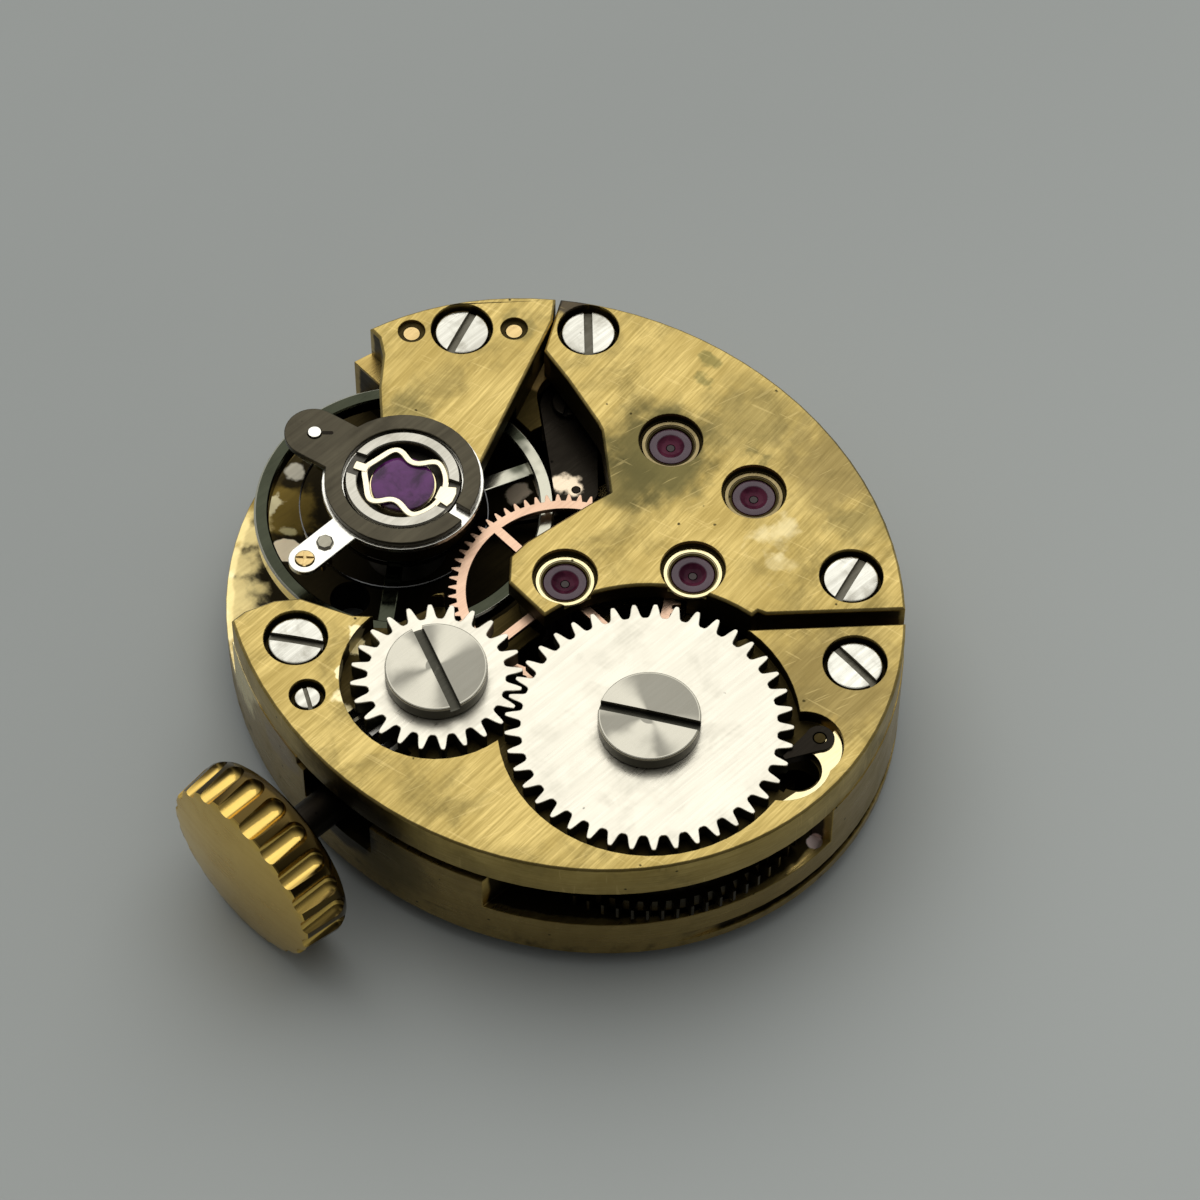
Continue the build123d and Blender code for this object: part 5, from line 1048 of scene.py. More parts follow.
@dataclass(frozen=True)
class Stone:
    """A polished jewel.

    Attributes:
        name: The material's name.
        colour: Its colour.
        deep: Its colour in the darker clouds.
        roughness: Its roughness.
        shine: Strength of its own gloss.
        cup: Height under which the oil cup takes painted shade.
        coat: Strength of the gloss round the oil cup.
    """

    name: str
    colour: Colour
    deep: Colour
    roughness: float = 0.06
    shine: float = 0.5
    cup: float = 0.0
    coat: float = 0.0

    def material(self) -> bpy.types.Material:
        """Build the jewel's nodes.

        Returns:
            The material. The cup loses the gloss of the coat, and the stone's own gloss is slight.
        """
        made, graph, place = open_material(self.name)
        cloud = graph.group(Effects.stain(), Vector=place, Scale=1.9, Low=0.35, High=0.7).outputs[0]
        colour = graph.blend(cloud, opaque(self.colour), opaque(self.deep))
        feeds = {"Roughness": self.roughness, "IOR": 1.76, "Specular IOR Level": self.shine}
        if self.cup:
            # Painted shade: the oil cup below its rim turns dark red.
            hollow = graph.ramp(graph.split(place)[2], self.cup * MM, (self.cup - 0.008) * MM)
            dark = graph.blend(cloud, opaque((0.115, 0.022, 0.045)), opaque((0.03, 0.003, 0.012)))
            colour = graph.blend(hollow, colour, dark)
            coat = graph.maths("MULTIPLY_ADD", hollow, -self.coat, self.coat)
            feeds |= {"Coat Weight": coat, "Coat Roughness": self.roughness}
        close_material(graph, {"Base Color": colour, **feeds})
        return made


@dataclass(frozen=True)
class Ground:
    """The plain floor's finish.

    Attributes:
        name: The material's name.
        colour: Its colour.
        mark: Colour of the faint dust marks.
        near: Its lighter colour towards the front, painted light.
    """

    name: str
    colour: Colour
    mark: Colour
    near: Colour

    def material(self) -> bpy.types.Material:
        """Build the floor's nodes.

        Returns:
            The material.
        """
        made, graph, place = open_material(self.name)
        cloud = graph.group(Effects.stain(), Vector=place, Scale=0.05, Low=0.3, High=0.8).outputs[0]
        colour = graph.blend(graph.maths("MULTIPLY", cloud, 0.25), opaque(self.colour), opaque(self.mark))
        # Painted light: the floor turns lighter towards the front.
        front = graph.ramp(graph.split(place)[1], 0.014, -0.018)
        colour = graph.blend(front, colour, opaque(self.near))
        close_material(graph, {"Base Color": colour, "Roughness": 0.85})
        return made


BRASS = (0.660, 0.500, 0.180)
BRASS_SHADE = (0.345, 0.245, 0.068)
TARNISH = (0.16, 0.125, 0.040)
CREAM = (0.92, 0.80, 0.47)
INKY = (0.012, 0.009, 0.004)
SMOKY = (0.10, 0.085, 0.032)
GREENISH = (0.12, 0.12, 0.04)
SANDY = (0.75, 0.62, 0.45)

BARREL_BRIDGE_STAINS_AND_SHADE = (
    Patch((3.7, -4.3, 3.2), 0.9, 0.45),
    Patch((1.3, -5.4, 3.2), 0.7, 0.45),
    Patch((2.2, -5.6, 3.2), 1.9, 0.7, (0.17, 0.125, 0.045), 0.4, 1.4),
    # Painted shade on the bridge beside the crown.
    Patch((-7.7, -1.2, 1.8), 2.05, 0.88, (0.06, 0.042, 0.016), 0.75, 0.5),
)
# Painted highlights on the wall by the click and on the wall of the crown wheel's recess.
BARREL_BRIDGE_GLINTS = (
    Patch((1.48, -6.28, 2.95), 0.34, 0.8, (0.62, 0.42, 0.12), 0.5, 0.5),
    Patch((-3.98, 1.85, 3.05), 0.32, 0.9, CREAM, 0.8, 0.7),
    Patch((-4.82, 1.45, 3.05), 0.30, 0.9, CREAM, 0.8, 0.7),
    Patch((-5.25, 0.85, 3.02), 0.30, 0.8, CREAM, 0.6, 0.8),
    Patch((-5.42, 0.15, 3.0), 0.26, 0.7, CREAM, 0.6, 0.8),
)
TRAIN_BRIDGE_STAINS_AND_SHEEN = (
    Patch((3.6, 1.0, 3.2), 1.5, 0.92, SMOKY, 0.5, 1.1),
    Patch((3.2, 0.4, 3.2), 1.1, 0.7),
    Patch((2.5, 0.85, 3.2), 1.0, 0.8, SMOKY, 0.4, 1.0),
    Patch((5.6, 0.2, 3.2), 1.5, 0.5, (0.20, 0.16, 0.06)),
    Patch((6.1, -1.9, 3.2), 1.8, 0.7, (0.18, 0.135, 0.05), 0.3),
    # Painted highlight: two soft cream patches of sheen.
    Patch((3.85, -2.15, 3.2), 0.55, 0.42, CREAM, 0.1, 1.8),
    Patch((3.3, -2.75, 3.2), 0.40, 0.22, CREAM, 0.1, 1.8),
    Patch((5.5, 1.6, 3.2), 0.24, 0.6, GREENISH, 0.4, 1.0),
    Patch((6.0, 2.0, 3.2), 0.28, 0.6, GREENISH, 0.4, 1.0),
    Patch((4.85, 5.15, 3.25), 0.62, 0.95, (0.055, 0.045, 0.035), 0.6, 0.7),
    Patch((5.0, -0.5, 3.2), 0.25, 0.6),
    Patch((5.4, -3.2, 3.2), 0.9, 0.5),
)
# Painted light: a lit patch on the wall by the cock, and brown lit walls along the slit.
TRAIN_BRIDGE_GLINTS = (
    Patch((3.62, 4.6, 2.8), 0.40, 0.7, (0.36, 0.24, 0.08), 0.6, 0.5),
    *(Patch((2.6 + 0.36 * step, -3.95 - 0.34 * step, 2.72), 0.46, 0.7, (0.11, 0.060, 0.020), 0.6, 0.2)
      for step in range(7)),
)
COCK_STAINS = (Patch((0.3, 5.2, 3.2), 0.8, 0.6), Patch((3.6, 5.3, 3.2), 0.5, 0.6))
# Painted light on the cock's side wall in the gap by the train bridge.
COCK_GLINTS = (Patch((3.35, 4.8, 2.85), 0.42, 0.85, (0.50, 0.35, 0.11), 0.6, 0.5),)
PLATE_WEAR_SHADE_AND_HIGHLIGHTS = (
    # A pinkish worn patch on the left wall, with a painted highlight in it.
    Patch((-6.25, 1.5, 1.9), 0.8, 0.6, (0.26, 0.20, 0.15), 0.5, 0.9),
    # Painted shade on the left side and in the stem's notch.
    Patch((-6.6, -1.7, 1.3), 1.3, 0.6, (0.10, 0.075, 0.02), 0.5, 0.8),
    Patch((-6.75, -0.35, 1.7), 1.15, 0.9, INKY, 0.8, 0.3),
    # Painted highlights on the flange round the balance.
    Patch((-4.3, 5.5, 2.33), 2.0, 0.85, CREAM, 0.8, 1.0),
    Patch((-5.6, 3.9, 2.33), 1.6, 0.8, CREAM, 0.8, 1.0),
)
# Painted highlights and painted light: pale spots on the shaded pocket floor, the lit flange, the brown slit
# and the window's end.
PLATE_GLINTS = (
    Patch((-2.20, 6.40, 1.0), 0.85, 0.8, (0.17, 0.115, 0.025), 0.5, 1.2),
    Patch((-2.82, 5.62, 1.0), 0.32, 0.95, (0.85, 0.72, 0.50), 0.88, 0.4),
    Patch((-1.38, 6.96, 1.0), 0.26, 0.8, (0.40, 0.37, 0.29), 0.7, 0.4),
    Patch((-2.25, 6.72, 1.0), 0.22, 0.8, (0.62, 0.55, 0.33), 0.6, 0.9),
    Patch((-2.48, 5.92, 1.0), 0.18, 0.7, (0.55, 0.48, 0.24), 0.6, 0.6),
    Patch((1.75, 3.32, 1.0), 0.30, 0.85, SANDY, 0.7, 0.6),
    Patch((2.55, 2.75, 1.0), 0.32, 0.8, SANDY, 0.7, 0.6),
    Patch((3.5, 4.55, 2.33), 0.42, 0.9, (0.42, 0.28, 0.10), 0.75, 0.2),
    *(Patch((x, y, 1.0), 0.60, 0.92, (0.76, 0.61, 0.27), 0.45, 1.0)
      for x, y in ((-3.15, 6.55), (-3.80, 6.08), (-4.28, 5.45), (-4.62, 4.75), (-4.80, 4.10))),
    Patch((3.3, -4.4, 2.33), 1.7, 0.6, (0.10, 0.060, 0.025), 0.6, 0.6),
    Patch((0.24, -7.14, 1.15), 0.18, 0.95, (0.95, 0.76, 0.70), 0.8, 0.2),
)
# Painted highlights: bright spots on the pallet bridge.
PALLET_BRIDGE_GLINTS = tuple(
    Patch((x, y, 2.02), radius, 0.95, (0.78, 0.64, 0.46), 0.5, 0.7)
    for x, y, radius in ((2.08, 2.45, 0.27), (2.25, 2.05, 0.27), (1.95, 2.85, 0.2)))


class Finishes:
    """Every material of the movement, built once."""

    def __init__(self) -> None:
        """Build the materials."""
        self._brasses()
        self._steels()
        self._trimmings()

    def _brasses(self) -> None:
        """Build the finishes of the plate, the bridges and the brass pieces."""
        # Painted shade on the bridges' side walls and recesses below their tops.
        brushed = Metal(
            "barrel_bridge_brass", BRASS, BRASS_SHADE, 0.34, side=0.45, turn=-4, stain=TARNISH, lines=0.68,
            stain_amount=0.58, fresh=0.14, hollows=(Hollow(3.20, 0.988, 0.93),),
            patches=BARREL_BRIDGE_STAINS_AND_SHADE, glints=BARREL_BRIDGE_GLINTS)
        self.bridge = brushed.material()
        self.train = replace(
            brushed, name="train_bridge_brass", turn=-8, patches=TRAIN_BRIDGE_STAINS_AND_SHEEN,
            glints=TRAIN_BRIDGE_GLINTS).material()
        self.cock = replace(
            brushed, name="balance_cock_brass", turn=-10, patches=COCK_STAINS,
            glints=COCK_GLINTS).material()
        # Painted shade, with some dirt, in the plate's pockets, the balance's pocket, the deep places and the
        # groove round the foot.
        pockets = Hollow(2.62, 0.84, 0.93, (0.022, 0.015, 0.004), disc=(*BALANCE_AXIS, 3.17))
        self.plate = Metal(
            "main_plate_brass", (0.60, 0.44, 0.15), (0.26, 0.175, 0.048), 0.30, side=0.6, stain=TARNISH,
            lines=0.5, stain_amount=0.4, speck_share=0.25,
            hollows=(pockets, Hollow(2.30, 0.984, 0.96, INKY), Hollow(0.52, 1.0, 0.97, INKY)),
            patches=PLATE_WEAR_SHADE_AND_HIGHLIGHTS, glints=PLATE_GLINTS).material()
        self.bright_brass = Metal(
            "polished_brass", (0.90, 0.78, 0.45), (0.58, 0.44, 0.18), 0.14, lines=0.2, relief=0.0003,
            stain_amount=0.10, scratch=0.2).material()
        # A darker copy of the ring brass for the rings of the third and fourth jewels.
        self.ring_brass = Metal(
            "darker_ring_brass", (0.30, 0.235, 0.115), (0.13, 0.10, 0.045), 0.24, lines=0.3, relief=0.0003,
            stain_amount=0.4, scratch=0.2).material()
        self.wheel_brass = Metal(
            "train_wheel_brass", (0.45, 0.33, 0.13), (0.20, 0.14, 0.05), 0.25, lines=0.3, relief=0.0004,
            stain_amount=0.3, scratch=0.2).material()
        self.pin_brass = Metal(
            "steady_pin_brass", (0.72, 0.53, 0.24), (0.40, 0.27, 0.10), 0.22, lines=0.35, relief=0.0006,
            stain_amount=0.3).material()
        # Painted shade on the wheel's sides below its top.
        rim = Hollow(2.71, strength=0.85, colour=(0.10, 0.05, 0.03), soft=0.02)
        self.rose = Metal(
            "rose_gold_wheel", (0.72, 0.485, 0.335), (0.52, 0.32, 0.21), 0.30, fineness=26, lines=0.3,
            relief=0.0005, stain_amount=0.15, speck_share=0.04, hollows=(rim,)).material()
        # Near-black brass: painted shade on the barrel seen through the window.
        self.drum = Metal(
            "barrel_brass", (0.040, 0.031, 0.014), (0.018, 0.013, 0.006), 0.30, lines=0.4,
            stain=(0.010, 0.008, 0.004), stain_amount=0.6).material()
        # Painted shade on the crown's lands, flute walls and back.
        ridges = Ridges(STEM_HEIGHT, 1.93, -7.98, (0.05, 0.032, 0.010), 0.95)
        self.gold = Metal(
            "crown_gold", (0.78, 0.535, 0.14), (0.55, 0.36, 0.07), 0.18, fineness=9, lines=0.16,
            relief=0.0003, stain=(0.40, 0.24, 0.05), stain_amount=0.18, speck_share=0.03, scratch=0.1,
            ridges=ridges).material()

    def _steels(self) -> None:
        """Build the finishes of the wheels, the screws and the other steel pieces."""
        # Painted shade on the teeth's flanks and the wheels' sides below their tops.
        teeth = Hollow(3.21, strength=0.92, colour=(0.028, 0.030, 0.014), soft=0.03)
        self.wheel_steel = Metal(
            "bright_wheel_steel", (0.765, 0.715, 0.590), (0.60, 0.565, 0.465), 0.30, fineness=16,
            lines=0.34, relief=0.0005, stain=(0.40, 0.38, 0.30), stain_amount=0.17, stain_scale=1.3,
            speck_share=0.10, speck_size=0.09, speck_scale=2.4, hollows=(teeth,)).material()
        self.big_screws = {
            "ratchet": self._big_screw("ratchet", RATCHET_AXIS, 100, 205),
            "crown_wheel": self._big_screw("crown_wheel", CROWN_WHEEL_AXIS, 20, 120),
        }
        # Painted shade in the slots and on the heads' sides.
        slot = Hollow(3.118, strength=0.9, colour=(0.055, 0.048, 0.030), soft=0.03)
        self.head_steel = Metal(
            "bridge_screw_steel", (0.80, 0.78, 0.68), (0.40, 0.38, 0.32), 0.18, fineness=8, lines=0.55,
            relief=0.0006, stain=(0.20, 0.18, 0.13), stain_amount=0.5, stain_scale=1.9, speck_share=0.15,
            scratch=0.7, hollows=(slot,)).material()
        self.bright_steel = Metal(
            "regulator_steel", (0.93, 0.90, 0.80), (0.66, 0.63, 0.54), 0.22, turn=181, lines=0.2,
            relief=0.0004, stain=(0.42, 0.39, 0.30), side=0.6).material()
        # Painted shade on the block's walls and in its hollow below the top.
        step = Hollow(3.44, strength=0.94, colour=(0.014, 0.011, 0.008))
        self.grey_steel = Metal(
            "bearing_block_steel", (0.56, 0.53, 0.45), (0.33, 0.31, 0.25), 0.26, lines=0.35, relief=0.0004,
            stain=(0.14, 0.12, 0.08), stain_amount=0.4, hollows=(step,)).material()
        # Painted shade on the pin head's side below its top.
        foot = Hollow(3.38, strength=0.8, colour=(0.04, 0.03, 0.02), soft=0.02)
        self.pin_steel = Metal(
            "curb_pin_steel", (0.34, 0.32, 0.25), (0.17, 0.15, 0.10), 0.26, relief=0.0004,
            stain=(0.10, 0.08, 0.05), stain_amount=0.4, stain_scale=3.0, hollows=(foot,)).material()
        self.arbor_steel = Metal(
            "arbor_steel", (0.045, 0.038, 0.036), (0.025, 0.021, 0.020), 0.20, lines=0.2, relief=0.0003,
            stain=(0.05, 0.04, 0.03), stain_amount=0.3).material()
        self.keyless_steel = Metal(
            "keyless_steel", (0.30, 0.29, 0.26), (0.16, 0.15, 0.13), 0.26, relief=0.0004,
            stain=(0.05, 0.045, 0.03), stain_amount=0.5).material()
        # Near-black steel for the stem, the click, the pallet parts and the slot beside the stud; the
        # near-black is partly painted shade.
        black = Metal(
            "near_black_steel", (0.018, 0.015, 0.011), (0.010, 0.008, 0.006), 0.30, relief=0.0004,
            stain=(0.008, 0.006, 0.005), stain_amount=0.4)
        self.blade = black.material()
        # The pallet bridge's near-black steel with painted highlights.
        self.pallet_steel_with_highlights = replace(black, name="pallet_bridge_steel", glints=PALLET_BRIDGE_GLINTS).material()
        self.dark_steel = Metal(
            "stud_carrier_steel", (0.086, 0.075, 0.050), (0.048, 0.041, 0.028), 0.34, fineness=12,
            lines=0.5, relief=0.0008, stain=(0.036, 0.031, 0.022), stain_amount=0.45,
            scratch=0.4).material()
        # Painted highlights on the balance rim: a fan on one side and a bright outer edge.
        gleams = (Sector(BALANCE_AXIS, (0.50, 0.48, 0.38), -40, 1, 0.80, 0.96),
                  Sector(BALANCE_AXIS, (0.78, 0.75, 0.62), 0.0, 0, -2.0, -1.0, 3.085))
        self.rim = Metal(
            "balance_rim_alloy", (0.052, 0.056, 0.036), (0.030, 0.033, 0.022), 0.16, relief=0.0002,
            stain=(0.018, 0.020, 0.012), stain_amount=0.4, scratch=0.1, sectors=gleams).material()
        self.spring = Metal(
            "spring_steel", (0.10, 0.10, 0.10), (0.05, 0.05, 0.05), 0.22, lines=0.2, relief=0.0002,
            stain_amount=0.1).material()

    @staticmethod
    def _big_screw(wheel: str, place: Point, turn: float, second: float) -> bpy.types.Material:
        """Build the finish of one winding wheel's screw, with painted highlight fans.

        Args:
            wheel: The wheel that the screw holds.
            place: Its axis in the plan.
            turn: Direction of the two wide fans of painted highlight in degrees.
            second: Direction of the narrow fan of painted highlight in degrees.

        Returns:
            The material.
        """
        # Painted reflections: fans and a bright rim of turned steel; painted shade in the slot and on the
        # side.
        glow = (0.52, 0.49, 0.40)
        fans = (Sector(place, glow, turn, 2, 0.15, 1.0), Sector(place, glow, second, 1, 0.72, 1.0, 0.2),
                Sector(place, glow, 0.0, 0, -2.0, -1.0, 0.985))
        return Metal(
            f"{wheel}_screw_steel", (0.245, 0.232, 0.190), (0.20, 0.188, 0.150), 0.20, fineness=20,
            lines=0.2, relief=0.0002, stain=(0.16, 0.14, 0.10), stain_amount=0.12, speck_share=0.04,
            scratch=0.2, hollows=(Hollow(3.575, strength=0.93, colour=(0.045, 0.043, 0.032)),),
            sectors=fans).material()

    def _trimmings(self) -> None:
        """Build the lyre's gold, the stones and the floor."""
        self.pale_gold = Metal(
            "lyre_gold", (0.96, 0.87, 0.64), (0.74, 0.62, 0.38), 0.2, lines=0.2, relief=0.0002,
            stain_amount=0.1, scratch=0.1).material()
        self.ruby = Stone("ruby", (0.090, 0.040, 0.058), (0.060, 0.022, 0.036), 0.14, 0.031, 3.022,
                          0.86).material()
        self.cap_ruby = Stone("cap_ruby", (0.16, 0.035, 0.18), (0.035, 0.003, 0.035), 0.06, 0.16).material()
        self.floor = Ground("grey_floor", (0.445, 0.464, 0.443), (0.40, 0.418, 0.399),
                            (0.535, 0.558, 0.533)).material()


@dataclass
class Assembly:
    """What every part of the scene is built with.

    Attributes:
        finishes: The materials.
    """

    finishes: Finishes


@dataclass
class Studio(Assembly):
    """The floor, the lamp, the backdrop light and the camera.

    Attributes:
        floor_level: Height of the floor in millimetres.
        floor_size: Its side.
        target: Where the camera looks, in millimetres.
        distance: How far off the camera stands.
        heading: Direction of sight in the plan.
        elevation: Degrees above the horizon.
        roll: Tilt of the picture in degrees.
        lens: Focal length in millimetres on a 36 mm sensor.
        bright_side: Direction of the bright half of the room.
        dark_room: Light of the room's dark half.
        bright_room: Light of its bright half.
    """

    floor_level: float = -0.505
    floor_size: float = 900.0
    target: Place = (0.121, -0.918, 3.25)
    distance: float = 102.04
    heading: Point = (0.690, 0.724)
    elevation: float = 56.5
    roll: float = 0.5
    lens: float = 150.0
    bright_side: Place = (0.52, 0.54, 0.66)
    dark_room: Colour = (0.045, 0.044, 0.042)
    bright_room: Colour = (0.56, 0.57, 0.57)

    def build(self) -> None:
        """Set up the whole studio."""
        self._floor()
        self._world()
        self._lamp("key_softbox", (110, 120, 250), 380, 0.44)
        self._camera()
        bpy.context.scene.view_settings.view_transform = "Standard"

    def _floor(self) -> None:
        """Lay the plain floor."""
        mesh = bmesh.new()
        bmesh.ops.create_grid(mesh, x_segments=1, y_segments=1, size=self.floor_size / 2 * MM)
        bmesh.ops.translate(mesh, verts=mesh.verts, vec=(0, 0, self.floor_level * MM))
        data = bpy.data.meshes.new("floor")
        mesh.to_mesh(data)
        mesh.free()
        data.materials.append(self.finishes.floor)
        floor = bpy.data.objects.new("floor", data)
        bpy.context.scene.collection.objects.link(floor)

    def _world(self) -> None:
        """Light the room softly, brighter behind the movement and above it."""
        world = bpy.data.worlds.new("room")
        world.use_nodes = True
        world.node_tree.nodes.clear()
        graph = Graph(world.node_tree)
        towards = graph.add("ShaderNodeTexCoord").outputs["Generated"]
        facing = graph.add("ShaderNodeVectorMath", {0: towards, 1: self.bright_side}, operation="DOT_PRODUCT")
        share = graph.ramp(facing.outputs["Value"], -0.35, 0.95)
        tone = graph.blend(share, opaque(self.dark_room), opaque(self.bright_room))
        glow = graph.add("ShaderNodeBackground", {"Color": tone, "Strength": 1.0})
        end = graph.add("ShaderNodeOutputWorld")
        graph.feed(end.inputs["Surface"], glow.outputs[0])
        bpy.context.scene.world = world

    def _lamp(self, name: str, place: Place, size: float, power: float) -> None:
        """Hang one square soft lamp that faces the movement.

        Args:
            name: The lamp's name.
            place: Where it hangs, in millimetres.
            size: Its side in millimetres.
            power: Its power in watts.
        """
        data = bpy.data.lights.new(name, "AREA")
        data.shape = "SQUARE"
        data.size = size * MM
        data.energy = power
        lamp = bpy.data.objects.new(name, data)
        lamp.location = Vector(place) * MM
        lamp.rotation_mode = "QUATERNION"
        lamp.rotation_quaternion = (-Vector(place)).to_track_quat("-Z", "Y")
        bpy.context.scene.collection.objects.link(lamp)

    def _camera(self) -> None:
        """Stand the camera where the photograph was taken."""
        rise = math.radians(self.elevation)
        ahead = Vector((self.heading[0] * math.cos(rise), self.heading[1] * math.cos(rise), -math.sin(rise)))
        ahead.normalize()
        data = bpy.data.cameras.new("camera")
        data.lens = self.lens
        data.sensor_width = 36
        data.clip_start = 0.001
        data.clip_end = 10
        camera = bpy.data.objects.new("camera", data)
        camera.location = (Vector(self.target) - ahead * self.distance) * MM
        camera.rotation_mode = "QUATERNION"
        tilt = Quaternion((0, 0, 1), math.radians(self.roll))
        camera.rotation_quaternion = ahead.to_track_quat("-Z", "Y") @ tilt
        bpy.context.scene.collection.objects.link(camera)
        bpy.context.scene.camera = camera


def softened_copy(node: str, material: bpy.types.Material, width: float, segments: int = 2,
                  slot: str = "") -> bpy.types.Object:
    """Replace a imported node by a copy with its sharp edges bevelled.

    Args:
        node: The node's name.
        material: Its finish.
        width: Bevel width in millimetres.
        segments: Faces across the bevel.
        slot: The record's material slot.

    Returns:
        The new piece.
    """
    body = frame["nodes"][node]["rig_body"]
    blank = Blank.of_node(node).softened(width, segments, 32.0, clamp=False)
    return blank.piece(f"{node}_finished", body, material, [node], slot)


@dataclass
class Bridges(Assembly):
    """The plate, its three bridges and the pins that show in them.

    Attributes:
        edge: Bevel of the bridges' edges.
        sink_places: Middles of the jewels' countersinks.
        sink_radius: Radius of a countersink.
        jewel_radius: Radius of a jewel.
        sink_floor: Height of a countersink's floor.
        pin_places: Middles of the cock's steady pins.
        pin_radius: Their radius.
        pin_top: Their upper end.
        ledge_arcs: Middle, radius, first angle, angle step and point count of each arc round the
            bright ledge beside the click.
        ledge_low: Underside of the bright ledge.
        ledge_high: Its top.
    """

    edge: float = 0.012
    sink_places: tuple[Point, ...] = TRAIN_AXES
    sink_radius: float = 0.672
    jewel_radius: float = 0.45
    sink_floor: float = 3.03
    pin_places: tuple[Point, ...] = ((1.881, 6.78), (3.5112, 5.3475))
    pin_radius: float = 0.17
    pin_top: float = 3.15
    ledge_arcs: tuple[tuple[Point, float, float, float, int], ...] = (
        ((0.20, -6.16), 0.975, -138, 6, 13), ((0.75, -6.25), 0.755, -68, 6, 11),
        ((0.27, -6.50), 0.51, 8, -8, 19))
    ledge_low: float = 3.082
    ledge_high: float = 3.10

    def build(self) -> None:
        """Finish the plate and the bridges."""
        looks = self.finishes
        softened_copy("main_plate", looks.plate, self.edge, 1, "bare_brass")
        softened_copy("barrel_bridge", looks.bridge, self.edge, 2, "brushed_brass")
        softened_copy("train_bridge", looks.train, self.edge, 2, "brushed_brass")
        softened_copy("balance_cock", looks.cock, self.edge, 2, "brushed_brass")
        self._ledge().piece("click_ledge", Body.PLATE.value, looks.bright_brass, (), "bare_brass")
        for number, place in enumerate(self.sink_places, 1):
            ring = looks.bright_brass if number < 3 else looks.ring_brass
            self._sink(place).piece(f"jewel_sink_{number}", Body.PLATE.value, ring, (), "bare_brass")
        for number, place in enumerate(self.pin_places, 1):
            self._pin(place).piece(f"cock_steady_pin_{number}", Body.PLATE.value, looks.pin_brass, (),
                                   "bare_brass")

    def _ledge(self) -> Blank:
        """Make the bright crescent on the ledge beside the click."""
        outline = [polar(middle, radius, first + pace * step)
                   for middle, radius, first, pace, count in self.ledge_arcs for step in range(count)]
        return Blank.slab(outline, self.ledge_low, self.ledge_high).softened(0.006, 1)

    def _sink(self, place: Point) -> Blank:
        """Make the polished ring on a countersink's floor.

        Args:
            place: Its middle.

        Returns:
            The ring.
        """
        low = self.sink_floor + 0.001
        inner = self.jewel_radius + 0.055
        outer = self.sink_radius - 0.055
        profile = [(inner, low), (inner, low + 0.008), (inner + 0.015, low + 0.016),
                   (inner + 0.025, low + 0.03), (outer - 0.02, low + 0.034), (outer, low + 0.014),
                   (outer, low)]
        return Blank.turned(profile, closed=True).placed(place)

    def _pin(self, place: Point) -> Blank:
        """Make the rounded end of a steady pin.

        Args:
            place: Its middle.

        Returns:
            The pin's end.
        """
        radius = self.pin_radius + 0.002
        top = self.pin_top
        profile = [(0, top - 0.2), (radius, top - 0.2), (radius, top - 0.04), (radius * 0.85, top - 0.008),
                   (radius * 0.5, top + 0.008), (0, top + 0.012)]
        return Blank.turned(profile, 48).placed(place)


@dataclass(frozen=True)
class ScrewSize:
    """The sizes of one slotted screw.

    Attributes:
        radius: Head radius.
        top: Height of the head's top.
        head: Height of the head.
        shank: Shank radius.
        tip: Height of the shank's end.
        slot_width: Width of the slot.
        slot_depth: Depth of the slot.
        bevel: Bevel of the head.
        crown: How far the head's middle rises.
    """

    radius: float
    top: float
    head: float
    shank: float
    tip: float
    slot_width: float
    slot_depth: float
    bevel: float = 0.05
    crown: float = 0.0

    def blank(self, place: Point, slot_turn: float) -> Blank:
        """Make the screw.

        Args:
            place: Its axis in the plan.
            slot_turn: Direction of the slot in degrees.

        Returns:
            The screw.
        """
        low = self.top - self.head
        cut = self.bevel
        nick = cut * 0.3
        flat = self.radius - cut
        edge = self.top - self.crown
        profile = [(0, self.tip), (self.shank * 0.8, self.tip), (self.shank, self.tip + self.shank * 0.2),
                   (self.shank, low), (self.radius - nick, low), (self.radius, low + nick),
                   (self.radius, edge - cut), (self.radius - nick, edge - nick), (flat, edge),
                   (flat * 0.66, self.top - self.crown * 0.44), (flat * 0.33, self.top - self.crown * 0.11),
                   (0, self.top)]
        cut_size = (2.4 * self.radius, self.slot_width, 2 * self.slot_depth)
        slot = Blank.box(cut_size, (0, 0, self.top), slot_turn)
        body = Blank.turned(profile).carved(slot)
        return body.softened(0.008, 2, 60.0).placed(place)


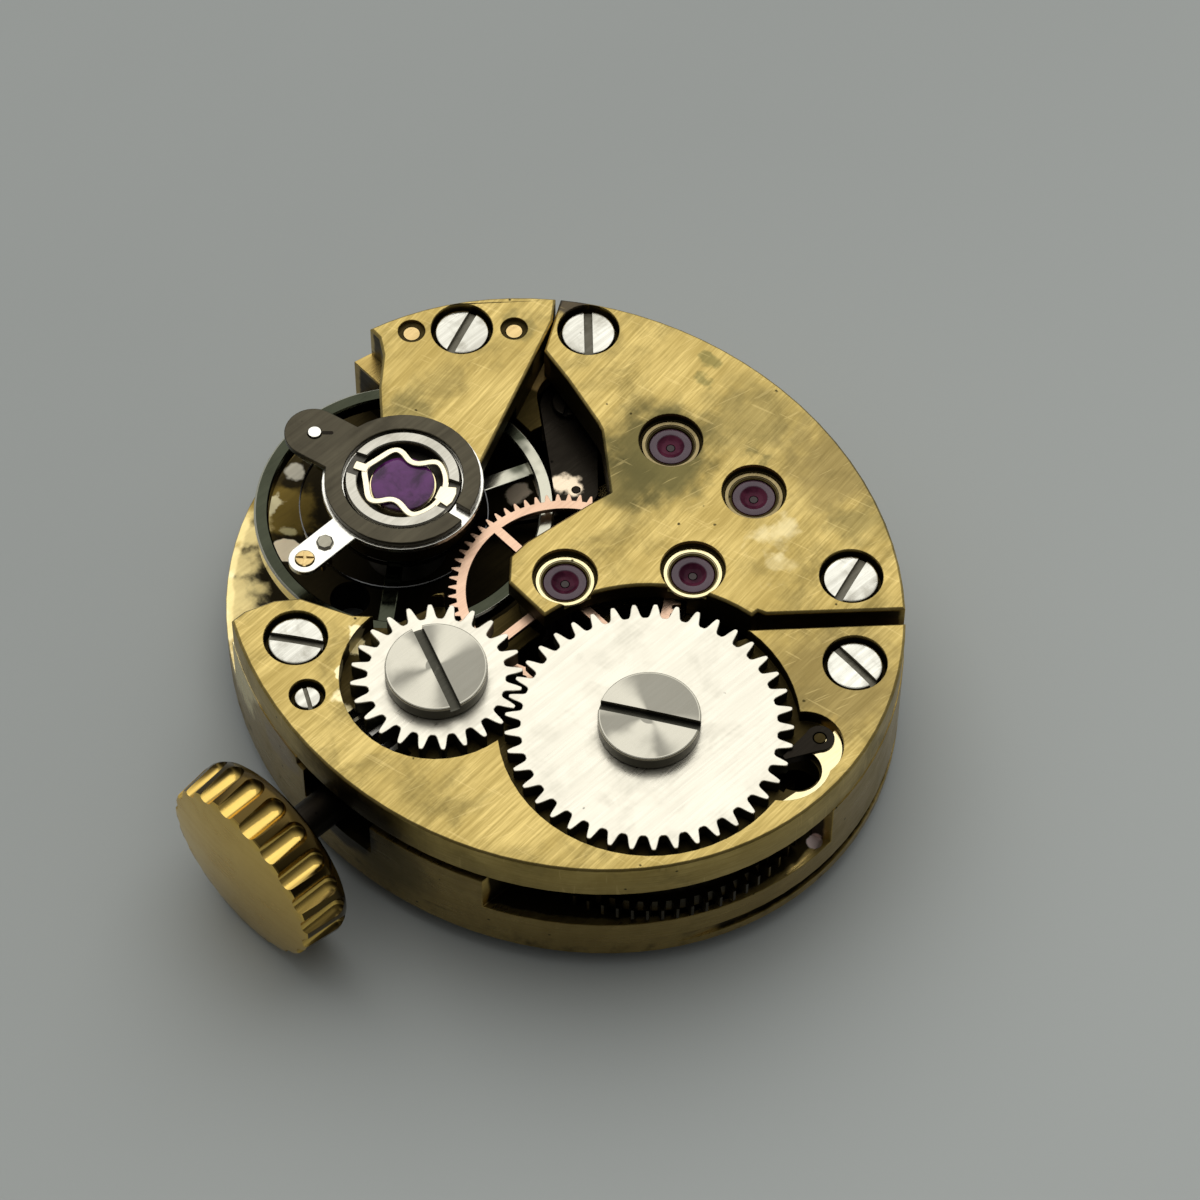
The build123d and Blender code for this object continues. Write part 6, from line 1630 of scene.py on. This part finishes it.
@dataclass
class Screws(Assembly):
    """Every screw that shows.

    Attributes:
        bridge: Sizes of a bridge screw.
        small: Sizes of the setting lever's screw.
        big: Sizes of a winding wheel's screw.
        pallet: Sizes of the pallet bridge's screw.
        cover: Sizes of a cover screw, made upright and turned over.
        bridge_places: Middles and slot directions of the bridge screws.
        lever_place: Middle of the setting lever's screw.
        pallet_place: Middle of the pallet bridge's screw.
        cover_places: Middles and slot directions of the cover screws.
    """

    bridge: ScrewSize = ScrewSize(0.565, 3.17, 0.34, 0.30, 1.48, 0.185, 0.12, 0.045, 0.02)
    small: ScrewSize = ScrewSize(0.262, 3.16, 0.24, 0.16, 0.20, 0.09, 0.08, 0.03, 0.01)
    big: ScrewSize = ScrewSize(1.04, 3.62, 0.37, 0.24, 2.63, 0.22, 0.17, 0.03, 0.012)
    pallet: ScrewSize = ScrewSize(0.36, 2.18, 0.16, 0.17, 1.48, 0.09, 0.08, 0.03, 0.008)
    cover: ScrewSize = ScrewSize(0.24, 0.02, 0.04, 0.12, -0.46, 0.07, 0.025, 0.01, 0.0)
    bridge_places: tuple[tuple[Point, float], ...] = (
        ((4.6398, 4.2525), 48), ((4.29, -3.9975), 18), ((2.8578, -5.55), 88), ((-5.0226, 2.6325), -54),
        ((2.6994, 6.0975), 22))
    lever_place: Point = (-5.7552, 1.4475)
    pallet_place: Point = (3.597, 3.75)
    cover_places: tuple[tuple[Point, float], ...] = (((-3.102, 1.2375), 20), ((-3.036, -1.6875), 75))

    def build(self) -> None:
        """Make every screw."""
        looks = self.finishes
        for number, (place, turn) in enumerate(self.bridge_places, 1):
            nodes = ["bridge_screws"] if number == 1 else []
            self._place(self.bridge.blank(place, turn), f"bridge_screw_{number}", looks.head_steel, nodes)
        for size, place, turn, name, body, look in (
                (self.small, self.lever_place, 63, "setting_lever_screw", Body.PLATE, looks.head_steel),
                (self.big, RATCHET_AXIS, -57, "ratchet_screw", Body.RATCHET, looks.big_screws["ratchet"]),
                (self.big, CROWN_WHEEL_AXIS, 70, "crown_wheel_screw", Body.PLATE,
                 looks.big_screws["crown_wheel"]),
                (self.pallet, self.pallet_place, 35, "pallet_bridge_screw", Body.PLATE, looks.blade)):
            self._place(size.blank(place, turn), f"{name}_finished", look, [name], body)
        for number, (place, turn) in enumerate(self.cover_places, 1):
            nodes = ["keyless_screws"] if number == 1 else []
            screw = self.cover.blank((0, 0), turn).turned_over(0.0).placed(place)
            self._place(screw, f"cover_screw_{number}", looks.head_steel, nodes)

    def _place(self, screw: Blank, name: str, look: bpy.types.Material, nodes: Sequence[str],
               body: Body = Body.PLATE) -> None:
        """Finish one screw as a piece with the given finish."""
        screw.piece(name, body.value, look, nodes, "polished_steel")


@dataclass
class WindingWheels(Assembly):
    """The ratchet wheel, the crown wheel and the click.

    Attributes:
        ratchet_teeth: The ratchet wheel's teeth.
        crown_teeth: The crown wheel's teeth.
        top: Height of both wheels' tops.
        ratchet_low: Underside of the ratchet wheel.
        crown_low: Underside of the crown wheel.
        square: Side of the ratchet wheel's hole.
        seat_hole: Radius of the crown wheel's hole.
    """

    ratchet_teeth: Toothing = Toothing(41, 2.9138, 2.590)
    crown_teeth: Toothing = Toothing(24, 1.7510, 1.405)
    top: float = 3.23
    ratchet_low: float = 2.93
    crown_low: float = 2.82
    square: float = 0.82
    seat_hole: float = 0.77

    def build(self) -> None:
        """Make the two wheels and finish the click."""
        looks = self.finishes
        hole = Blank.box((self.square, self.square, 2.0), (0, 0, self.top))
        ratchet = Blank.toothed(self.ratchet_teeth, self.ratchet_low, self.top).carved(hole)
        ratchet.softened(0.016).placed(RATCHET_AXIS).piece(
            "ratchet_wheel_finished", Body.RATCHET.value, looks.wheel_steel, ["ratchet_wheel"],
            "bright_steel")
        bore = Blank.rod(self.seat_hole, self.crown_low - 1, self.top + 1)
        wheel = Blank.toothed(self.crown_teeth, self.crown_low, self.top).carved(bore)
        wheel.softened(0.016).spun(self._crown_turn()).placed(CROWN_WHEEL_AXIS).piece(
            "crown_wheel_finished", Body.CROWN_WHEEL.value, looks.wheel_steel, ["crown_wheel"],
            "bright_steel")
        softened_copy("click", looks.blade, 0.012, 2, "dark_steel")
        softened_copy("click_spring", looks.blade, 0.006, 1, "spring_steel")

    def _crown_turn(self) -> float:
        """Set the crown wheel's teeth into the ratchet wheel's gaps.

        Returns:
            The turn in degrees.
        """
        start, end = RATCHET_AXIS, CROWN_WHEEL_AXIS
        line = math.degrees(math.atan2(end[1] - start[1], end[0] - start[0]))
        share = (line * self.ratchet_teeth.teeth / 360) % 1
        return line + 180 + (share + 0.5) * 360 / self.crown_teeth.teeth


@dataclass
class Jewels(Assembly):
    """The hole jewels of the train bridge.

    Attributes:
        upper: Middles of the upper jewels.
        radius: Jewel radius.
        top: Height of an upper jewel's top.
        height: Height of a jewel.
        hole: Radius of the pivot hole.
        cup: Radius of the oil cup.
        cup_depth: Depth of the oil cup.
    """

    upper: tuple[Point, ...] = TRAIN_AXES
    radius: float = 0.447
    top: float = 3.03
    height: float = 0.22
    hole: float = 0.10
    cup: float = 0.29
    cup_depth: float = 0.075

    def build(self) -> None:
        """Make the jewels of the train bridge."""
        for number, place in enumerate(self.upper, 1):
            nodes = ["upper_jewels"] if number == 1 else []
            self._jewel().placed(place).piece(f"upper_jewel_{number}", Body.PLATE.value, self.finishes.ruby,
                                              nodes, "ruby")

    def _jewel(self) -> Blank:
        """Make one jewel with its rounded rim and oil cup.

        Returns:
            The jewel about the origin.
        """
        low = self.top - self.height
        profile = [(self.hole, low), (self.radius, low), (self.radius, self.top - 0.03),
                   (self.radius - 0.012, self.top - 0.008), (self.radius - 0.035, self.top),
                   (self.cup + 0.02, self.top), (self.cup, self.top - 0.006)]
        for step in range(1, 6):
            share = 1 - step / 6
            radius = self.hole + (self.cup - self.hole) * share
            profile.append((radius, self.top - 0.006 - self.cup_depth * (1 - share ** 2)))
        profile.append((self.hole, self.top - 0.006 - self.cup_depth))
        return Blank.turned(profile, closed=True)


@dataclass
class ShockBearings(Assembly):
    """The balance's two shock bearings.

    Attributes:
        span: Height that a piece and its lower twin add up to.
        block_radius: Outer radius of a block.
        neck_radius: Radius of its neck.
        cavity_radius: Radius of its hollow.
        block_top: Height of its top.
        flange_low: Underside of its flange.
        neck_low: Underside of its neck.
        setting_low: Underside of the setting.
        setting_bore: Radius of the block's bore.
        cap_radius: Radius of the cap jewel.
        cap_low: Underside of the cap jewel.
        cap_top: Height of the cap jewel's edge.
        lyre_turn: Direction of the lyre in degrees.
        lyre_level: Height of the lyre's wire.
        lyre_wire: The wire's diameter.
        lyre_half: Half of the lyre as shares of the hollow's radius.
    """

    span: float = 3.55
    block_radius: float = 1.20
    neck_radius: float = 0.85
    cavity_radius: float = 0.95
    block_top: float = 3.50
    flange_low: float = 3.05
    neck_low: float = 2.80
    setting_low: float = 3.14
    setting_bore: float = 0.30
    cap_radius: float = 0.66
    cap_low: float = 3.262
    cap_top: float = 3.375
    lyre_turn: float = 25.0
    lyre_level: float = 3.412
    lyre_wire: float = 0.14
    lyre_half: tuple[Point, ...] = (
        (0.07, 0.84), (0.20, 0.76), (0.44, 0.62), (0.72, 0.47), (0.66, 0.24), (0.50, 0.08), (0.50, -0.14),
        (0.66, -0.34), (0.74, -0.54), (0.50, -0.76), (0.22, -0.90))

    def build(self) -> None:
        """Make the pieces of both bearings."""
        looks = self.finishes
        self._pair(self._block, "shock_block", looks.grey_steel, "shock_blocks", "grey_steel")
        self._pair(self._ring, "cap_setting", looks.bright_brass, "shock_settings", "bare_brass")
        self._pair(self._cap, "cap_jewel", looks.cap_ruby, "cap_jewels", "ruby")
        self._pair(self._lyre, "lyre_spring", looks.pale_gold, "shock_springs", "rose_gold")

    def _pair(self, maker: Callable[[], Blank], name: str, material: bpy.types.Material, node: str,
              slot: str) -> None:
        """Place a piece above and its twin below.

        Args:
            maker: Method that makes the upper solid.
            name: Name of the pieces.
            material: Their finish.
            node: The node that they stand for.
            slot: The record's material slot.
        """
        body = Body.PLATE.value
        maker().placed(BALANCE_AXIS).piece(f"{name}_upper", body, material, [node], slot)
        lower = maker().turned_over(self.span).placed(BALANCE_AXIS)
        lower.piece(f"{name}_lower", body, material, [], slot)

    def _block(self) -> Blank:
        """Turn the block with its stepped inner wall and the spring's two gaps.

        Returns:
            The block about the origin.
        """
        top, outer, cavity = self.block_top, self.block_radius, self.cavity_radius
        profile = [(self.setting_bore, self.neck_low), (self.neck_radius, self.neck_low),
                   (self.neck_radius, self.flange_low), (outer, self.flange_low), (outer, top - 0.03),
                   (outer - 0.03, top), (cavity + 0.02, top), (cavity, top - 0.02),
                   (cavity, self.setting_low), (self.setting_bore, self.setting_low)]
        reach = self.block_radius - 0.06
        gap = Blank.box((0.50, 0.56, 0.20), (reach, 0, self.block_top)).spun(self.lyre_turn + 90)
        other = Blank.box((0.50, 0.74, 0.20), (reach, 0, self.block_top)).spun(self.lyre_turn - 90)
        return Blank.turned(profile, 128, closed=True).carved(gap, other).softened(0.010)

    def _ring(self) -> Blank:
        """Turn the bright setting that holds the cap jewel.

        Returns:
            The ring about the origin.
        """
        rim = self.cap_radius + 0.05
        low, high = self.setting_low + 0.002, self.cap_low - 0.004
        profile = [(0.10, low), (rim, low), (rim, high - 0.026), (rim - 0.02, high), (0.12, high),
                   (0.10, high - 0.016)]
        return Blank.turned(profile, closed=True)

    def _cap(self) -> Blank:
        """Turn the domed cap jewel.

        Returns:
            The jewel about the origin.
        """
        radius = self.cap_radius
        edge = self.cap_top - 0.05
        rise = self.cap_top + 0.01 - edge
        profile = [(0, self.cap_low), (radius - 0.01, self.cap_low), (radius, self.cap_low + 0.01),
                   (radius, edge)]
        for step in range(7, -1, -1):
            share = step / 8
            profile.append((radius * share, edge + rise * math.sqrt(1 - share ** 2)))
        return Blank.turned(profile)

    def _lyre(self) -> Blank:
        """Bend the lyre-shaped wire and its hinge.

        Returns:
            The spring about the origin.
        """
        half = list(self.lyre_half)
        other = [(-x, y) for x, y in reversed(half)]
        wire = Blank.wire(half + other, self.lyre_level, self.lyre_wire, 0.42)
        hinge = [(-0.16, -0.78), (0.16, -0.78), (0.26, -1.10), (0.10, -1.16), (-0.10, -1.16), (-0.26, -1.10)]
        tab = Blank.slab(hinge, self.lyre_level - 0.028, self.lyre_level + 0.028)
        clip = Blank.box((0.20, 0.30, 0.07), (0, 0.93, self.lyre_level))
        return wire.joined(tab.softened(0.012), clip.softened(0.014)).spun(self.lyre_turn)


@dataclass
class Regulator(Assembly):
    """The regulator, the stud carrier and their pins.

    Attributes:
        arm_turn: Direction of the regulator's arm.
        screw_reach: Where the brass pin sits along the arm.
        pin_reach: Where the grey pin sits along the arm.
        top: Height of the regulator's top.
        stud_turn: Direction of the stud.
        stud_top: Height of the carrier's top.
        end_radius: Radius of the arm's round end.
        slot_turn: Direction of the slot beside the stud.
        screw_radius: Radius of the brass pin's head.
        head_radius: Radius of the grey pin's head.
        stud_radius: Radius of the stud.
        curb_gap: Half of the way between the two curb pins.
        curb_radius: Radius of a curb pin.
        low: Lower end of the curb pins.
    """

    arm_turn: float = 181.0
    screw_reach: float = 2.74
    pin_reach: float = 2.18
    top: float = 3.37
    stud_turn: float = 105.0
    stud_top: float = 3.52
    end_radius: float = 0.34
    slot_turn: float = -43.6
    screw_radius: float = 0.19
    head_radius: float = 0.185
    stud_radius: float = 0.14
    curb_gap: float = 0.09
    curb_radius: float = 0.05
    low: float = 2.50

    def build(self) -> None:
        """Finish the regulator and the carrier and make their pins."""
        looks = self.finishes
        self._arm().piece("regulator_finished", Body.REGULATOR.value, looks.bright_steel, ["regulator"],
                          "bright_steel")
        softened_copy("stud_carrier", looks.dark_steel, 0.016, 2, "dark_steel")
        # A dark sheet: painted shade in the slot beside the stud.
        self._slot_mark().piece("stud_slot", Body.CARRIER.value, looks.blade, (), "dark_steel")
        screw = self._dome(self.screw_radius, self.top + 0.05, 0.012)
        for turn in (45, 135):
            screw = screw.carved(Blank.box((0.5, 0.062, 0.10), (0, 0, self.top + 0.055), turn))
        screw.placed(self._along(self.screw_reach)).piece(
            "regulator_screw", Body.REGULATOR.value, looks.pin_brass, ["regulator_pins"], "rose_gold")
        radius, top = self.head_radius, self.top
        head = Blank.turned([(0, top - 0.1), (radius, top - 0.1), (radius, top + 0.035),
                             (radius - 0.035, top + 0.06), (0, top + 0.062)], 8)
        head.placed(self._along(self.pin_reach)).piece(
            "curb_pin_head", Body.REGULATOR.value, looks.pin_steel, (), "grey_steel")
        pins = Blank()
        radius, low, high = self.curb_radius, self.low, 3.25
        for reach in (self.pin_reach - self.curb_gap, self.pin_reach + self.curb_gap):
            profile = [(0, low), (radius - 0.005, low), (radius, low + 0.01), (radius, high), (0, high)]
            pins.joined(Blank.turned(profile, 24).placed(self._along(reach)))
        pins.piece("curb_pins", Body.REGULATOR.value, looks.pin_brass, (), "rose_gold")
        stud = self._dome(self.stud_radius, self.stud_top + 0.05, 0.01, self.low + 0.05)
        stud.placed(polar(BALANCE_AXIS, self.pin_reach, self.stud_turn)).piece(
            "hairspring_stud_finished", Body.CARRIER.value, looks.bright_steel, ["hairspring_stud"],
            "bright_steel")

    def _along(self, reach: float) -> Point:
        """Find the place at a reach along the regulator's arm."""
        return polar(BALANCE_AXIS, reach, self.arm_turn)

    def _arm(self) -> Blank:
        """Round the end of the regulator's arm.

        Returns:
            The regulator.
        """
        corners = Blank.box((1.0, 1.2, 1.0), (self.screw_reach + 0.5, 0, self.top))
        kept = Blank.rod(self.end_radius, self.top - 1, self.top + 1, 64).placed((self.screw_reach, 0))
        cutter = corners.carved(kept).spun(self.arm_turn).placed(BALANCE_AXIS)
        return Blank.of_node("regulator").carved(cutter).softened(0.014, 2, 32.0, clamp=False)

    def _slot_mark(self) -> Blank:
        """Make a dark sheet on the floor of the short slot beside the stud, as painted shade.

        Returns:
            The thin oval floor.
        """
        stud = polar(BALANCE_AXIS, self.pin_reach, self.stud_turn)
        half = 0.085 / 2
        outline = [polar((0.08 * side, 0), half, turn + step * 15) for side, turn in ((1, -90), (-1, 90))
                   for step in range(13)]
        floor = Blank.slab(outline, self.stud_top - 0.01, self.stud_top + 0.003)
        return floor.spun(self.slot_turn).placed(polar(stud, 0.27, self.slot_turn))

    def _dome(self, radius: float, top: float, crown: float, low: Optional[float] = None) -> Blank:
        """Turn a round pin with a slightly domed, rounded head.

        Args:
            radius: Its radius.
            top: Height of its top.
            crown: Rise of its middle.
            low: Height of its lower end.

        Returns:
            The pin about the origin.
        """
        bottom = top - 0.17 if low is None else low
        edge = top - crown
        profile = [(0, bottom), (radius, bottom), (radius, edge - 0.018), (radius - 0.006, edge - 0.005),
                   (radius - 0.02, edge), (radius * 0.5, top - crown * 0.25), (0, top)]
        return Blank.turned(profile, 64)


@dataclass
class Balance(Assembly):
    """The balance wheel and its hairspring.

    Attributes:
        radius: Outer radius of the rim.
        rim: Width of the rim.
        low: Underside of the rim.
        high: Top of the rim.
        arm_low: Underside of the arms.
        arm_high: Top of the arms.
        arm_turns: Directions of the arms.
        arm_width: Width of an arm.
        hub: Radius of the hub.
        staff: Radius of the hole for the staff.
        bevel: Bevel of the rim's edges.
        spring_low: Lower edge of the hairspring.
        spring_high: Its upper edge.
        pinned_radius: Radius of its pinned end.
        body_radius: Radius of its widest coil.
        collet_radius: Radius of its inner end.
        coils: Its coil count.
        stud_turn: Direction of its pinned end.
        pin_turn: Direction where it leaves the pins.
    """

    radius: float = 3.13
    rim: float = 0.30
    low: float = 2.08
    high: float = 2.45
    arm_low: float = 2.15
    arm_high: float = 2.30
    arm_turns: tuple[float, ...] = (-20, 100, 220)
    arm_width: float = 0.34
    hub: float = 0.45
    staff: float = 0.17
    bevel: float = 0.035
    spring_low: float = 2.55
    spring_high: float = 2.65
    pinned_radius: float = 2.18
    body_radius: float = 1.62
    collet_radius: float = 0.34
    coils: int = 12
    stud_turn: float = 109.0
    pin_turn: float = 195.0

    def build(self) -> None:
        """Make the wheel and the spring."""
        looks = self.finishes
        bevel, low, high = self.bevel, self.low, self.high
        inner, outer = self.radius - self.rim, self.radius
        profile = [(inner + bevel, low), (outer - bevel, low), (outer, low + bevel), (outer, high - bevel),
                   (outer - bevel, high), (inner + bevel, high), (inner, high - bevel), (inner, low + bevel)]
        wheel = Blank.turned(profile, 256, closed=True)
        low, high = self.arm_low, self.arm_high
        hub = [(self.staff, low), (self.hub, low), (self.hub, high - 0.02), (self.hub - 0.02, high),
               (self.staff, high)]
        wheel.joined(Blank.turned(hub, closed=True))
        for turn in self.arm_turns:
            reach = inner + self.rim / 2
            start = self.hub - 0.06
            middle = ((start + reach) / 2, 0, (low + high) / 2)
            arm = Blank.box((reach - start, self.arm_width, high - low), middle)
            wheel.joined(arm.softened(0.025).spun(turn))
        wheel.placed(BALANCE_AXIS).piece("balance_wheel_finished", Body.BALANCE.value, looks.rim,
                                         ["balance_wheel"], "grey_steel")
        Blank.ribbon(self._spiral(), self.spring_low, self.spring_high, 0.022).placed(BALANCE_AXIS).piece(
            "hairspring_finished", Body.BALANCE.value, looks.spring, ["hairspring"], "spring_steel")

    def _spiral(self) -> list[Point]:
        """List the hairspring's line from the stud to the collet.

        Returns:
            Places about the balance's axis.
        """
        line = []
        pinned = int((self.pin_turn - self.stud_turn) / 5)
        for step in range(pinned):
            line.append(polar((0, 0), self.pinned_radius, self.stud_turn + 5 * step))
        for step in range(36):
            share = step / 36
            easing = share * share * (3 - 2 * share)
            radius = self.pinned_radius + (self.body_radius - self.pinned_radius) * easing
            line.append(polar((0, 0), radius, self.pin_turn + 5 * step))
        count = self.coils * 60
        for step in range(count + 1):
            radius = self.body_radius + (self.collet_radius - self.body_radius) * step / count
            line.append(polar((0, 0), radius, self.pin_turn + 180 + 6 * step))
        return line


@dataclass
class CentreWheel(Assembly):
    """The rose gold wheel between the bridges.

    Attributes:
        teeth: Its teeth.
        low: Underside.
        high: Top.
        rim_inner: Inner radius of the rim.
        hub: Radius of the hub.
        arms: Count of the arms.
        arm_width: Width of an arm.
        bore: Radius of its hole.
    """

    teeth: Toothing = Toothing(64, 2.4086, 2.2404,
                               ((0.0, 0.58), (0.3, 0.46), (0.6, 0.34), (0.88, 0.22), (1.0, 0.10)))
    low: float = 2.61
    high: float = 2.73
    rim_inner: float = 2.04
    hub: float = 0.42
    arms: int = 4
    arm_width: float = 0.20
    bore: float = 0.23

    def build(self) -> None:
        """Cut the wheel's windows and finish it."""
        blank = Blank.toothed(self.teeth, self.low, self.high)
        windows = [Blank.slab(self._window(arm), self.low - 1, self.high + 1) for arm in range(self.arms)]
        bore = Blank.rod(self.bore, self.low - 1, self.high + 1, 64)
        wheel = blank.carved(*windows, bore).softened(0.010)
        wheel.piece("centre_wheel_finished", Body.CENTRE.value, self.finishes.rose, ["centre_wheel"],
                    "rose_gold")

    def _window(self, arm: int) -> list[Point]:
        """Outline the opening after an arm.

        Args:
            arm: The arm's number.

        Returns:
            The outline's corners.
        """
        pitch = 360 / self.arms
        outline = []
        for radius, steps in ((self.rim_inner, range(0, 25)), (self.hub, range(24, -1, -1))):
            edge = math.degrees(math.asin(self.arm_width / 2 / radius))
            for step in steps:
                turn = arm * pitch + edge + (pitch - 2 * edge) * step / 24
                outline.append(polar((0, 0), radius, turn))
        return outline


@dataclass
class CrownPiece(Assembly):
    """The fluted crown.

    Attributes:
        face: Place of the flat face's rim along X.
        radius: Radius over the ridges.
        taper: How much smaller the face is.
        length: Length of the fluted part.
        dome: Rise of the face.
        flutes: Count of the flutes.
        flute_depth: Depth of a flute.
        cutter_radius: Radius of the rod that cuts a flute.
        flute_share: Share of the length that a flute takes.
        bore: Radius of its hole.
    """

    face: float = -8.93
    radius: float = 2.10
    taper: float = 0.08
    length: float = 1.20
    dome: float = 0.16
    flutes: int = 20
    flute_depth: float = 0.20
    cutter_radius: float = 0.262
    flute_share: float = 0.86
    bore: float = 0.31

    def build(self) -> None:
        """Turn the crown, cut its flutes and lay it on the stem."""
        body = Blank.turned(self._profile(), 240)
        cuts = Blank()
        reach = self.radius - self.flute_depth + self.cutter_radius
        for number in range(self.flutes):
            turn = (number + 0.5) * 360 / self.flutes
            cuts.joined(self._cutter().placed(polar((0, 0), reach, turn)))
        crown = body.carved(cuts).softened(0.014, 2, 28.0)
        crown.laid_along_x(self.face, STEM_HEIGHT).piece(
            "crown_finished", Body.STEM.value, self.finishes.gold, ["crown"], "crown_gold")

    def _profile(self) -> list[Point]:
        """List the crown's section.

        Returns:
            Pairs of radius and height, the face at the bottom.
        """
        outer, end = self.radius, self.length
        rim = outer - self.taper
        shares = [step / 12 for step in range(13)]
        line = [((rim - 0.06) * share, -self.dome * (1 - share ** 2) + 0.01) for share in shares]
        line += [(rim - 0.025, 0.028), (rim - 0.005, 0.055), (rim + 0.005, 0.10), (outer - 0.03, end * 0.45)]
        line += [(outer - inwards, end - back) for inwards, back in (
            (0.0, 0.38), (0.01, 0.28), (0.05, 0.18), (0.12, 0.09), (0.22, 0.03), (0.34, 0.0))]
        line += [(self.bore + 0.05, end), (self.bore, end - 0.05), (self.bore, self.dome), (0, self.dome)]
        return line

    def _cutter(self) -> Blank:
        """Turn the round-ended rod that cuts one flute.

        Returns:
            The cutter about the crown's axis, its end at the flute's end.
        """
        radius = self.cutter_radius
        end = self.length * self.flute_share - radius
        profile = [(0, -1.0), (radius, -1.0)]
        profile += [(radius * math.cos(turn), end + radius * math.sin(turn))
                    for turn in (math.radians(15 * step) for step in range(6))]
        return Blank.turned(profile + [(0, end + radius)], 32)


@dataclass
class CarriedNodes(Assembly):
    """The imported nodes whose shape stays, each with its finish."""

    def build(self) -> None:
        """Give each carried-over node its material."""
        looks = self.finishes
        chosen = {
            looks.wheel_brass: ("escape_wheel", "fourth_wheel", "third_wheel", "minute_wheel", "hour_wheel"),
            looks.pallet_steel_with_highlights: ("pallet_bridge",),
            looks.blade: ("pallet_arbor", "pallet_fork", "stem"),
            looks.drum: ("barrel_drum", "barrel_lid"),
            looks.arbor_steel: ("centre_pinion", "balance_staff", "roller", "collet", "escape_pinion",
                                "fourth_pinion", "third_pinion", "barrel_arbor", "crown_wheel_seat",
                                "cannon_pinion"),
            looks.keyless_steel: ("winding_pinion", "sliding_pinion", "setting_lever", "yoke",
                                  "setting_wheel", "keyless_cover"),
            looks.spring: ("mainspring", "yoke_spring"),
            looks.ruby: ("lower_jewels", "impulse_jewel", "pallet_stones"),
            looks.pin_brass: ("steady_pins",),
        }
        for material, names in chosen.items():
            for name in names:
                data = frame["nodes"][name].data
                data.materials.clear()
                data.materials.append(material)
                LOG.info("node %s takes %s", name, material.name)


def main() -> None:
    """Build the studio and every part of the movement in order."""
    logging.basicConfig(level=logging.INFO, format="%(name)s %(message)s")
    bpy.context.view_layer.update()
    finishes = Finishes()
    Studio(finishes).build()
    CarriedNodes(finishes).build()
    for maker in (Bridges, Screws, WindingWheels, Jewels, ShockBearings, Regulator, Balance, CentreWheel,
                  CrownPiece):
        maker(finishes).build()
        LOG.info("%s done", maker.__name__)


if __name__ == "__main__":
    main()
